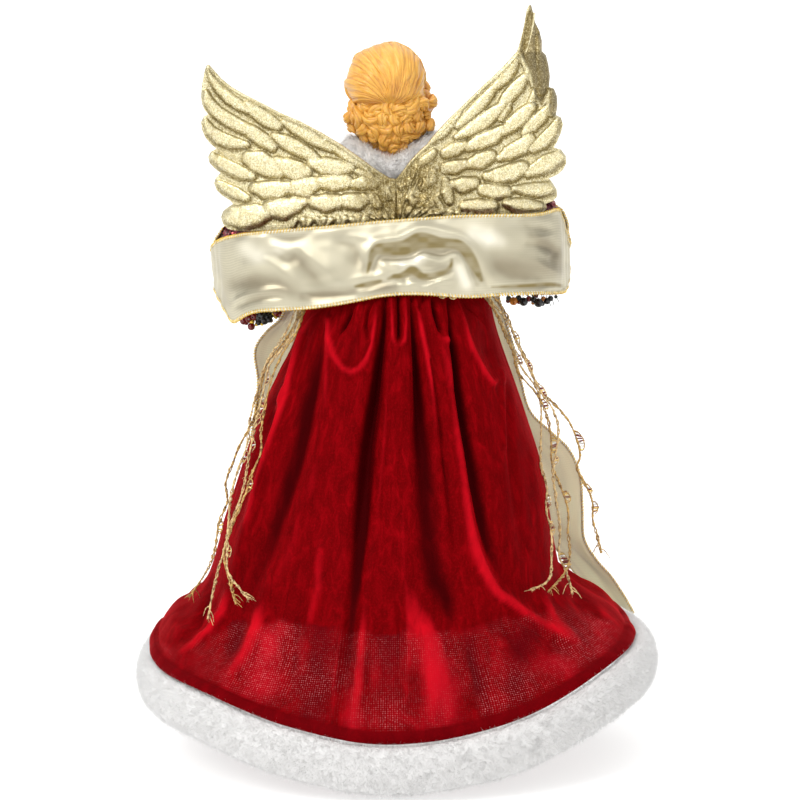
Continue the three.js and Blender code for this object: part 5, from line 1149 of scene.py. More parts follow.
def lobes_at(px, py, lobes):
    """Height in mm and inside depth in view units of the highest lobe."""
    H = np.zeros(px.shape)
    S = np.full(px.shape, -99.0)
    H2 = np.zeros(px.shape)
    for lobe in lobes:
        L = np.asarray(lobe, float) * np.array([1, 1, 1.09])
        rm = L[:, 2].max()
        x0, x1 = L[:, 0].min() - rm - 3, L[:, 0].max() + rm + 3
        y0, y1 = L[:, 1].min() - rm - 3, L[:, 1].max() + rm + 3
        m = (px > x0) & (px < x1) & (py > y0) & (py < y1)
        if not m.any():
            continue
        qx, qy = px[m], py[m]
        s = np.full(qx.shape, -99.0)
        tau = np.zeros(qx.shape)
        for i in range(len(L) - 1):
            ax, ay, ar = L[i]
            bx, by, br = L[i + 1]
            dx, dy = bx - ax, by - ay
            t = np.clip(((qx - ax) * dx + (qy - ay) * dy) / (dx * dx + dy * dy), 0, 1)
            v = ar + t * (br - ar) - np.hypot(qx - ax - t * dx, qy - ay - t * dy)
            better = v > s
            s = np.where(better, v, s)
            tau = np.where(better, (i + t) / (len(L) - 1), tau)
        top = 0.5 * min(rm, 9.5) * 0.70
        u = np.clip(s / (0.95 * rm), 0, 1)
        h = top * np.sqrt(np.clip(1 - (1 - u) ** 2, 0, 1)) * (1.12 - 0.24 * tau)
        cur = H[m]
        H2[m] = np.where(h > cur, cur, np.maximum(H2[m], h))
        H[m] = np.maximum(cur, h)
        S[m] = np.maximum(S[m], s)
    return H, S, H2


def wing(name, lead, trail, lobes, puckers, side):
    outline = np.array(lead + trail, float)
    # finer outline
    dense = []
    for i in range(len(outline)):
        a, b = outline[i], outline[(i + 1) % len(outline)]
        k = max(1, int(np.hypot(*(b - a)) / 1.2))
        dense += [a + (b - a) * j / k for j in range(k)]
    dense = np.array(dense)
    g = 0.85
    xs = np.arange(outline[:, 0].min() - g, outline[:, 0].max() + 2 * g, g)
    ys = np.arange(outline[:, 1].min() - g, outline[:, 1].max() + 2 * g, g)
    GX, GY = np.meshgrid(xs, ys, indexing="ij")
    ins = inside_poly(GX, GY, outline)
    cell = ins[:-1, :-1] & ins[1:, :-1] & ins[:-1, 1:] & ins[1:, 1:]
    idx = -np.ones(GX.shape, np.int64)
    use = np.zeros(GX.shape, bool)
    for a in (0, 1):
        for b in (0, 1):
            use[a:GX.shape[0] - 1 + a, b:GX.shape[1] - 1 + b] |= cell
    idx[use] = np.arange(use.sum())
    ci, cj = np.nonzero(cell)
    quads = np.stack([idx[ci, cj], idx[ci + 1, cj], idx[ci + 1, cj + 1], idx[ci, cj + 1]], -1)
    px, py = GX[use].copy(), GY[use].copy()
    # rim points move out to the outline
    e = np.concatenate([quads[:, [0, 1]], quads[:, [1, 2]], quads[:, [2, 3]], quads[:, [3, 0]]])
    key = np.sort(e, 1)
    uniq, inv, cnt = np.unique(key, axis=0, return_inverse=True, return_counts=True)
    rim_edges = e[cnt[inv.ravel()] == 1]
    rim = np.unique(rim_edges)
    best = np.full(len(rim), 1e9)
    bx, by = px[rim].copy(), py[rim].copy()
    for i in range(len(dense)):
        a, b = dense[i], dense[(i + 1) % len(dense)]
        d = b - a
        t = np.clip(((px[rim] - a[0]) * d[0] + (py[rim] - a[1]) * d[1]) / (d @ d + 1e-9), 0, 1)
        qx, qy = a[0] + t * d[0], a[1] + t * d[1]
        dist = np.hypot(px[rim] - qx, py[rim] - qy)
        m = dist < best
        best, bx, by = np.where(m, dist, best), np.where(m, qx, bx), np.where(m, qy, by)
    px[rim], py[rim] = bx, by
    H, S, H2 = lobes_at(px, py, lobes + puckers)
    is_rim = np.zeros(len(px), bool)
    is_rim[rim] = True
    dl, _, _ = nearest(px, py, [(p[0], p[1]) for p in lead])
    do, _, _ = nearest(px, py, [tuple(p) for p in dense] + [tuple(dense[0])])
    middle = smooth(62, 20, np.abs(px - 404)) * smooth(148, 172, py)
    # hand-pressed unevenness, and gathers that run in to the middle
    H = H + 0.16 * fbm(px / 7, py / 7, 1.0 * side, 2, 71) + 0.07 * noise3(px / 2.2, py / 2.2, 2.0 * side, 73)
    a = np.arctan2(py - 232, px - 396)
    rr = np.hypot(px - 396, py - 232)
    crinkle = 1 - np.abs(noise3(a * 9, rr / 26, 3.0, 75)) * 2
    crinkle2 = 1 - np.abs(noise3(px / 5.0 + 2 * a, py / 7.0, 4.0, 77)) * 2
    H = H * (1 - 0.45 * middle) + middle * (0.85 * crinkle + 0.55 * crinkle2)
    # piped leading edge
    pipe = np.sqrt(np.clip(1 - ((dl - 1.7) / 1.7) ** 2, 0, 1))
    H = np.where(dl < 3.6, H * smooth(2.4, 4.6, dl), H)
    H = H + 0.75 * pipe * (1 - 0.3 * middle)
    H = H * smooth(0.0, 1.6, np.where(dl < 4, 4, do)) + 0.0
    t0 = 0.32
    back_h = t0 + np.maximum(H, -0.2)
    back_h[is_rim] = 0.18
    front_h = t0 + 0.75 * np.maximum(H, -0.2)
    front_h[is_rim] = 0.18
    # place in the row frame
    Y = np.full(px.shape, 33.0)
    for _ in range(3):
        X, Z = from_view(px, py, Y)
        Y = wing_y(X, Z)
        if side < 0:   # the outer strip of the right wing is bent away
            lo = np.interp(py, [5, 20, 42, 52, 70, 90, 108], [529, 524, 520, 518, 528, 533, 540])
            hi = np.interp(py, [5, 22, 40, 55, 75, 90, 108], [531, 535, 542, 546, 550, 547, 540])
            off = np.clip(px - lo, 0, np.maximum(hi - lo, 0)) * smooth(110, 96, py)
            off2 = np.clip(px - 549, 0, 9) * smooth(84, 90, py) * smooth(120, 112, py)
            Y = Y - 0.5 * (1.15 * off + 1.2 * off2)
    # the sheet of the middle is drawn in at the notch
    Y = Y - 2.0 * np.exp(-((px - 396) / 13.0) ** 2) * smooth(160, 190, py)
    NB = len(px)
    Xb, Zb = from_view(px, py, Y + back_h)
    back_pts = np.stack([Xb, Y + back_h, Zb], -1)
    front_pts = np.stack([X, Y - front_h, Z], -1)
    V = np.vstack([back_pts, front_pts])
    # seen from behind x runs to the left, so the grid's own turn decides the outward side
    Fb = quads
    Ff = quads[:, ::-1] + NB
    rim_f = np.stack([rim_edges[:, 1], rim_edges[:, 0], rim_edges[:, 0] + NB, rim_edges[:, 1] + NB], -1)
    # painted shade in the grooves: narrow, at the foot of each lobe, fuller on its lower side where less light falls
    gx = np.zeros(GX.shape)
    gx[use] = S
    gy_, gx_ = np.gradient(gx, axis=1), np.gradient(gx, axis=0)
    down = (-gy_ * 0.85 - gx_ * (0.35 if side > 0 else 0.55))[use]
    lower = np.clip(0.5 + 0.75 * down, 0, 1)
    lobe_foot_shade = np.exp(-((S - 0.2) / (0.9 + 2.3 * lower)) ** 2) * (0.30 + 0.95 * lower)
    lobe_foot_shade = np.where(S < 0, np.maximum(lobe_foot_shade, 0.22 * smooth(-6, -1, S)), lobe_foot_shade)
    # painted shade along the foot of the piped leading edge
    pipe_foot_shade = np.exp(-((dl - 4.3) / 1.1) ** 2) * (0.85 * (0.35 + 0.65 * smooth(-0.2, 0.3, noise3(px / 11, py / 11, 9, 79))))
    edge_soft = smooth(0.6, 2.2, do)
    painted_groove_shade = np.clip(np.maximum(lobe_foot_shade, pipe_foot_shade) * edge_soft, 0, 1)
    # painted shade in the troughs of the gathered middle
    painted_groove_shade = np.clip(painted_groove_shade + middle * (0.50 - 0.45 * np.clip(crinkle * 0.6 + crinkle2 * 0.6, -1, 1)), 0, 1)
    # painted shade on the right wing's outer strip, which is bent away from the light
    if side < 0:
        bent_tip_shade = smooth(0.5, 3.0, px - np.interp(py, [5, 20, 42, 52, 70, 90, 108, 112], [529, 523, 519, 518, 528, 533, 540, 560])) * (px < np.interp(py, [5, 55, 90, 108], [536, 552, 549, 541])) * (py < 110)
        bent_tip_shade = np.maximum(bent_tip_shade, (px > 549.5) * smooth(86, 90, py) * smooth(118, 112, py))
        painted_groove_shade = np.clip(painted_groove_shade + 0.42 * bent_tip_shade, 0, 1)
    # painted shade as a darker brass tone: in the gathered middle, on the bent-away strip and low on the inner right
    # wing
    shaded_brass = 0.85 * middle * np.clip(0.75 + 0.5 * noise3(px / 9, py / 12, 6, 78), 0, 1)
    if side < 0:
        shaded_brass = np.maximum(shaded_brass, 0.80 * bent_tip_shade)
        shaded_brass = np.maximum(shaded_brass, 0.34 * smooth(500, 450, px) * smooth(120, 165, py))
    attrs = {"painted_groove_shade": np.concatenate([painted_groove_shade, painted_groove_shade]), "shaded_brass": np.concatenate([shaded_brass, shaded_brass])}
    uv = np.stack([X * MM, Z * MM], -1)
    ob = make(name, V, [np.vstack([Fb, Ff, rim_f])], LAME, uv=np.vstack([uv, uv]), attrs=attrs, outward=True)
    return ob


wing_l = wing("wing_left_lame", LEFT_LEAD, LEFT_TRAIL, LEFT_LOBES, PUCKERS_L, 1)
wing_r = wing("wing_right_lame", RIGHT_LEAD, RIGHT_TRAIL, RIGHT_LOBES, PUCKERS_R, -1)
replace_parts(wing_l, "wing_left", "wing_center")
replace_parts(wing_r, "wing_right")
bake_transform(wing_l)
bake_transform(wing_r)


# ------------------------------------------------------------------ stole and ribbon tails
SASH_Y_TOP = [(0, 38.8), (30, 38.4), (50, 37.2), (66, 35.2)]
SASH_Y_BOT = [(0, 46.6), (30, 45.2), (50, 41.6), (66, 36.4)]
SASH_TOP = [(66, 184.9), (63.3, 185.2), (43.7, 187.0), (24.4, 188.7), (5.1, 190.7), (-14.1, 192.1), (-33.4, 193.4), (-52.8, 193.7), (-66, 193.6)]
SASH_BOT = [(66, 146.2), (63.5, 146.7), (53.7, 147.5), (43.9, 148.2), (34.2, 149.4), (24.5, 150.9), (14.8, 152.9), (5.2, 154.9), (-4.5, 155.8), (-14.2, 155.8),
            (-23.8, 155.3), (-33.5, 154.2), (-43.2, 154.1), (-52.9, 154.9), (-66, 155.0)]
LOOP = [
    [(67.2, 33.2, 184.3), (67.2, 33.2, 144.6)], [(72, 30.2, 183.6), (71.2, 30.5, 142.2)], [(77.5, 25.6, 182.5), (76, 26.2, 140)], [(82.2, 19.4, 181.4), (80.4, 20, 138.4)],
    [(85.6, 12.5, 180.8), (83.9, 12.4, 138.6)], [(87.6, 5.5, 180.8), (86.2, 4.5, 140.5)], [(88.3, -1.5, 182.2), (87.7, -4, 144)], [(87.3, -6.6, 185.4), (88.2, -14, 151)],
    [(84.6, -9.6, 189.0), (86.4, -24, 162)], [(80.4, -11, 191.8), (83.0, -31.5, 174)], [(74.5, -11.5, 193.4), (77.5, -36, 183.5)], [(68.0, -11.5, 193.8), (70.5, -38, 187.6)],
    [(61.5, -11.5, 192.4), (62.5, -38, 188.0)], [(56.6, -12, 188.6), (56.6, -37, 184.6)], [(54.2, -12.4, 183.0), (54.0, -35.5, 178.6)], [(53.3, -12.8, 177.0), (53.2, -34.4, 172.6)],
]
TAIL_L = [
    [(53, -13, 166), (46, -34, 163)], [(53.5, -14, 150), (44, -38, 148)], [(55.5, -16, 139), (45, -43, 137.5)], [(63, -19, 131), (47, -49, 129)], [(69, -21, 121), (50, -55, 119)],
    [(68, -24, 104), (46.5, -61, 103)], [(71, -32, 80), (46, -68, 80)], [(76, -38, 55), (47, -76, 55)], [(81, -45, 30), (49, -84, 30)], [(85.5, -52, 9), (52, -92, 12)],
]
TAIL_R = [
    [(-52.5, -13, 174), (-46, -34, 171)], [(-52.5, -14, 160), (-44, -38, 157)], [(-53.5, -15, 148), (-44.5, -43, 146)], [(-57.5, -17, 136), (-46, -47, 134)], [(-62.5, -19, 121), (-48, -53, 119)],
    [(-65, -23, 107), (-50.5, -58, 106)], [(-70.5, -27, 88), (-55, -63, 88)], [(-81, -28, 78), (-61, -64, 77)], [(-91, -28, 68), (-67, -66, 67)],
    [(-96.5, -28, 55), (-71, -70, 54)], [(-98, -30, 40), (-74, -74, 38)], [(-99.5, -33, 22), (-78, -79, 21)], [(-107, -36, 10), (-87.5, -84, 6.6)], [(-114.6, -38, 0.6), (-98, -84, -6.5)], [(-126.2, -42, -19.5), (-109, -81, -20)],
]
SASH_FOLDS = [
    # the arched fold over the middle: cloth standing out above, tucked in below
    [(361, 276, 0.4, 4), (364, 264, 1.4, 4.2), (368, 252, 2.2, 4.4), (375, 243, 2.8, 4.6), (387, 239.5, 2.9, 4.8), (398, 238, 3.0, 5), (409, 233, 3.1, 5), (421, 228, 3.2, 5), (435, 230, 3.2, 5), (450, 234, 3.2, 5), (461, 237, 3.2, 5),
     (470, 244, 3.1, 5), (478, 254, 2.8, 5.2), (486, 267, 2.3, 5.6), (493, 281, 1.2, 6)],
    [(374, 275, -0.8, 3.4), (378, 263, -2.2, 3.8), (383, 257, -3.0, 4), (396, 258, -3.2, 4), (410, 256, -3.2, 4), (420, 251, -3.2, 4), (432, 252, -3.2, 3.8), (441, 254, -3.0, 3.6), (451, 250, -2.8, 3.4), (459, 252, -2.8, 3.4), (465, 262, -2.8, 3.8), (471, 273, -2.4, 4.2), (476, 284, -1.4, 4.6)],
    [(381, 262, 1.2, 3), (387, 269, 1.0, 3)], [(395, 263, 1.4, 3.4), (405, 265, 1.3, 3.4)], [(424, 257, 1.4, 5), (438, 263, 1.7, 5.4), (449, 260, 1.2, 4)],
    [(389, 281, -0.8, 2.2), (397, 279, -1.5, 2.4), (406, 277.5, -1.9, 2.6), (412, 276, -2.1, 3), (418, 279, -2.1, 2.8), (430, 280, -1.9, 2.8), (441, 277.5, -1.7, 2.6), (450, 272, -1.5, 2.4), (453.5, 263, -0.9, 2.2)],
    [(390, 271, 0.7, 2.2), (400, 270.5, 1.1, 2.4), (411, 264, 1.4, 2.6), (420, 270, 1.3, 2.6), (432, 271, 1.3, 2.6), (444, 268, 1.1, 2.4)],
    [(387, 288, 0.9, 3.4), (400, 286, 1.4, 3.6), (415, 285, 1.6, 4)], [(424, 289, 0.8, 2.6), (433, 284, 1.4, 3), (445, 280, 1.4, 3), (454, 279, 0.8, 2.6)],
    [(457, 254, 1.4, 3), (463, 264, 2.4, 3.4), (467, 278, 2.4, 3.8), (470, 291, 1.6, 4.4)],
    [(456, 273, -0.6, 1.8), (456.5, 281, -0.9, 2.2), (455.5, 290, -0.7, 2.2)],
    [(397.5, 270, -0.4, 1.6), (398, 280, -0.8, 1.8), (397, 291, -0.7, 2.0)], [(403, 279, -0.9, 1.8), (407, 284, -1.1, 1.8)],
    [(436, 286, -0.8, 2.0), (447, 284, -0.9, 2.0)],
    [(352, 280, 0.7, 2.6), (368, 277, 1.2, 3), (383, 275, 0.8, 2.6)],
    [(354, 288, -0.9, 2.2), (370, 285.5, -1.6, 2.6), (383, 282, -0.9, 2.2)],
    [(370, 292, 0.8, 1.8), (385, 288.5, 0.8, 1.8)],
    # long soft diagonals on the left
    [(270, 235, -0.8, 4), (286, 240, -1.5, 5.4), (300, 239, -1.1, 5), (310, 233, -0.5, 4)],
    [(277, 253, -0.9, 5), (288, 261, -1.4, 6), (297, 254, -0.8, 4.4)],
    [(300, 248, 0.9, 4.5), (314, 260, 1.8, 6), (327, 271, 1.9, 6), (335, 281, 1.0, 4.6)],
    [(318, 233, 0.8, 5), (334, 230, 1.1, 5), (348, 228, 0.6, 4)],
    [(340, 243, -0.9, 4), (351, 245, -1.1, 4)], [(354, 250, -1.2, 5), (361, 261, -1.7, 6), (367, 270, -1.1, 4.6)], [(351, 236, 0.7, 2.4), (368, 238, 0.9, 2.6), (384, 242, 0.5, 2.4)],
    [(301, 260, -0.6, 4.4), (311, 273, -1.0, 5), (321, 284, -0.7, 4.4)],
    [(303, 293, -1.2, 3.6), (318, 296, -2.0, 4.2), (336, 295, -1.9, 3.8), (353, 294, -1.0, 2.8)], [(326, 286, -0.7, 1.8), (341, 286, -0.7, 1.8)],
    [(266, 260, 0.8, 4), (282, 270, 1.4, 4.4), (295, 284, 1.4, 4.4), (304, 297, 1.0, 4)],
    [(240, 241, 0.8, 5.4), (262, 238, 1.0, 5.4)], [(262, 246, 0.5, 6), (280, 248, 0.7, 3)],
    [(230, 308, 0.8, 2.0), (240, 299.5, 1.6, 2.2), (254, 294, 2.0, 2.2), (268, 290.5, 2.1, 2.4), (281, 290, 1.4, 2.6), (289, 295, 0.7, 3)],
    [(236, 306, -1.0, 2.6), (250, 301, -1.9, 3.0), (266, 297.5, -1.9, 3.0), (282, 296, -1.0, 2.6)],
    [(232, 284, -0.9, 8), (252, 280, -1.1, 9), (276, 282, -0.8, 7)],
    [(224, 256, 0.5, 7), (222, 270, 0.6, 6)],
    # right side
    [(462, 227, 0.9, 7), (480, 230, 1.5, 8), (500, 240, 1.2, 8)],
    [(526, 228, -0.9, 5), (545, 230, -1.5, 6)], [(526, 244, -1.1, 4), (540, 245, -1.8, 5), (552, 251, -2.0, 6), (551, 259, -1.2, 5)], [(535, 237, 1.1, 2.2), (549, 235, 0.9, 2.4)],
    [(484, 262, -0.9, 7), (500, 269, -1.4, 8), (520, 276, -1.4, 8), (545, 279, -0.9, 6)],
    [(532, 262, 0.9, 4.4), (546, 269, 1.6, 5), (558, 275, 1.0, 5)], [(500, 250, 0.7, 6), (520, 258, 0.8, 6)],
    [(488, 283, 0.5, 2), (520, 281.5, 0.7, 2), (552, 279, 0.5, 2)], [(490, 288, -0.6, 1.8), (520, 287, -1.0, 2.0), (552, 285, -0.8, 2.0)],
    [(478, 268, -1.0, 4), (485, 279, -1.6, 4.4), (489, 289, -0.8, 4)],
]
# painted shade where the cloth turns under into a tuck: [x, y, half width]
TUCK_SHADE_LINES = [
    [(367.5, 273, 1.2), (370.5, 262, 2.4), (373, 254, 3.6), (378, 249.5, 5.2), (387, 249, 6.2), (396, 248.5, 6.8), (405, 247.5, 7.4), (412, 244.5, 8.0), (420, 241, 8.4), (430, 241.5, 7.2), (440, 243, 5.6), (450, 243.5, 4.8), (458, 245, 5), (464.5, 250, 5.2),
     (469.5, 257, 5.2), (474, 265, 4.6), (478, 273, 3.6), (481, 280, 2.0)],
    [(388.5, 279, 1.4), (394, 276.5, 2.2), (400, 276, 2.6), (406, 273.5, 3.2), (412, 270.5, 4.2), (417, 273, 4), (422, 276.5, 3.6), (430, 276.3, 3.2), (438, 274.3, 2.8), (446, 271.5, 2.4), (450.5, 266, 1.8), (451.5, 260, 1.2)],
    [(355.5, 286.5, 1.2), (364, 285, 2.4), (372, 283.5, 2.6), (380.5, 281.3, 1.8)],
    [(492, 287, 0.8), (510, 286.3, 1.6), (530, 285.6, 2.0), (550, 284.4, 2.2), (563, 286, 1.6)],
]


# broad areas of painted reflection, lighter (+), and painted shade, darker (-), on the foil cloth, [x, y, amount, half
# width]
SHADES = [
    [(497, 263, -0.50, 12), (515, 268, -0.60, 15), (540, 270, -0.50, 14), (560, 264, -0.50, 12)],
    [(565, 222, -0.35, 6), (568, 250, -0.40, 7)],
    [(531, 236, -0.40, 6), (544, 242, -0.60, 7), (553, 252, -0.45, 7)],
    [(292, 254, -0.35, 7), (302, 264, -0.55, 8), (313, 277, -0.40, 8)],
    [(236, 284, -0.40, 9), (256, 283, -0.55, 10), (278, 286, -0.55, 10), (293, 292, -0.40, 8)],
    [(303, 297, -0.50, 5), (330, 294, -0.55, 5), (355, 291, -0.45, 4.5)],
    [(364, 289, -0.45, 4.5), (384, 287, -0.60, 5), (396, 288, -0.30, 4)],
    [(213, 250, -0.35, 5), (216, 275, -0.40, 6), (223, 302, -0.45, 7)],
    [(430, 266, -0.30, 6), (446, 270, -0.40, 6)],
    [(350, 260, -0.30, 8), (362, 268, -0.35, 7)],
    [(474, 233, 0.60, 8), (489, 239, 0.85, 9), (499, 242, 0.50, 7)],
    [(402, 262, 0.65, 5), (413, 261, 0.80, 5), (423, 258, 0.40, 5)],
    [(248, 249, 0.45, 8), (259, 256, 0.50, 8)],
    [(280, 247, 0.35, 8), (290, 249, 0.35, 7)],
    [(459, 268, 0.55, 5), (466, 284, 0.65, 6)],
]


def blur(a, su, sv):
    """Soften a grid of values along both ways."""
    for ax_, sg in ((0, su), (1, sv)):
        m_ = int(3 * sg) + 1
        k_ = np.exp(-0.5 * (np.arange(-m_, m_ + 1) / sg) ** 2)
        k_ /= k_.sum()
        a = np.apply_along_axis(lambda q: np.convolve(np.concatenate([np.full(m_, q[0]), q, np.full(m_, q[-1])]), k_, "valid"), ax_, a)
    return a


def soft_line(f, k=5):
    """The same fold line with its corners rounded."""
    return [tuple(v) for v in catmull(np.array(f, float), max(4, k * len(f)))]


def band(px, py, lines, edge=1.0):
    out = np.zeros(px.shape)
    for f in lines:
        L = np.array(soft_line(f))
        d, vals, _ = nearest(px, py, [tuple(v) for v in L])
        out = np.maximum(out, smooth(edge, -edge, d - vals[0]))
    return out


def table_at(table, x):
    T = np.array(sorted(table))
    return np.interp(x, T[:, 0], T[:, 1])


def ribbon_grid(sections, nu, nv, sag=0.0):
    """Even grid over a ribbon given by [upper, lower] edge points; u runs along, v from the upper to the lower edge."""
    A = np.array([s[0] for s in sections], float)
    B = np.array([s[1] for s in sections], float)
    C = catmull(np.hstack([A, B]), nu)
    t = np.linspace(0, 1, nv)[None, :, None]
    return C[:, None, :3] * (1 - t) + C[:, None, 3:] * t


def grid_normals(P):
    return unit(np.cross(np.gradient(P, axis=0), np.gradient(P, axis=1)))


def thick_sheet(P, N, t):
    nu, nv = P.shape[:2]
    V = np.vstack([(P + N * t / 2).reshape(-1, 3), (P - N * t / 2).reshape(-1, 3)])
    k = nu * nv
    top = grid_faces(nu, nv)
    F = [top, top[:, ::-1] + k]
    i = np.arange(nu - 1) * nv
    j = np.arange(nv - 1)
    F.append(np.stack([i, i + k, i + nv + k, i + nv], -1))
    F.append(np.stack([i + nv - 1, i + nv + nv - 1, i + nv + nv - 1 + k, i + nv - 1 + k], -1))
    F.append(np.stack([j, j + 1, j + 1 + k, j + k], -1))
    o = (nu - 1) * nv
    F.append(np.stack([o + j, o + j + k, o + j + 1 + k, o + j + 1], -1))
    return V, [np.vstack(F)]


def cloth_uv(P):
    u = np.concatenate([[0], np.cumsum(np.linalg.norm(np.diff(P[:, P.shape[1] // 2], axis=0), axis=1))])
    v = np.concatenate([[0], np.cumsum(np.linalg.norm(np.diff(P[P.shape[0] // 2], axis=0), axis=1))])
    U, W = np.meshgrid(u, v, indexing="ij")
    return np.stack([U * MM, W * MM], -1).reshape(-1, 2)


def sheet_area(P):
    a = np.linalg.norm(np.cross(P[1:, :-1] - P[:-1, :-1], P[:-1, 1:] - P[:-1, :-1]), axis=-1)
    return float(a.sum()) * MM * MM


def overlock(edge, inward, normal, seed):
    """Serged edge: a cream core, and gold and cream threads wound over it. edge, inward and normal are rows along it."""
    L = np.concatenate([[0], np.cumsum(np.linalg.norm(np.diff(edge, axis=0), axis=1))])
    C = edge + inward * 0.35
    Vc, Fc = tube_mesh(C, 0.50, 7, lambda i, ang: 1 + 0.10 * np.cos(3 * ang - L[i] * 4))
    n = int(L[-1] / 0.16)
    s = np.linspace(0, L[-1], n)
    out = [(Vc, Fc)]
    gold = []
    for ph, r0, bag, shift in ((0.0, 0.27, gold, 0.02), (np.pi, 0.19, out, 0.42)):
        c = np.column_stack([np.interp(s, L, C[:, k]) for k in range(3)])
        w = unit(np.column_stack([np.interp(s, L, inward[:, k]) for k in range(3)]))
        m = unit(np.column_stack([np.interp(s, L, normal[:, k]) for k in range(3)]))
        a = 2 * np.pi * s / 1.55 + ph + 0.5 * noise3(s / 2.5, seed, ph, seed)
        D = c + w * (shift + 0.80 * np.cos(a))[:, None] + m * (0.52 * np.sin(a))[:, None]
        bag.append(tube_mesh(D, r0, 4, None, caps=True))
    return out, gold


def ribbon_piece(name, P, material, thickness=0.42, tuck_shade=None, N=None, dip=None, shade=None):
    if N is None:
        N = grid_normals(P)
    V, F = thick_sheet(P, N, thickness)
    uv = cloth_uv(P)
    t = np.zeros(P.shape[:2]) if tuck_shade is None else tuck_shade
    d = np.zeros(P.shape[:2]) if dip is None else dip
    sh = np.zeros(P.shape[:2]) if shade is None else shade
    ob = make(name, V, F, material, uv=np.vstack([uv, uv]), attrs={"tuck_shade": np.concatenate([t.ravel(), t.ravel()]), "dip": np.concatenate([d.ravel(), d.ravel()]),
                                                                       "dark": np.maximum(np.concatenate([-sh.ravel(), -sh.ravel()]), 0), "light": np.maximum(np.concatenate([sh.ravel(), sh.ravel()]), 0)}, outward=True)
    ob.data.set_sharp_from_angle(angle=math.radians(55))
    return ob


def edge_pieces(name, P, N, seed, both=True):
    pale, gold = [], []
    for e, nx in ((0, 1), (-1, -2)) if both else ((0, 1),):
        edge = P[:, e]
        inward = unit(P[:, nx] - P[:, e])
        a, b = overlock(edge, inward, N[:, e], seed + (e == 0))
        pale += a
        gold += b
    V, F = pack_parts(pale)
    o1 = make(name + "_edge_pale", V, F, STITCH_PALE)
    V, F = pack_parts(gold)
    o2 = make(name + "_edge_gold", V, F, STITCH_GOLD)
    return o1, o2


RISE = {1: 0.0, -1: 10.0}
SPLIT_X = -3.2            # the two halves of the stole meet in the pinch at the middle of the back


# the loops' edges on the outer side, [x, y] in the view plane with the depth in mm
LOOP_VIEW = {
    1: ([(259, 232.5, 34.2), (249, 233, 31.6), (238, 234.8, 25.6), (228, 237, 19.4), (220, 239.5, 12.5), (215, 242, 5.5), (212.3, 246, -1.5), (211.6, 250, -6.8)],
        [(258.5, 311.5, 35.6), (250, 313.5, 32.6), (241, 318, 27.6), (232.5, 323.5, 20), (226, 312, 12.4), (220.6, 302, 4.5), (216.4, 293, -4), (214, 285, -14)]),
    -1: ([(524.5, 214.5, 34.2), (534, 214.2, 31.6), (545, 212.8, 25.6), (555, 209, 19.4), (560.5, 210.5, 12.5), (564, 222, 5.5), (567.5, 236, -1.5), (570, 247, -6.8)],
         [(524.5, 294.6, 35.6), (534, 294.2, 32.6), (545, 293.8, 27.6), (555, 293.6, 20), (562.5, 293, 12.4), (566, 290, 4.5), (568, 284, -4), (569.5, 272, -14)]),
}
LOOP_FRONT_TOP = {8: (87.0, -10.8, 180.0), 9: (82.3, -11.4, 184.4), 10: (76.4, -11.8, 189.2), 11: (69.0, -11.8, 191.4), 12: (61.5, -11.5, 190.4), 13: (56.6, -12, 187.4)}
LOOP_FRONT_LOW = {8: (86.8, -24, 163.5), 9: (83.0, -31.5, 174)}


def sash_sections():
    """All sections of the stole from the left arm's inner end, round the back, to the right arm's."""
    left, right = [], []
    for s, out in ((1, left), (-1, right)):
        dz = RISE[s]
        for i, (A, B) in enumerate(LOOP):
            low = lerp(10.6, 14.4, min(1, i / 4)) if i < 7 else lerp(14.4, 10, min(1, (i - 6) / 5))
            if i < 8:
                ends = []
                for (qx, qy, qd) in (LOOP_VIEW[s][0][i], LOOP_VIEW[s][1][i]):
                    X_, Z_ = from_view(np.array([qx]), np.array([qy]), np.array([qd]))
                    ends.append((X_[0], qd, Z_[0]))
                out.append(ends)
                continue
            A = LOOP_FRONT_TOP.get(i, A)
            B = LOOP_FRONT_LOW.get(i, B)
            out.append([(s * A[0], A[1], A[2] + dz), (s * B[0], B[1], B[2] + (low if dz else 0))])
    mid = []
    for x in np.arange(63, -63.1, -4.2):
        mid.append([(x, table_at(SASH_Y_TOP, abs(x)), table_at(SASH_TOP, x)), (x, table_at(SASH_Y_BOT, abs(x)), table_at(SASH_BOT, x))])
    return left[::-1] + mid + right


S = sash_sections()
nu, nv = 720, 90
P = ribbon_grid(S, nu, nv)
P = np.stack([blur(P[..., k_], 5.2, 0.4) for k_ in range(3)], -1)
# a little belly across the width, then the folds
t = np.linspace(0, 1, nv)[None, :]
N0 = grid_normals(P)
if N0[nu // 2, nv // 2, 1] < 0:
    N0 = -N0
vx, vy = to_view(P[..., 0], P[..., 1], P[..., 2])
facing = smooth(-0.1, 0.4, N0[..., 1]) * smooth(6, 16, P[..., 1])
h0 = relief(vx, vy, [soft_line(f) for f in SASH_FOLDS]) * facing
h0 = blur(h0, 1.8, 1.9)
h = 0.54 * h0
soft = 0.7 * fbm(P[..., 0] / 22, P[..., 1] / 22, P[..., 2] / 30, 3, 91) + 0.20 * fbm(P[..., 0] / 9, P[..., 1] / 9, P[..., 2] / 12, 2, 92) + 0.12 * fbm(P[..., 0] / 5, P[..., 1] / 5, P[..., 2] / 7, 2, 93)
U = np.linspace(0, 1, nu)[:, None] * np.ones((1, nv))
arm_folds = 0.30 * np.sin(U * 260 + 2.5 * t + 2 * noise3(U * 12, t * 2, 0, 95)) * (1 - facing) * smooth(0.0, 0.05, U) * smooth(1.0, 0.95, U) * 0.7
edge_keep = smooth(0.0, 0.07, t) * smooth(1.0, 0.93, t)
h = h * (0.30 + 0.70 * edge_keep) + soft + arm_folds + 0.9 * np.sin(np.pi * t) * facing
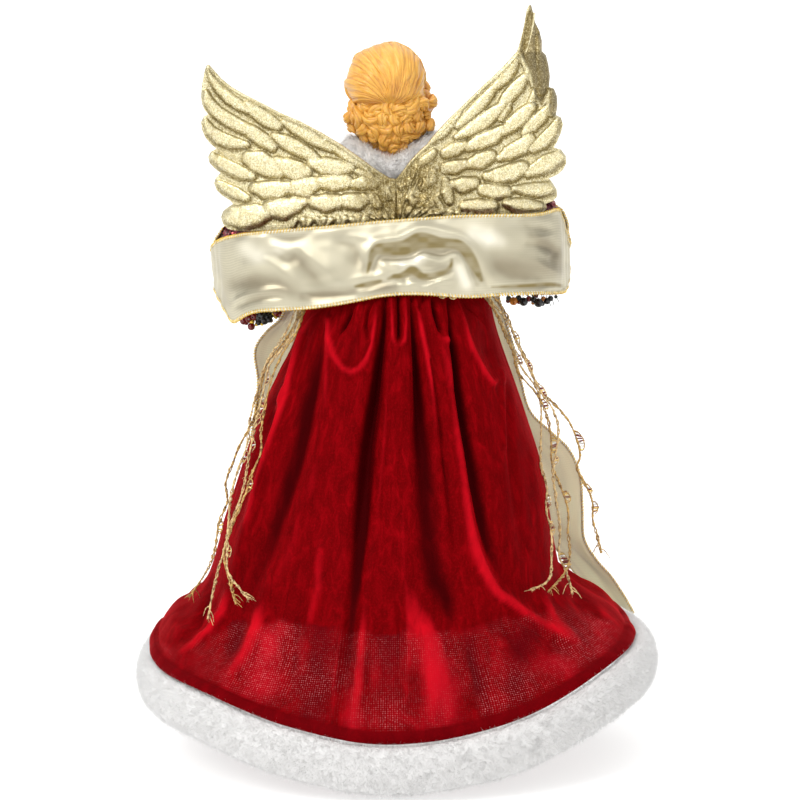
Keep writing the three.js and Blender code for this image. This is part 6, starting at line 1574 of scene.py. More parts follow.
# free edges of a wired ribbon wander a little
rip = 0.35 * noise3(U * 40, (t > 0.5) * 3.0, 1, 97) * (1 - edge_keep)
Q = P + N0 * (h + rip)[..., None]
N1 = grid_normals(Q)
if N1[nu // 2, nv // 2, 1] < 0:
    N1 = -N1
# painted shade on cloth turned under or facing down into a tuck
dvy = np.gradient(vy, axis=1) * 0.5
slope = np.gradient(h * facing, axis=1) / np.maximum(np.abs(dvy), 1e-3)
tuck_shade = np.clip(band(vx, vy, TUCK_SHADE_LINES, 1.5) * (0.85 + 0.3 * noise3(vx / 9, vy / 5, 0, 99)), 0, 1) * facing * edge_keep
# painted shade and painted reflection in broad areas, with a little random wobble
shade = np.clip(1.30 * relief(vx, vy, SHADES) + 0.10 * noise3(vx / 17, vy / 13, 0, 96), -1, 1) * facing * (1 - tuck_shade)
tuck_shade = np.maximum(tuck_shade, 0.35 * smooth(0.5, 1.3, -slope) * facing * edge_keep)
# painted shade in the fold valleys
dip = np.clip(smooth(0.25, 1.7, -h0 + 0.25 * noise3(vx / 7, vy / 7, 0, 98)) * 0.95, 0, 1) * facing * edge_keep * (1 - tuck_shade)
split = int(np.argmin(np.abs(P[:, nv // 2, 0] - SPLIT_X) + 1000 * (P[:, nv // 2, 1] < 20)))
halves = {}
for name, sl, body, s in (("stole_left", slice(0, split + 1), "arm_left", 1), ("stole_right", slice(split, nu), "arm_right", -1)):
    Qh, Nh, half_tuck_shade = Q[sl], N1[sl], tuck_shade[sl]
    # the sheet's own turn follows its normal
    ob = ribbon_piece(name, Qh, SASH, 0.42, half_tuck_shade, Nh, dip[sl], shade[sl])
    e1, e2 = edge_pieces(name, Qh, Nh, 101 + (s > 0) * 10)
    for o in (ob, e1, e2):
        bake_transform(o)
    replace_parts(ob, "sash_loop_left", "sash_back") if s > 0 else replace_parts(ob, "sash_loop_right")
    length = float(np.linalg.norm(np.diff(P[sl][:, nv // 2], axis=0), axis=1).sum())
    halves[name] = length

tail_len = {}
for name, sec, body, s in (("tail_left", TAIL_L, "arm_left", 1), ("tail_right", TAIL_R, "arm_right", -1)):
    nu, nv = (300, 40) if s > 0 else (380, 44)
    P = ribbon_grid(sec, nu, nv)
    N0 = grid_normals(P)
    U = np.linspace(0, 1, nu)[:, None] * np.ones((1, nv))
    t = np.linspace(0, 1, nv)[None, :]
    L = float(np.linalg.norm(np.diff(P[:, nv // 2], axis=0), axis=1).sum())
    h = 1.3 * noise3(U * L / 26, t * 1.2, s, 111) + 0.5 * noise3(U * L / 11, t * 2.5, s, 113)
    h += 1.0 * np.sin(np.pi * t * 2 + U * 5) * smooth(0, 0.15, U) * 0.8
    h += 1.1 * smooth(0.16, 0.0, U) * np.cos(2 * np.pi * t * 2.5)           # gathered where it is pinched at the arm
    keep = smooth(0.0, 0.08, t) * smooth(1.0, 0.92, t)
    Q = P + N0 * (h * (0.45 + 0.55 * keep))[..., None]
    N1 = grid_normals(Q)
    gy = np.gradient(h, axis=0) / np.maximum(np.linalg.norm(np.gradient(P, axis=0), axis=-1), 1e-3)
    # painted shade where the tail's ripples turn steeply
    ob = ribbon_piece(name, Q, TAIL, 0.42, smooth(0.10, 0.5, np.abs(gy)) * 0.6, N1)
    e1, e2 = edge_pieces(name, Q, N1, 121 + s)
    for o in (ob, e1, e2):
        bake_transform(o)
    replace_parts(ob, "ribbon_tail_left" if s > 0 else "ribbon_tail_right")
    tail_len[name] = L


# ------------------------------------------------------------------ head
HEAD_C = np.array([-0.5, -3.0, 245.0])


def almond(x, z, cx, cz, w, h_up, h_low, lift):
    """Signed share inside an almond shape: 1 at its middle, 0 on its outline."""
    u = (x - cx) / w
    zz = z - cz - lift * u
    top = h_up * np.clip(1 - u * u, 0, 1)
    low = -h_low * np.clip(1 - u * u, 0, 1)
    d = np.minimum((top - zz) / h_up, (zz - low) / h_low)
    return np.where(np.abs(u) < 1, d, -np.abs(u) + 1 - 0.2)


nu, nv = 340, 300
au = np.linspace(0, 1, nu, endpoint=False)
# columns are denser over the face, which looks along -Y
ang = 2 * np.pi * au
ang = ang - 0.62 * np.sin(ang)                          # 0 is the middle of the face
lat = np.linspace(0.004, np.pi - 0.004, nv)
lat = lat - 0.10 * np.sin(2 * lat)
A_, B_ = np.meshgrid(ang, lat, indexing="ij")
x = np.sin(B_) * np.sin(A_)
y = -np.sin(B_) * np.cos(A_)
z = np.cos(B_)
front = smooth(0.2, -0.9, y)
jaw = 1 - 0.26 * smooth(-0.1, -1, z) * smooth(0.4, -0.6, y)
ax = np.abs(x)
sgn = np.sign(x)
g2 = lambda a, b: np.exp(-a * a - b * b)
# nose: bridge, tip, wings and nostrils
bridge = 1.5 * np.exp(-(x / 0.085) ** 2) * smooth(0.16, -0.14, z) * smooth(-0.30, -0.20, z)
tip = 2.0 * g2(x / 0.105, (z + 0.175) / 0.075)
wings_ = 0.75 * g2((ax - 0.125) / 0.05, (z + 0.205) / 0.05)
nostril = -0.5 * g2((ax - 0.065) / 0.035, (z + 0.248) / 0.022)
under = -0.35 * g2(x / 0.05, (z + 0.315) / 0.05)
# eyes
socket = -0.85 * g2((ax - 0.335) / 0.17, (z - 0.045) / 0.105)
al = almond(ax, z, 0.335, 0.035, 0.135, 0.062, 0.040, 0.012)
ball_ = 0.62 * g2((ax - 0.335) / 0.125, (z - 0.038) / 0.085)
lid_line = np.exp(-((al - 0.02) / 0.20) ** 2) * (z > 0.03) * smooth(0.16, 0.12, np.abs(ax - 0.335))
low_line = np.exp(-((al + 0.05) / 0.16) ** 2) * (z <= 0.03) * smooth(0.16, 0.12, np.abs(ax - 0.335))
sink = -0.16 * smooth(0.05, 0.35, al)
crease = -0.22 * np.exp(-((z - 0.118 + 1.6 * (ax - 0.335) ** 2) / 0.016) ** 2) * smooth(0.17, 0.10, np.abs(ax - 0.335))
eyes = socket + ball_ + sink + 0.20 * lid_line + 0.10 * low_line + crease
brow_r = 0.42 * np.exp(-((z - 0.215 + 0.9 * (ax - 0.30) ** 2) / 0.075) ** 2) * smooth(0.62, 0.4, ax)
cheek = 0.75 * g2((ax - 0.42) / 0.20, (z + 0.20) / 0.19)
# mouth
mouth_z = -0.462 - 0.35 * ax ** 2 + 0.010 * np.exp(-(x / 0.03) ** 2) * -1 + 0.05 * smooth(0.12, 0.24, ax)
mw = smooth(0.215, 0.10, ax)
upper = 0.62 * np.exp(-((z - mouth_z - 0.040) / 0.036) ** 2) * mw * (1 - 0.25 * np.exp(-(x / 0.03) ** 2))
lower = 0.78 * np.exp(-((z - mouth_z + 0.050) / 0.044) ** 2) * smooth(0.17, 0.05, ax)
slit = -0.42 * np.exp(-((z - mouth_z) / 0.014) ** 2) * smooth(0.225, 0.17, ax)
corner = -0.25 * g2((ax - 0.225) / 0.03, (z - mouth_z) / 0.035)
chin = 1.05 * g2(x / 0.24, (z + 0.80) / 0.15)
dip = -0.35 * g2(x / 0.16, (z + 0.62) / 0.05)
relief_f = (bridge + tip + wings_ + nostril + under + eyes + brow_r + cheek + upper + lower + slit + corner + chin + dip) * front
X = HEAD_C[0] + x * 16.2 * jaw
Y = HEAD_C[1] + y * 18.2 - relief_f
Z = HEAD_C[2] + z * 20.5
V = np.stack([X, Y, Z], -1).reshape(-1, 3)
F = [grid_faces(nu, nv, wrap_u=True)]
cap0 = np.arange(nu) * nv
V = np.vstack([V, [[HEAD_C[0], HEAD_C[1], HEAD_C[2] + 20.5]], [[HEAD_C[0], HEAD_C[1] - 0.0, HEAD_C[2] - 20.5]]])
k = nu * nv
F.append(np.column_stack([cap0, np.roll(cap0, -1), np.full(nu, k)]))
F.append(np.column_stack([np.roll(cap0, -1) + nv - 1, cap0 + nv - 1, np.full(nu, k + 1)]))
fr = (front > 0.3).astype(float)
ir = np.hypot((ax - 0.330) / 0.80, (z - 0.040) / 0.63) * 1.0
inside_eye = smooth(0.02, 0.12, al) * fr
attr = {
    "white": inside_eye,
    "iris": inside_eye * smooth(0.062, 0.055, ir),
    "pupil": np.maximum(inside_eye * smooth(0.030, 0.024, ir), 0) * (1 - 1.0 * smooth(0.014, 0.010, np.hypot((x + 0.0 - sgn * 0.330 + 0.012) / 0.8, (z - 0.056) / 0.63))),
    "lash": np.clip(lid_line * 1.2 * smooth(-0.30, -0.02, al) * smooth(0.34, 0.10, al), 0, 1) * fr,
    "lips": np.clip(smooth(0.018, 0.034, 0.078 * mw ** 0.6 - np.abs(z - mouth_z - 0.006) * 0.9) * smooth(0.215, 0.195, ax), 0, 1) * fr,
    "blush": 0.42 * g2((ax - 0.46) / 0.16, (z + 0.20) / 0.13) * fr,
    "brow": np.clip(0.95 * np.exp(-((z - 0.248 + 0.62 * (ax - 0.315) ** 2) / (0.0165 - 0.018 * np.clip(ax - 0.25, 0, 1))) ** 2) * smooth(0.15, 0.22, ax) * smooth(0.53, 0.42, ax)
                    * (0.8 + 0.35 * noise3(ax * 60 + z * 30, z * 40, 0, 131)), 0, 1) * fr,
    "shade": np.clip(0.55 * np.exp(-((z - mouth_z) / 0.012) ** 2) * smooth(0.235, 0.19, ax) + 0.35 * g2((ax - 0.065) / 0.03, (z + 0.250) / 0.018) * 2
                     + 0.35 * np.exp(-((z - 0.118 + 1.6 * (ax - 0.335) ** 2) / 0.014) ** 2) * smooth(0.17, 0.10, np.abs(ax - 0.335)), 0, 1) * fr,
}
attr = {kk: np.concatenate([vv.ravel(), [0, 0]]) for kk, vv in attr.items()}
# neck joined on as its own closed tube inside the head and the collar
zs = np.linspace(206.2, 233, 26)
rn = 7.9 + 0.9 * smooth(214, 206, zs) + 0.7 * smooth(224, 233, zs)
Cn = np.column_stack([np.full(26, -0.2), np.full(26, -0.5), zs])
Vn, Fn = tube_mesh(Cn, rn, 48, None, True)
Vh, Fh = pack_parts([(V, F), (Vn, Fn)])
attr = {kk: np.concatenate([vv, np.zeros(len(Vn))]) for kk, vv in attr.items()}
head_ob = make("head_face", Vh, Fh, SKIN, attrs=attr, outward=True)
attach(head_ob, "base")
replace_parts(head_ob, "head")

# ------------------------------------------------------------------ hair
HAIR_EDGE = [(397, 43), (380, 44.5), (370, 47.5), (361, 51), (355, 55), (351.5, 62), (348, 70), (346.5, 77), (345.5, 84), (346.5, 91), (350, 98), (354, 104), (362, 109), (375, 112), (390, 113),
             (405, 111), (418, 106), (425, 98), (423.5, 90), (423.5, 82), (424.3, 75), (422, 66), (419.5, 60), (415, 55), (410, 49.5), (400, 44.5)]
PC = (386.5, 79.0)
edge_a = np.array([np.arctan2(-(yy - PC[1]), xx - PC[0]) for xx, yy in HAIR_EDGE])
edge_r = np.array([np.hypot(xx - PC[0], yy - PC[1]) for xx, yy in HAIR_EDGE])
o = np.argsort(edge_a)
edge_a, edge_r = edge_a[o], edge_r[o]
edge_a = np.concatenate([edge_a - 2 * np.pi, edge_a, edge_a + 2 * np.pi])
edge_r = np.concatenate([edge_r] * 3)
n_phi, n_psi = 520, 330
phi = 2 * np.pi * np.arange(n_phi) / n_phi
ps = np.linspace(0.006, np.pi - 0.006, n_psi)
PHI, PSI = np.meshgrid(phi, ps, indexing="ij")
Rr = np.interp((PHI + np.pi) % (2 * np.pi) - np.pi, edge_a, edge_r)
kern = np.ones(9) / 9
Rr = np.apply_along_axis(lambda c: np.convolve(np.concatenate([c[-4:], c, c[:4]]), kern, "valid"), 0, Rr)
sw = np.sin(PSI) ** 0.92
qx = PC[0] + Rr * sw * np.cos(PHI)
qy = PC[1] - Rr * sw * np.sin(PHI)
depth = 1.5 + 20.3 * np.sign(np.cos(PSI)) * np.abs(np.cos(PSI)) ** 0.96
# sweep of the strands: they rise from the nape of the roll, fan out and run over the crown to the hairline
bx, by = 389.0, 105.0
th = np.arctan2(bx - qx, by - qy)
rho = np.hypot(qx - bx, qy - by)
back_side = smooth(-0.25, 0.10, np.cos(PSI))
base_ph = th - 0.0125 * rho + np.sign(th) * 0.004 * rho * smooth(0.02, 0.7, np.abs(th))
# over the top the strands carry on to the front with the same sideways place
part_x = qx - PC[0] - 4.0
side_ph = np.sign(part_x) * (0.35 + (qy - 46 - 0.030 * part_x ** 2 - 3.0 * noise3(part_x / 13, qy / 15, 0, 139)) / 21.0) + part_x / 60
ph = lerp(side_ph, base_ph, back_side)
wob = 0.10 * noise3(ph * 3.0, rho / 22, 0, 141)
big = noise3(ph * 5.2 + wob * 4, rho / 60, 0, 143)
lock = np.abs(np.sin(ph * 9.5 + 1.9 * big + 1.3 * noise3(rho / 15, ph * 3, 1, 145)))
fine1 = np.sin(ph * 34 + 3.4 * noise3(rho / 13, ph * 6, 2, 147))
fine2 = np.sin(ph * 71 + 4.0 * noise3(rho / 9, ph * 12, 3, 149))
lock_h = lock ** 0.6
calm = np.exp(-(((qx - 391) / 20) ** 2) - (((qy - 63) / 17) ** 2)) * back_side
g = 0.42 * (lock_h - 0.7) + 0.30 * fine1 * (0.6 + 0.4 * noise3(ph * 9, rho / 9, 5, 151)) + 0.13 * fine2
amp = smooth(0.0, 12, rho) * (0.8 + 0.2 * back_side) * (1 - 0.72 * calm)
lumps = 0.8 * noise3(ph * 4.5, rho / 24, 2, 153) * smooth(24, 40, rho)
d = g * amp + lumps
# rolled-under rim at the lower edge of the back; the rim mask is painted shade under the roll
rim = smooth(96, 104, qy) * back_side
d += 0.9 * np.exp(-((qy - 96) / 5.0) ** 2) * back_side * smooth(420, 400, qx) * smooth(350, 362, qx)
C0 = np.array(from_view(np.array([PC[0]]), np.array([PC[1]]), np.array([1.5])))
hx, hz = from_view(qx, qy, depth)
P = np.stack([hx, depth, hz], -1)
ctr = np.array([C0[0][0], 1.5, C0[1][0]])
N = unit(P - ctr)
P = P + N * d[..., None]
# painted shade in the troughs of the locks and strand lines and under the rolled rim
low = np.clip(smooth(0.42, 0.10, lock) * 0.42 + 0.38 * smooth(0.0, -0.9, fine1) + 0.16 * smooth(0.0, -0.9, fine2) + 0.35 * rim, 0, 1) * (0.25 + 0.75 * amp)
# the rolled edge over the forehead: the same height on both sides
line = 257.4 - 2.9 * ((P[..., 0] + 0.5) / 14.5) ** 2
under = np.maximum(line - P[..., 2], 0) * smooth(-3, -9, P[..., 1])
P[..., 2] += 0.80 * under
Vp = P.reshape(-1, 3)
Fp = [grid_faces(n_phi, n_psi, wrap_u=True)]
Vp = np.vstack([Vp, P[:, 0].mean(0), P[:, -1].mean(0)])
i0 = np.arange(n_phi) * n_psi
kk = n_phi * n_psi
Fp.append(np.column_stack([np.roll(i0, -1), i0, np.full(n_phi, kk)]))
Fp.append(np.column_stack([i0 + n_psi - 1, np.roll(i0, -1) + n_psi - 1, np.full(n_phi, kk + 1)]))
hair_shell_shade = np.concatenate([low.ravel(), [0.3, 0.3]])
hair_parts = [(Vp, Fp)]
hair_shade_parts = [hair_shell_shade]


def curl(c, n, up, R, turns, thick, hand, seed, tail=0.0):
    """A moulded lock of hair: a fat bent lump with fine strand lines along it, and a smaller one tucked into its bend."""
    rr = np.random.default_rng(seed)
    n = np.asarray(n, float)
    n = n / np.linalg.norm(n)
    e1 = np.asarray(up, float)
    e1 = e1 - n * np.dot(e1, n)
    e1 = e1 / np.linalg.norm(e1)
    e2 = np.cross(n, e1) * hand
    parts, curl_shade_parts = [], []
    nu, nv = 44, 40
    for k_, (sz, bend, ox, oy, oz) in enumerate(((1.0, rr.uniform(0.55, 0.95), 0.0, 0.0, 0.0), (0.62, rr.uniform(0.3, 0.8), rr.uniform(-0.25, 0.25), 0.62, 0.16))):
        L_, W_, H_ = R * sz * rr.uniform(1.25, 1.6), R * sz * rr.uniform(0.62, 0.80), R * sz * rr.uniform(0.70, 0.90)
        u = np.linspace(-1, 1, nu)[:, None]
        v = (2 * np.pi * np.arange(nv) / nv)[None, :]
        prof = np.sqrt(np.maximum(1 - np.abs(u) ** 2.4, 0.0)) * (1 + 0.10 * noise3(u * 1.5, seed, k_, 7))
        tw = rr.uniform(0.5, 1.5) * u + rr.uniform(0, 6)
        g1 = np.abs(np.sin(2.5 * (v + tw)))
        g2 = np.sin(9 * (v + 0.8 * tw) + 2.0 * noise3(u * 3, v * 0 + seed, k_, 9))
        w = 1 + 0.15 * (g1 ** 0.7 - 0.65) + 0.035 * g2
        x = L_ * u + 0 * v
        y = W_ * prof * w * np.cos(v) + bend * R * sz * (u ** 2 - 0.35)
        z = H_ * prof * w * np.sin(v) - 0.25 * R * sz * u ** 2
        P_ = np.asarray(c)[None, None] + (x + ox * R)[..., None] * e1 + (y + oy * R)[..., None] * e2 + (z + oz * R)[..., None] * n
        Vc = P_.reshape(-1, 3)
        F_ = [grid_faces(nu, nv, wrap_v=True)]
        Vc = np.vstack([Vc, P_[0].mean(0), P_[-1].mean(0)])
        jj = np.arange(nv)
        F_.append(np.column_stack([jj, np.roll(jj, -1), np.full(nv, nu * nv)]))
        F_.append(np.column_stack([np.roll(jj, -1) + (nu - 1) * nv, jj + (nu - 1) * nv, np.full(nv, nu * nv + 1)]))
        # painted shade in the strand grooves and on the underside of each lock
        curl_shade = 0.62 * smooth(0.50, 0.12, g1) + 0.22 * smooth(-0.2, -0.9, g2) + 0.75 * smooth(0.25, -0.35, np.sin(v) * prof) + 0 * u
        parts.append((Vc, F_))
        curl_shade_parts.append(np.concatenate([np.clip(curl_shade, 0, 1).ravel(), [0.7, 0.7]]))
    V, F = pack_parts(parts)
    return (V, F), np.concatenate(curl_shade_parts)


# outline of the curls by height in the view plane: y, left x, right x, depth of the head there
CURL_ROWS = np.array([(96, 352, 428, 16.5), (103, 354, 436, 17.5), (108, 350, 436, 18), (113, 345, 431.5, 18), (119, 342.5, 432, 17.6), (124, 344.5, 435, 17), (128, 349, 436, 16.4), (133, 351, 430, 15.5),
                      (138, 358, 423, 14.6), (143, 371, 414, 13.4), (148, 379, 408.5, 12.2), (153, 388, 404, 11), (158, 395, 400, 10)])
CURLS = [  # x, y, size, turns, hand, angle of the start
    (353, 108, 6.0, 1.3, 1, 0.4), (364, 106, 6.6, 1.5, -1, 1.0), (376, 109, 6.4, 1.6, 1, 2.0), (388, 107, 6.8, 1.5, -1, 0.2), (400, 109, 6.4, 1.5, 1, 1.4), (412, 106, 6.8, 1.6, -1, 2.4), (423, 104, 6.4, 1.4, 1, 0.9), (432, 102.5, 5.4, 1.4, -1, 2.2),
    (348, 118, 5.8, 1.4, -1, 2.2), (358, 117, 6.8, 1.6, 1, 0.1), (370, 119, 6.4, 1.5, -1, 1.4), (382, 118, 6.6, 1.7, 1, 2.8), (394, 119, 6.2, 1.5, -1, 0.7), (406, 117, 6.8, 1.6, 1, 1.9), (417, 116, 6.2, 1.5, -1, 0.3), (427, 115, 5.4, 1.4, 1, 1.2),
    (351, 127, 5.2, 1.4, 1, 1.2), (362, 128, 6.2, 1.5, -1, 2.6), (374, 129, 6.4, 1.6, 1, 0.6), (386, 129, 6.2, 1.5, -1, 1.8), (398, 129, 6.4, 1.6, 1, 2.9), (409, 127, 6.2, 1.6, -1, 0.9), (420, 126, 6.2, 1.4, 1, 2.2), (430, 125.5, 5.6, 1.4, -1, 0.4),
    (364, 136.5, 5.0, 1.4, 1, 0.4), (374, 138, 5.4, 1.5, -1, 1.7), (385, 138.5, 5.6, 1.5, 1, 2.5), (396, 138.5, 5.4, 1.5, -1, 0.3), (407, 137, 5.2, 1.5, 1, 1.2), (416, 134.5, 4.6, 1.3, -1, 2.0),
    (368.5, 141.5, 4.6, 1.4, 1, 1.1), (375.5, 144.5, 4.6, 1.4, -1, 2.2), (384, 146, 4.6, 1.4, -1, 0.9), (393.5, 147, 4.8, 1.5, 1, 1.9), (403, 146, 4.6, 1.4, -1, 2.7), (397, 153, 3.6, 1.3, 1, 0.6),
]
rng_size = np.random.default_rng(158)
for i, (px_, py_, size, turns, hand, a0) in enumerate(CURLS):
    lx, rx, dp = [np.interp(py_, CURL_ROWS[:, 0], CURL_ROWS[:, kx]) for kx in (1, 2, 3)]
    cx_, hw = (lx + rx) / 2, (rx - lx) / 2
    u = np.clip((px_ - cx_) / hw, -0.93, 0.93)
    R = size * 0.5
    yd = -2.0 + (dp - 0.9) * np.sqrt(1 - u * u) if abs(u) < 0.93 else -2.0 + (dp - 1) * 0.36
    X_, Z_ = from_view(np.array([px_ * 1.0]), np.array([py_ * 1.0]), np.array([yd]))
    nrm = np.array([-u * 1.0, np.sqrt(max(0.05, 1 - u * u)), -0.25 * smooth(118, 150, py_)])
    up = np.array([np.sin(a0) * np.sqrt(max(0.1, 1 - u * u)), np.sin(a0) * u, np.cos(a0)])
    part_, curl_shade = curl((X_[0], yd - 0.4, Z_[0]), nrm, up, R * rng_size.uniform(0.90, 1.22), turns, 1.55 * size / 6.2, hand, 160 + i)
    hair_parts.append(part_)
    hair_shade_parts.append(curl_shade)
# sides and front: curls down both temples to the jaw
r = np.random.default_rng(171)
for s in (1, -1):
    for j, (dx, dy, dz, size) in enumerate([(19.5, -3, 247, 6.4), (18.5, -9.5, 252, 6.0), (16.4, -13.5, 257, 5.6), (19.6, -8.0, 243, 6.6), (18.0, -12.5, 246.5, 5.4), (19.0, -1.5, 239, 6.4), (18.6, -8.5, 236, 6.0),
                                            (16.8, -12.5, 240, 5.4), (17.2, -3, 232, 5.6), (15.6, -9.0, 230.5, 5.0), (20.3, -2.5, 243.5, 5.6), (16.8, -12.0, 234.6, 4.4), (13.8, -14.8, 260.5, 5.0)]):
        off = (-0.6 if s > 0 else 0.4)
        c = (s * dx * 0.94 + off, dy, dz + (0 if s > 0 else 0.8))
        n = np.array([s * dx, dy * 0.9, (dz - 245) * 0.25])
        a0 = r.uniform(0, 6.28)
        part_, curl_shade = curl(c, n, (0.2 * s, np.sin(a0), np.cos(a0)), size * 0.5, r.uniform(1.3, 1.7), 1.55 * size / 6.2, 1 if r.random() < 0.5 else -1, 180 + j + 20 * s)
        hair_parts.append(part_)
        hair_shade_parts.append(curl_shade)
# soft waves along the hairline, turned away from the middle
for j, t in enumerate(np.linspace(-1, 1, 13)):
    for row, (rise, out_, size) in enumerate(((0.0, 0.35, 3.3), (3.6, 1.35, 3.5))):
        t_ = t + (0.08 if row else 0.0)
        x_ = -0.5 + 14.6 * np.sin(1.02 * t_)
        z_ = 257.2 + rise - 3.0 * abs(t_) ** 1.8
        y_ = -3.0 - 18.2 * np.sqrt(max(0.04, 1 - ((x_ + 0.5) / 16.2) ** 2 - ((z_ - 245.0) / 20.5) ** 2)) - out_
        n = np.array([(x_ + 0.5) / 16.2, (y_ + 3.0) / 18.2, (z_ - 245.0) / 30.0])
        turn_ = np.sign(t_ + 1e-6) * (0.75 + 0.25 * r.random())
        part_, curl_shade = curl((x_, y_, z_), n, (turn_, 0.0, -0.55 - 0.3 * r.random()), size * r.uniform(0.86, 1.08), 1.4, 1.25, 1 if t_ > 0 else -1, 230 + 2 * j + row)
        hair_parts.append(part_)
        hair_shade_parts.append(curl_shade * 0.8)
# mass under the curls, so that no skin shows between them
nb, mb = 120, 90
a = 2 * np.pi * np.arange(nb) / nb
tt = np.linspace(0, 1, mb)
rows = []
for q in tt:
    py_ = lerp(92, 157, q)
    lx, rx, dp = [np.interp(py_, CURL_ROWS[:, 0], CURL_ROWS[:, kx]) for kx in (1, 2, 3)]
    hw = max((rx - lx) / 4 - 1.5, 1.0)
    dd = max(dp - 0.6, 2)
    X_, Z_ = from_view(np.array([(lx + rx) / 2]), np.array([py_]), np.array([3.0]))
    c, s_ = np.cos(a), np.sin(a)
    keep_y = np.where(s_ > 0, -2.0 + dd * s_, -2.0 + (9.5 - 5.5 * smooth(0.6, 1, q)) * s_)
    rr_ = 1 + 0.04 * noise3(c * 3, s_ * 3, q * 9, 191)
    rows.append(np.stack([X_[0] + hw * c * rr_, keep_y, np.full(nb, Z_[0])], -1))
rows = np.array(rows)
Vb = rows.reshape(-1, 3)
Fb = [grid_faces(mb, nb, wrap_v=True)]
Vb = np.vstack([Vb, rows[0].mean(0), rows[-1].mean(0)])
j0 = np.arange(nb)
Fb.append(np.column_stack([j0, np.roll(j0, -1), np.full(nb, mb * nb)]))
Fb.append(np.column_stack([np.roll(j0, -1) + (mb - 1) * nb, j0 + (mb - 1) * nb, np.full(nb, mb * nb + 1)]))
hair_parts.append((Vb, Fb))
# painted shade on the mass under the curls
hair_shade_parts.append(0.46 + 0.30 * noise3(Vb[:, 0] / 2.2, Vb[:, 1] / 2.2, Vb[:, 2] / 7.0, 193))
V, F = pack_parts(hair_parts)
hair_ob = make("hair_moulded", V, F, HAIR, attrs={"low": np.concatenate(hair_shade_parts)}, outward=True)
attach(hair_ob, "base")
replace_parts(hair_ob, "hair")

# ------------------------------------------------------------------ fur collar
n, m = 260, 40
a = 2 * np.pi * np.arange(n) / n
c, s_ = np.cos(a), np.sin(a)
side = np.abs(c) ** 1.5
fr_, bk = np.maximum(0, -s_), np.maximum(0, s_)
zc = 212.6 + 5.2 * side + np.where(c < 0, 2.5 * side, 0) + 0.4 * fr_
hh = 6.4 + 4.0 * side * (1 - 0.3 * fr_) + 0.6 * fr_
R = 19.0 * (1 - 0.06 * bk)
b = (2 * np.pi * np.arange(m) / m)[None, :]
rr_ = R[:, None] + 5.6 * np.cos(b) + 0.09 * hh[:, None] * np.sin(b)
P = np.stack([-0.2 + rr_ * c[:, None], -0.8 + rr_ * s_[:, None] * 0.93, zc[:, None] + hh[:, None] * np.sin(b)], -1)
N = unit(np.stack([np.cos(b) * c[:, None], np.cos(b) * s_[:, None], np.sin(b) * 0.8 * np.ones((n, 1))], -1))
P = P + N * (0.9 * fbm(P[..., 0] / 6, P[..., 1] / 6, P[..., 2] / 6, 3, 201))[..., None]
collar = make("fur_collar_pile", P.reshape(-1, 3), grid_faces(n, m, wrap_u=True, wrap_v=True), FUR_GREY, outward=True)
Q, QN = ring_roots(P, N, 21000, 203)
V, F = strands(Q, QN, 3.0, 0.26, 205, bias=(0, 0, 0.12), clump=4.5, lay=0.8, rnd=0.38)
collar_f = make("fur_collar_fibres", V, F, FUR_GREY)
# a few long loose hairs on the right
stray = []
for k, (x0, y0, x1, y1, bend) in enumerate([(431, 130, 449, 105, 2), (429, 134, 445, 116, -2), (432, 128, 441, 117, 1.5), (433, 126, 438, 117, -1), (424, 136, 431, 119, 1), (428, 131, 433, 121, 0.5),
                                            (345, 140, 338, 141.5, 0.5), (351, 135, 344, 133.5, 0.4), (421, 140, 427, 131, 0.6)]):
    t_ = np.linspace(0, 1, 9)
    vx_ = lerp(x0, x1, t_) + bend * np.sin(np.pi * t_)
    vy_ = lerp(y0, y1, t_) + 0.6 * bend * np.sin(np.pi * t_)
    yy = 6 - 2 * t_
    X_, Z_ = from_view(vx_, vy_, yy)
    stray.append(tube_mesh(np.column_stack([X_, yy, Z_]), 0.16 * (1 - 0.6 * t_), 5))
V, F = pack_parts(stray)
collar_s = make("fur_collar_long_hairs", V, F, FUR_GREY)
for o in (collar, collar_f, collar_s):
    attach(o, "base")
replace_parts(collar, "fur_collar")


# ------------------------------------------------------------------ sleeves, beads and hands
SLEEVE_SEC = [
    [(33.0, 0.6, 199.8), (0, 9.4, 0), (0.2, 0, 8.6)],
    [(37.6, 1, 199.0), (0, 10, 0), (0.5, 0, 10)],
    [(46, 2.2, 194.0), (0, 11, 0), (3.9, 0, 10.2)],
    [(56, 2.6, 187.6), (2.0, 11.2, 0), (5.0, 0, 10.8)],
    [(66, 0.6, 181.2), (5.0, 10.4, 0), (4.2, -0.6, 12.0)],
    [(72.2, -5.4, 176.4), (9.2, 7.4, 0), (2.4, -1.8, 13.4)],
    [(73.0, -14.0, 171.6), (11.4, 2.6, 0), (0.8, -2.6, 15.2)],
    [(71.0, -24.0, 167.6), (12.0, 0.8, 0), (0, -4.4, 17.4)],
    [(68.6, -33.0, 164.6), (12.4, 0, 0), (0, -7.0, 19.4)],
    [(66.8, -40.0, 162.6), (12.8, 0, 0), (0, -8.0, 20.6)],
]


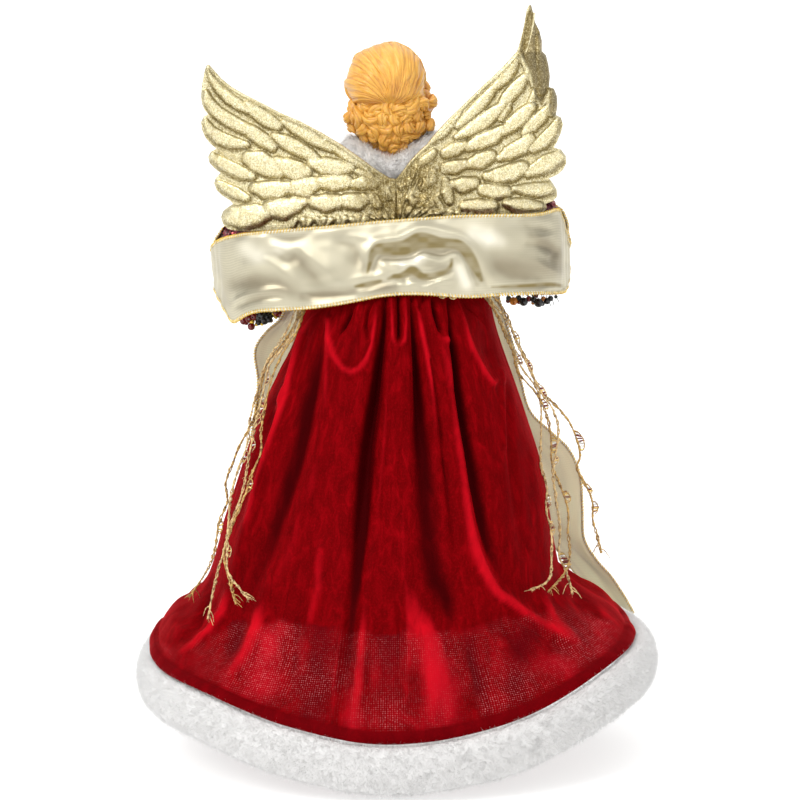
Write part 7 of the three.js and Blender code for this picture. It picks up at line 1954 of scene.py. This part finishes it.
def disc_set(P, N, radius, seed, cup=0.12):
    """Sequins: small six-sided cups with a hole, lying nearly flat."""
    r = np.random.default_rng(seed)
    k = len(P)
    a = unit(np.cross(N, r.normal(0, 1, (k, 3))))
    n = unit(N + 0.28 * r.normal(0, 1, (k, 3)))
    a = unit(a - n * np.sum(a * n, 1, keepdims=True))
    b = np.cross(n, a)
    sides = 8
    V = np.zeros((k, 3, sides, 3))
    R = radius * (1 + 0.08 * r.normal(0, 1, (k, 1)))
    for j in range(sides):
        q = 2 * np.pi * j / sides
        o = np.cos(q) * a + np.sin(q) * b
        V[:, 0, j] = P + o * R * 0.22 + n * 0.10
        V[:, 1, j] = P + o * R * 0.72 + n * 0.12
        V[:, 2, j] = P + o * R + n * (0.12 + cup * R)
    V = V.reshape(k, -1, 3)
    j = np.arange(sides)
    jj = (j + 1) % sides
    f = np.vstack([np.column_stack([j, sides + j, sides + jj, jj]), np.column_stack([sides + j, 2 * sides + j, 2 * sides + jj, sides + jj])])
    F = (f[None] + (np.arange(k) * sides * 3)[:, None, None]).reshape(-1, 4)
    return V.reshape(-1, 3), [F]


def bead_at(c, r, axis=(0, 0, 1), stretch=1.0, n=14, m=9):
    """Round bead with a threading hole."""
    axis = np.asarray(axis, float)
    axis = axis / np.linalg.norm(axis)
    a = np.cross(axis, (0.31, 0.77, 0.55))
    a = a / np.linalg.norm(a)
    b = np.cross(axis, a)
    t = np.linspace(-0.90, 0.90, m) * np.pi / 2
    prof = np.column_stack([r * np.cos(t), r * np.sin(t) * stretch])
    prof = np.vstack([prof, [0.16 * r, prof[-1, 1] * 0.86], [0.16 * r, prof[0, 1] * 0.86]])
    q = 2 * np.pi * np.arange(n) / n
    V = np.asarray(c)[None, None] + prof[:, :1, None] * (np.cos(q)[None, :, None] * a + np.sin(q)[None, :, None] * b) + prof[:, 1:, None] * axis
    return V.reshape(-1, 3), [grid_faces(len(prof), n, wrap_u=True, wrap_v=True)[:, ::-1]]


def drop_at(c, r, length, axis=(0, 0, -1), n=16, m=16):
    """Drop-shaped bead hanging along the axis."""
    axis = np.asarray(axis, float)
    axis = axis / np.linalg.norm(axis)
    a = np.cross(axis, (0.31, 0.77, 0.55))
    a = a / np.linalg.norm(a)
    b = np.cross(axis, a)
    t = np.linspace(0.02, 0.985, m)
    rad = r * np.sin(np.pi * t ** 1.5) ** 0.8
    q = 2 * np.pi * np.arange(n) / n
    V = np.asarray(c)[None, None] + rad[:, None, None] * (np.cos(q)[None, :, None] * a + np.sin(q)[None, :, None] * b) + (t * length)[:, None, None] * axis
    V = V.reshape(-1, 3)
    V = np.vstack([V, np.asarray(c), np.asarray(c) + axis * length])
    F = grid_faces(m, n, wrap_v=True)[:, ::-1]
    j = np.arange(n)
    jj = (j + 1) % n
    return V, [F, np.vstack([np.column_stack([np.full(n, m * n), jj, j]), np.column_stack([np.full(n, m * n + 1), (m - 1) * n + j, (m - 1) * n + jj])])]


for side, s in (("left", 1), ("right", -1)):
    dz = RISE[s]
    nu, nv = 190, 110
    T = np.array([np.concatenate(q) for q in SLEEVE_SEC], float)
    G = catmull(T, nu)
    a = 2 * np.pi * np.arange(nv) / nv
    P = G[:, None, :3] + np.cos(a)[None, :, None] * G[:, None, 3:6] + np.sin(a)[None, :, None] * G[:, None, 6:9]
    w = smooth(36, 68, G[:, 0])[:, None]
    U = np.linspace(0, 1, nu)[:, None] * np.ones((1, nv))
    AA = np.ones((nu, 1)) * a[None, :]
    cx, sx = np.cos(AA), np.sin(AA)
    bend = np.exp(-((U - 0.50) / 0.20) ** 2)
    h = 0.9 * noise3(U * 13, cx * 1.4, sx * 1.4, 211 + s) + 0.35 * noise3(U * 26, cx * 3, sx * 3, 213 + s)
    h += (0.8 * np.sin(U * 70 + 1.5 * np.sin(AA) + 2 * noise3(U * 5, cx, sx, 215)) * bend * smooth(-0.6, 0.6, -cx + 0.2))
    h += 1.3 * np.sin(AA * 7 + 3 * noise3(U * 3, s, 0, 217)) * smooth(0.70, 1.0, U) * 0.6
    h *= smooth(0.0, 0.06, U)
    P[..., 0] *= s
    P[..., 2] += dz * w
    if s < 0:
        P = P[:, ::-1]
        h = h[:, ::-1]
    Nn = unit(np.cross(np.roll(P, -1, 1) - np.roll(P, 1, 1), np.gradient(P, axis=0)))
    ctr = P.mean(1, keepdims=True)
    if np.sum(Nn[nu // 2] * (P[nu // 2] - ctr[nu // 2])) < 0:
        Nn = -Nn
    Po = P + Nn * h[..., None]
    Pi = Po - Nn * 0.7
    V = np.vstack([Po.reshape(-1, 3), Pi.reshape(-1, 3)])
    k = nu * nv
    Fo = grid_faces(nu, nv, wrap_v=True)
    j = np.arange(nv)
    jj = (j + 1) % nv
    rims = [np.column_stack([j, jj, jj + k, j + k]), np.column_stack([(nu - 1) * nv + j, (nu - 1) * nv + j + k, (nu - 1) * nv + jj + k, (nu - 1) * nv + jj])]
    sleeve = make("sleeve_%s_cloth" % side, V, [np.vstack([Fo, Fo[:, ::-1] + k] + rims)], SLEEVE, outward=True)
    arm = "arm_" + side
    # rows of sequins all over
    r = np.random.default_rng(221 + s)
    rows_p, rows_n, tint = [], [], []
    L = np.concatenate([[0], np.cumsum(np.linalg.norm(np.diff(P.mean(1), axis=0), axis=1))])
    for kk_, d in enumerate(np.arange(2.0, L[-1] - 0.6, 1.75)):
        i = int(np.searchsorted(L, d))
        i = min(i, nu - 1)
        ring = Po[i]
        per = np.linalg.norm(np.roll(ring, -1, 0) - ring, axis=1)
        cum = np.concatenate([[0], np.cumsum(per)])
        cnt = int(cum[-1] / 2.05)
        q = (np.arange(cnt) + 0.5 * (kk_ % 2) + 0.14 * r.normal(0, 1, cnt)) / cnt % 1.0 * cum[-1]
        ii = np.searchsorted(cum, q) % nv
        rows_p.append(ring[ii] + Nn[i][ii] * 0.10 + 0.14 * r.normal(0, 1, (cnt, 3)))
        rows_n.append(Nn[i][ii])
    SP, SN = np.vstack(rows_p), np.vstack(rows_n)
    pick = r.random(len(SP))
    V, F = disc_set(SP[pick < 0.93], SN[pick < 0.93], 1.02, 223 + s)
    sq = make("sleeve_%s_sequins" % side, V, F, SEQUIN)
    V, F = disc_set(SP[pick >= 0.93], SN[pick >= 0.93], 1.02, 225 + s)
    sq2 = make("sleeve_%s_sequins_gold" % side, V, F, SEQUIN_GOLD)
    for o in (sleeve, sq, sq2):
        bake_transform(o)
    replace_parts(sleeve, "sleeve_" + side)
    # beaded edge: a cord of seed beads, and a fringe that hangs from the lower half
    edge = Po[-1] - Nn[-1] * 0.3
    per = np.linalg.norm(np.roll(edge, -1, 0) - edge, axis=1)
    cum = np.concatenate([[0], np.cumsum(per)])
    bags = {"black": [], "red": [], "amber": [], "gold": [], "thread": []}
    cnt = int(cum[-1] / 2.15)
    for q in range(cnt):
        d = (q + 0.5) / cnt * cum[-1]
        i = int(np.searchsorted(cum, d)) % nv
        p = edge[i] + np.array([0, -0.9, 0])
        kind = ("black", "red", "black", "gold", "black", "amber")[(q * 5 + (s > 0)) % 6]
        rb = 1.12 + 0.14 * r.normal()
        bags[kind].append(bead_at(p + 0.15 * r.normal(0, 1, 3), rb, unit(np.roll(edge, -1, 0)[i] - edge[i])))
        # second, closer row behind it
        p2 = edge[i] + np.array([0, 1.3, 0]) + Nn[-1][i] * 0.8
        bags["black" if q % 3 else "red"].append(bead_at(p2 + 0.2 * r.normal(0, 1, 3), 0.95, unit(np.roll(edge, -1, 0)[i] - edge[i])))
        low = edge[i][2] - edge[:, 2].min()
        if low < 21 and q % 2 == 0:
            n_b = 2 + (q // 2) % 2
            x0, y0, z0 = edge[i]
            yy, zz = y0 - 0.9, z0 - 1.2
            th_ = [(x0, y0 - 0.5, z0 + 0.4), (x0, yy, zz)]
            for t_ in range(n_b):
                zz -= 1.75
                kind = ("black", "gold", "black", "red")[(q // 2 + t_) % 4]
                bags[kind].append(bead_at((x0 + 0.2 * r.normal(), yy + 0.2 * r.normal(), zz), 0.88, (0, 0, 1)))
            th_.append((x0, yy, zz - 1))
            bags["thread"].append(tube_mesh(catmull(np.array(th_, float), 8), 0.16, 5))
            if (q // 2) % 2 == 0:
                bags[("red", "amber", "red")[(q // 4) % 3]].append(drop_at((x0, yy, zz - 0.7), 1.75, 4.6))
    # the ones that show under the stole
    if s > 0:
        show = [("gold", 251.7, 321.8, 1.5), ("red", 251.3, 326.6, 2.0), ("red", 243.6, 321.0, 2.0), ("red", 248.0, 318.6, 2.3), ("red", 254.0, 316.6, 2.3), ("gold", 246.0, 320.6, 0.9),
                ("red", 281.6, 314.6, 2.5), ("red", 276.6, 312.6, 2.0), ("gold", 276.0, 317.0, 1.0), ("gold", 273.6, 313.6, 1.0), ("black", 262.0, 315.4, 2.6), ("black", 267.0, 316.2, 2.5),
                ("black", 259.2, 319.0, 2.3), ("black", 264.4, 320.2, 2.4), ("black", 269.4, 319.4, 1.7), ("black", 259, 317, 2.2), ("black", 264, 313.5, 2.0), ("black", 266.5, 319, 1.9), ("black", 258.5, 322.5, 1.7),
                ("red", 282, 314.5, 2.3), ("gold", 275.5, 316, 1.1), ("gold", 245, 319, 1.0), ("red", 246, 322.5, 1.5), ("amber", 271, 320.5, 1.2), ("black", 271, 315, 1.7),
                ("gold", 262, 324, 0.9), ("red", 240.5, 317, 1.5), ("gold", 256.5, 324.5, 1.0), ("black", 276, 311.5, 1.6), ("red", 287, 311.5, 1.4)]
        yq = -31.5
    else:
        show = [("black", 508.5, 298, 1.4), ("amber", 513.5, 301, 2.2), ("black", 518.5, 298, 1.6), ("black", 523.5, 301.5, 2.3), ("red", 529, 299, 1.6), ("black", 533.5, 299.5, 1.7), ("black", 538.5, 302.5, 2.4),
                ("amber", 543.5, 299, 1.4), ("black", 547, 301, 1.8), ("black", 550.5, 298.5, 1.5), ("red", 519, 302.5, 1.1), ("amber", 533, 303, 1.0), ("black", 542.5, 304, 1.2), ("red", 508, 301, 1.2), ("black", 556, 297, 1.0)]
        yq = -30.5
    for kind, qx_, qy_, rb in show:
        X_, Z_ = from_view(np.array([qx_]), np.array([qy_]), np.array([yq]))
        bags[kind].append(bead_at((X_[0], yq + 0.6 * r.normal(), Z_[0]), rb, (0.5 * r.normal(), 1, 0.5 * r.normal()), 0.96))
        bags["thread"].append(tube_mesh(np.array([[X_[0], yq, Z_[0]], [X_[0] + 0.4, yq - 0.4, Z_[0] + 3.5], [X_[0] + 0.6, yq - 0.5, Z_[0] + 7.5]]), 0.18, 5))
    if s < 0:
        for qx_, qy_, q2x, q2y in ((552, 298, 554, 305), (549, 299, 550.5, 306), (556, 296, 559, 302)):
            X_, Z_ = from_view(np.array([qx_, q2x]), np.array([qy_, q2y]), np.array([yq, yq]))
            bags["thread"].append(tube_mesh(np.array([[X_[0], yq, Z_[0] + 4], [X_[0], yq, Z_[0]], [X_[1], yq, Z_[1]]]), 0.2, 5))
    mats = {"black": BEAD_BLACK, "red": BEAD_RED, "amber": BEAD_AMBER, "gold": BEAD_GOLD, "thread": STITCH_GOLD if s > 0 else BEAD_BLACK}
    first = None
    for key, parts in bags.items():
        V, F = pack_parts(parts)
        ob = make("cuff_%s_%s" % (side, key), V, F, mats[key])
        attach(ob, arm)
        first = first or ob
    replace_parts(first, "cuff_beads_" + side)
    # hand: palm and five bent fingers, made into one skin
    at = lambda x_, y_, z_: np.array([s * x_, y_, z_ + dz])
    segs = [([(69.6, -28.5, 166.2), (67.6, -36, 165.6), (65.9, -42, 165.6), (64.7, -46.5, 166.3)], [4.3, 4.1, 3.6, 3.9]),
            ([(66.4, -45.5, 166.2), (65.8, -50, 166.6), (65.6, -54.8, 167.4)], [2.8, 3.1, 2.5]), ([(62.6, -45.5, 166.6), (61.8, -50, 167.2), (61.2, -54.5, 168.0)], [2.8, 3.1, 2.6]),
            ([(64.4, -46, 166.4), (63.8, -51, 166.9), (63.4, -55.4, 167.7)], [3.2, 3.3, 2.7]),
            ([(60.9, -53.5, 168.0), (60.0, -59.2, 169.3), (59.7, -63.4, 169.4), (59.8, -66.6, 168.4)], [2.0, 1.75, 1.6, 1.25]),
            ([(63.0, -54.6, 168.0), (62.7, -60.6, 169.6), (62.7, -65.2, 169.6), (62.9, -68.8, 168.3)], [2.0, 1.8, 1.65, 1.28]),
            ([(65.2, -54.4, 167.6), (65.5, -60.0, 169.0), (65.8, -64.4, 168.9), (66.0, -67.6, 167.5)], [1.95, 1.75, 1.6, 1.22]),
            ([(67.1, -53.0, 166.9), (67.9, -57.8, 167.9), (68.4, -61.2, 167.7), (68.6, -63.8, 166.6)], [1.75, 1.55, 1.4, 1.08]),
            ([(61.6, -46.5, 167.2), (59.3, -50.4, 169.8), (58.6, -54.2, 171.6), (58.9, -57.4, 172.4)], [2.2, 2.0, 1.7, 1.3])]
    parts = []
    for pts, rad in segs:
        C = catmull(np.array([np.concatenate([at(*p_), [q_]]) for p_, q_ in zip(pts, rad)]), 26)
        tq = np.linspace(0, 1, 26)
        end = np.sqrt(np.clip(1 - ((tq - 0.90) / 0.105).clip(0) ** 2, 0.02, 1)) * np.sqrt(np.clip(1 - ((0.08 - tq) / 0.085).clip(0) ** 2, 0.05, 1))
        parts.append(tube_mesh(C[:, :3], C[:, 3] * end, 16))
    V, F = pack_parts(parts)
    hand = make("hand_%s_skin" % side, V, F, SKIN)
    modifier_apply(hand, "REMESH", mode="VOXEL", voxel_size=0.00042)
    modifier_apply(hand, "SMOOTH", factor=0.5, iterations=7)
    hand.data.polygons.foreach_set("use_smooth", np.ones(len(hand.data.polygons), bool))
    for key in ("white", "iris", "pupil", "lash", "lips", "brow", "shade"):
        hand.data.attributes.new(key, "FLOAT", "POINT")
    co = np.zeros(len(hand.data.vertices) * 3)
    hand.data.vertices.foreach_get("co", co)
    co = co.reshape(-1, 3) / MM
    bl = hand.data.attributes.new("blush", "FLOAT", "POINT")
    bl.data.foreach_set("value", 0.25 * smooth(-60, -68, co[:, 1]))
    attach(hand, arm)
    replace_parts(hand, "hand_" + side)


# ------------------------------------------------------------------ bodice, waist cord, knots and loops
BOD = [(30.0, 26.4, 171.8), (30.4, 26.2, 176), (30.8, 25.9, 181), (31.7, 24.9, 186), (32.7, 23.8, 190.5), (34.0, 22.5, 196.5), (34.4, 21.9, 199.5), (34.2, 21.6, 201.4)]
nu, nv = 90, 220
G = catmull(np.array(BOD, float), nu)
a = 2 * np.pi * np.arange(nv) / nv
P = np.stack([G[:, :1] * np.cos(a), G[:, 1:2] * np.sin(a), G[:, 2:3] * np.ones((1, nv))], -1)
U = np.linspace(0, 1, nu)[:, None] * np.ones((1, nv))
c, s_ = np.cos(a)[None, :], np.sin(a)[None, :]
h = 0.35 * noise3(U * 4, c * 3, s_ * 3, 241) + 0.5 * np.sin(a[None, :] * 26 + 2 * noise3(U * 2, c, s_, 243)) * smooth(0.35, 0.0, U) * 0.7
N = unit(np.stack([np.cos(a)[None, :] / G[:, :1], np.sin(a)[None, :] / G[:, 1:2], np.zeros((nu, nv))], -1))
Po = P + N * (h - 0.3)[..., None]
Pi = Po - N * 0.8
k = nu * nv
Fo = grid_faces(nu, nv, wrap_v=True)
j = np.arange(nv)
jj = (j + 1) % nv
rims = [np.column_stack([j, jj, jj + k, j + k]), np.column_stack([(nu - 1) * nv + j, (nu - 1) * nv + j + k, (nu - 1) * nv + jj + k, (nu - 1) * nv + jj])]
bodice = make("bodice_cloth", np.vstack([Po.reshape(-1, 3), Pi.reshape(-1, 3)]), [np.vstack([Fo, Fo[:, ::-1] + k] + rims)], SLEEVE, outward=True)
r = np.random.default_rng(245)
sp, sn = [], []
for kk_, z_ in enumerate(np.arange(173.0, 200.8, 1.75)):
    i = int(np.argmin(np.abs(G[:, 2] - z_)))
    cnt = int(2 * np.pi * (G[i, 0] + G[i, 1]) / 2 / 2.05)
    q = ((np.arange(cnt) + 0.5 * (kk_ % 2) + 0.12 * r.normal(0, 1, cnt)) / cnt % 1.0 * nv).astype(int) % nv
    sp.append(Po[i][q] + N[i][q] * 0.10 + 0.12 * r.normal(0, 1, (cnt, 3)))
    sn.append(N[i][q])
sp, sn = np.vstack(sp), np.vstack(sn)
pick = r.random(len(sp))
V, F = disc_set(sp[pick < 0.92], sn[pick < 0.92], 1.02, 247)
b1 = make("bodice_sequins", V, F, SEQUIN)
V, F = disc_set(sp[pick >= 0.92], sn[pick >= 0.92], 1.02, 249)
b2 = make("bodice_sequins_gold", V, F, SEQUIN_GOLD)
for o in (bodice, b1, b2):
    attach(o, "base")
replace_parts(bodice, "bodice")

# waist cord: three strands, two gold and one beige, plaited round
parts_g, parts_b = [], []
m = 720
t = 2 * np.pi * np.arange(m + 1) / m
for q in range(3):
    for lane in (-0.42, 0.0, 0.42):
        ph = 24 * t + 2 * np.pi * q / 3
        rr_ = 33.7 + 0.75 * np.sin(2 * ph) + 0.35 * abs(lane)
        zz = 173.4 + 1.75 * np.sin(ph) + lane * 1.15
        C = np.column_stack([rr_ * np.cos(t), 0.95 * rr_ * np.sin(t), zz])[:-1]
        C = np.vstack([C, C[:1]])
        ply = 2 * np.pi * np.arange(m + 1) / m * 190
        (parts_g if q < 2 else parts_b).append(tube_mesh(C, 0.46, 6, lambda i, g_: 1 + 0.2 * np.cos(2 * g_ - ply[i]), caps=False))
V, F = pack_parts(parts_g)
w1 = make("waist_cord_gold", V, F, YARN_GOLD)
V, F = pack_parts(parts_b)
w2 = make("waist_cord_beige", V, F, YARN_BEIGE)
core = lathe([(32.6, 171.2), (33.9, 171.2), (34.1, 173.4), (33.9, 175.6), (32.6, 175.6)], 120)
for o in (w1, w2):
    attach(o, "base")
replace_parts(w1, "waist_band")

# knots: the strands' ends wound to a small ball
for side, kc in (("left", (42.2, 28.6, 157.4)), ("right", (-45.0, 18.3, 161.0))):
    parts_g, parts_b = [], []
    r = np.random.default_rng(251 + (side == "left"))
    for q in range(9):
        ax_ = unit(r.normal(0, 1, 3))
        e1 = unit(np.cross(ax_, (0.3, 0.5, 0.8)))
        e2 = np.cross(ax_, e1)
        tt = np.linspace(0, 2 * np.pi, 60)
        rad = 3.3 - 0.16 * q * 0.6
        off = r.uniform(-0.9, 0.9)
        C = np.asarray(kc) + (np.sqrt(max(rad ** 2 - off ** 2, 1)) * (np.cos(tt)[:, None] * e1 + np.sin(tt)[:, None] * e2)) + ax_ * off + 0.15 * np.sin(5 * tt)[:, None] * ax_
        ply = tt * 12
        (parts_g if q % 3 else parts_b).append(tube_mesh(C, 0.42, 6, lambda i, g_: 1 + 0.24 * np.cos(2 * g_ - ply[i])))
    V, F = pack_parts(parts_g)
    k1 = make("yarn_knot_%s_gold" % side, V, F, YARN_GOLD)
    V, F = pack_parts(parts_b)
    k2 = make("yarn_knot_%s_beige" % side, V, F, YARN_BEIGE)
    for o in (k1, k2):
        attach(o, "base")
    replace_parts(k1, "yarn_knot_" + side)

# small loops of the same yarn hanging out under the stole
view_loops = [[(436.5, 289), (438, 294.5), (441.5, 298), (446, 296.5), (448.5, 294), (450, 297.5), (453.5, 299), (456.5, 296), (456, 290)],
              [(439, 290), (440.5, 295.5), (444, 297.6), (447, 294), (445.5, 289)],
              [(450, 289), (451, 295), (454.5, 297), (457.5, 293), (459.5, 295.5), (462, 294), (462.5, 289)]]
parts_g = []
for q, pts in enumerate(view_loops):
    pv = catmull(np.array(pts, float), 90)
    yy = np.full(90, 43.9 - 0.8 * q)
    X_, Z_ = from_view(pv[:, 0], pv[:, 1], yy)
    C = np.column_stack([X_, yy, Z_])
    ply = np.arange(90) * 0.7
    parts_g.append(tube_mesh(C, 0.36, 6, lambda i, g_: 1 + 0.26 * np.cos(2 * g_ - ply[i])))
V, F = pack_parts(parts_g)
loops = make("yarn_loops", V, F, YARN_BEIGE)
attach(loops, "base")
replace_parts(loops, "yarn_loop")

# ------------------------------------------------------------------ the frame's own pieces that stay
KEEP = {"inner_cone": CONE, "cone_cap": CONE, "neck_post": WOOD, "torso_core": FOAM, "shoulder_yoke": SLEEVE, "wing_pad": FOAM,
        "arm_wire_left": WIRE, "arm_wire_right": WIRE, "wing_wire_left": LAME, "wing_wire_right": LAME}
for name, mat_ in KEEP.items():
    ob = bpy.data.objects.get(name)
    if ob is not None and ob.type == "MESH":
        ob.data.materials.clear()
        ob.data.materials.append(mat_)

# the yoke is covered with the bodice's sequin cloth, seen between the collar and the bodice
yoke = bpy.data.objects["shoulder_yoke"]
yoke.data.calc_loop_triangles()
tri = np.array([t_.vertices[:] for t_ in yoke.data.loop_triangles])
co = np.array([(yoke.matrix_world @ v_.co)[:] for v_ in yoke.data.vertices]) / MM
A_, B_, C_ = co[tri[:, 0]], co[tri[:, 1]], co[tri[:, 2]]
nn = np.cross(B_ - A_, C_ - A_)
area = np.linalg.norm(nn, axis=1) / 2
nn = unit(nn)
up_side = (nn[:, 2] > -0.2) & ((A_ + B_ + C_)[:, 2] / 3 > 199)
w_ = area * up_side
r = np.random.default_rng(261)
cnt = int(w_.sum() / 3.2)
pick = r.choice(len(tri), cnt, p=w_ / w_.sum())
ba, bb = r.random(cnt), r.random(cnt)
flip = ba + bb > 1
ba[flip], bb[flip] = 1 - ba[flip], 1 - bb[flip]
pt = A_[pick] + ba[:, None] * (B_[pick] - A_[pick]) + bb[:, None] * (C_[pick] - A_[pick]) + nn[pick] * (0.18 + 0.3 * r.random((cnt, 1)))
keep_ = pt[:, 2] > 199
V, F = disc_set(pt[keep_], nn[pick][keep_], 1.02, 263)
ys = make("yoke_sequins", V, F, SEQUIN)
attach(ys, "base")


# ------------------------------------------------------------------ studio
world = bpy.data.worlds.new("studio")
scene.world = world
world.use_nodes = True
wt = world.node_tree
wt.nodes.clear()
w_out = wt.nodes.new("ShaderNodeOutputWorld")
w_tex = wt.nodes.new("ShaderNodeTexCoord")
def w_math(op, x, y=None, clamp=False):
    m_ = wt.nodes.new("ShaderNodeMath")
    m_.operation = op
    m_.use_clamp = clamp
    for i_, v_ in enumerate((x, y)):
        if v_ is None:
            continue
        if isinstance(v_, (int, float)):
            m_.inputs[i_].default_value = v_
        else:
            wt.links.new(v_, m_.inputs[i_])
    return m_.outputs[0]


# a light room with large soft panels: behind on the left, behind on the right, and overhead; dimmer low down and in front
level = 0.15
for toward, lo_, gain in (((0.66, 0.62, 0.42), 0.66, 0.94), ((-0.80, 0.52, 0.20), 0.78, 0.92), ((0.05, 0.35, 0.94), 0.60, 0.60), ((0.0, -1.0, 0.30), 0.45, 0.80), ((-0.15, 0.98, -0.10), 0.88, 0.26)):
    w_dot = wt.nodes.new("ShaderNodeVectorMath")
    w_dot.operation = "DOT_PRODUCT"
    w_dot.inputs[1].default_value = tuple(Vector(toward).normalized())
    wt.links.new(w_tex.outputs["Generated"], w_dot.inputs[0])
    w_map = wt.nodes.new("ShaderNodeMapRange")
    w_map.interpolation_type = "SMOOTHSTEP"
    w_map.inputs["From Min"].default_value = lo_ - 0.22
    w_map.inputs["From Max"].default_value = min(1.0, lo_ + 0.30)
    w_map.inputs["To Min"].default_value = 0.0
    w_map.inputs["To Max"].default_value = gain
    wt.links.new(w_dot.outputs["Value"], w_map.inputs["Value"])
    level = w_math("ADD", w_map.outputs["Result"], level)
w_soft = wt.nodes.new("ShaderNodeBackground")
w_soft.inputs["Color"].default_value = (1.0, 0.995, 0.985, 1)
w_white = wt.nodes.new("ShaderNodeBackground")
w_white.inputs["Color"].default_value = (1, 1, 1, 1)
w_white.inputs["Strength"].default_value = 1.0
w_path = wt.nodes.new("ShaderNodeLightPath")
w_mix = wt.nodes.new("ShaderNodeMixShader")
wt.links.new(level, w_soft.inputs["Strength"])
wt.links.new(w_path.outputs["Is Camera Ray"], w_mix.inputs[0])
wt.links.new(w_soft.outputs[0], w_mix.inputs[1])
wt.links.new(w_white.outputs[0], w_mix.inputs[2])
wt.links.new(w_mix.outputs[0], w_out.inputs[0])


def sun(name, toward, strength, angle):
    d = bpy.data.lights.new(name, "SUN")
    d.energy = strength
    d.angle = math.radians(angle)
    o = bpy.data.objects.new(name, d)
    scene.collection.objects.link(o)
    o.rotation_euler = Vector(toward).to_track_quat("Z", "Y").to_euler()


sun("key", (0.55, 0.70, 0.72), 1.15, 24)
sun("top", (-0.15, -0.25, 1.0), 0.45, 50)

FLOOR_Z = min(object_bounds()[0][2], CAD_BOX[0][2]) - 0.0005
n = 48
ang = 2 * np.pi * np.arange(n) / n
rad = np.array([0.0, 0.25, 0.6, 1.5, 5.0, 20.0, 100.0]) * 1000
V = [[0, 0, FLOOR_Z * 1000]]
for r_ in rad[1:]:
    V += [[r_ * math.cos(a), r_ * math.sin(a), FLOOR_Z * 1000] for a in ang]
F = [np.array([[0, 1 + i, 1 + (i + 1) % n] for i in range(n)])]
F.append(np.vstack([[[1 + k * n + i, 1 + (k + 1) * n + i, 1 + (k + 1) * n + (i + 1) % n, 1 + k * n + (i + 1) % n] for i in range(n)] for k in range(len(rad) - 2)]))
floor_mat = plain_material("floor_pale", (0.55, 0.55, 0.547), 0.8, 0.0, 3.0, 0.02, 0.0002, 0.995, Specular_IOR_Level=0.05,
                           Emission_Color=(1.0, 0.998, 0.995, 1.0), Emission_Strength=0.62)
floor = make("floor", V, F, floor_mat)
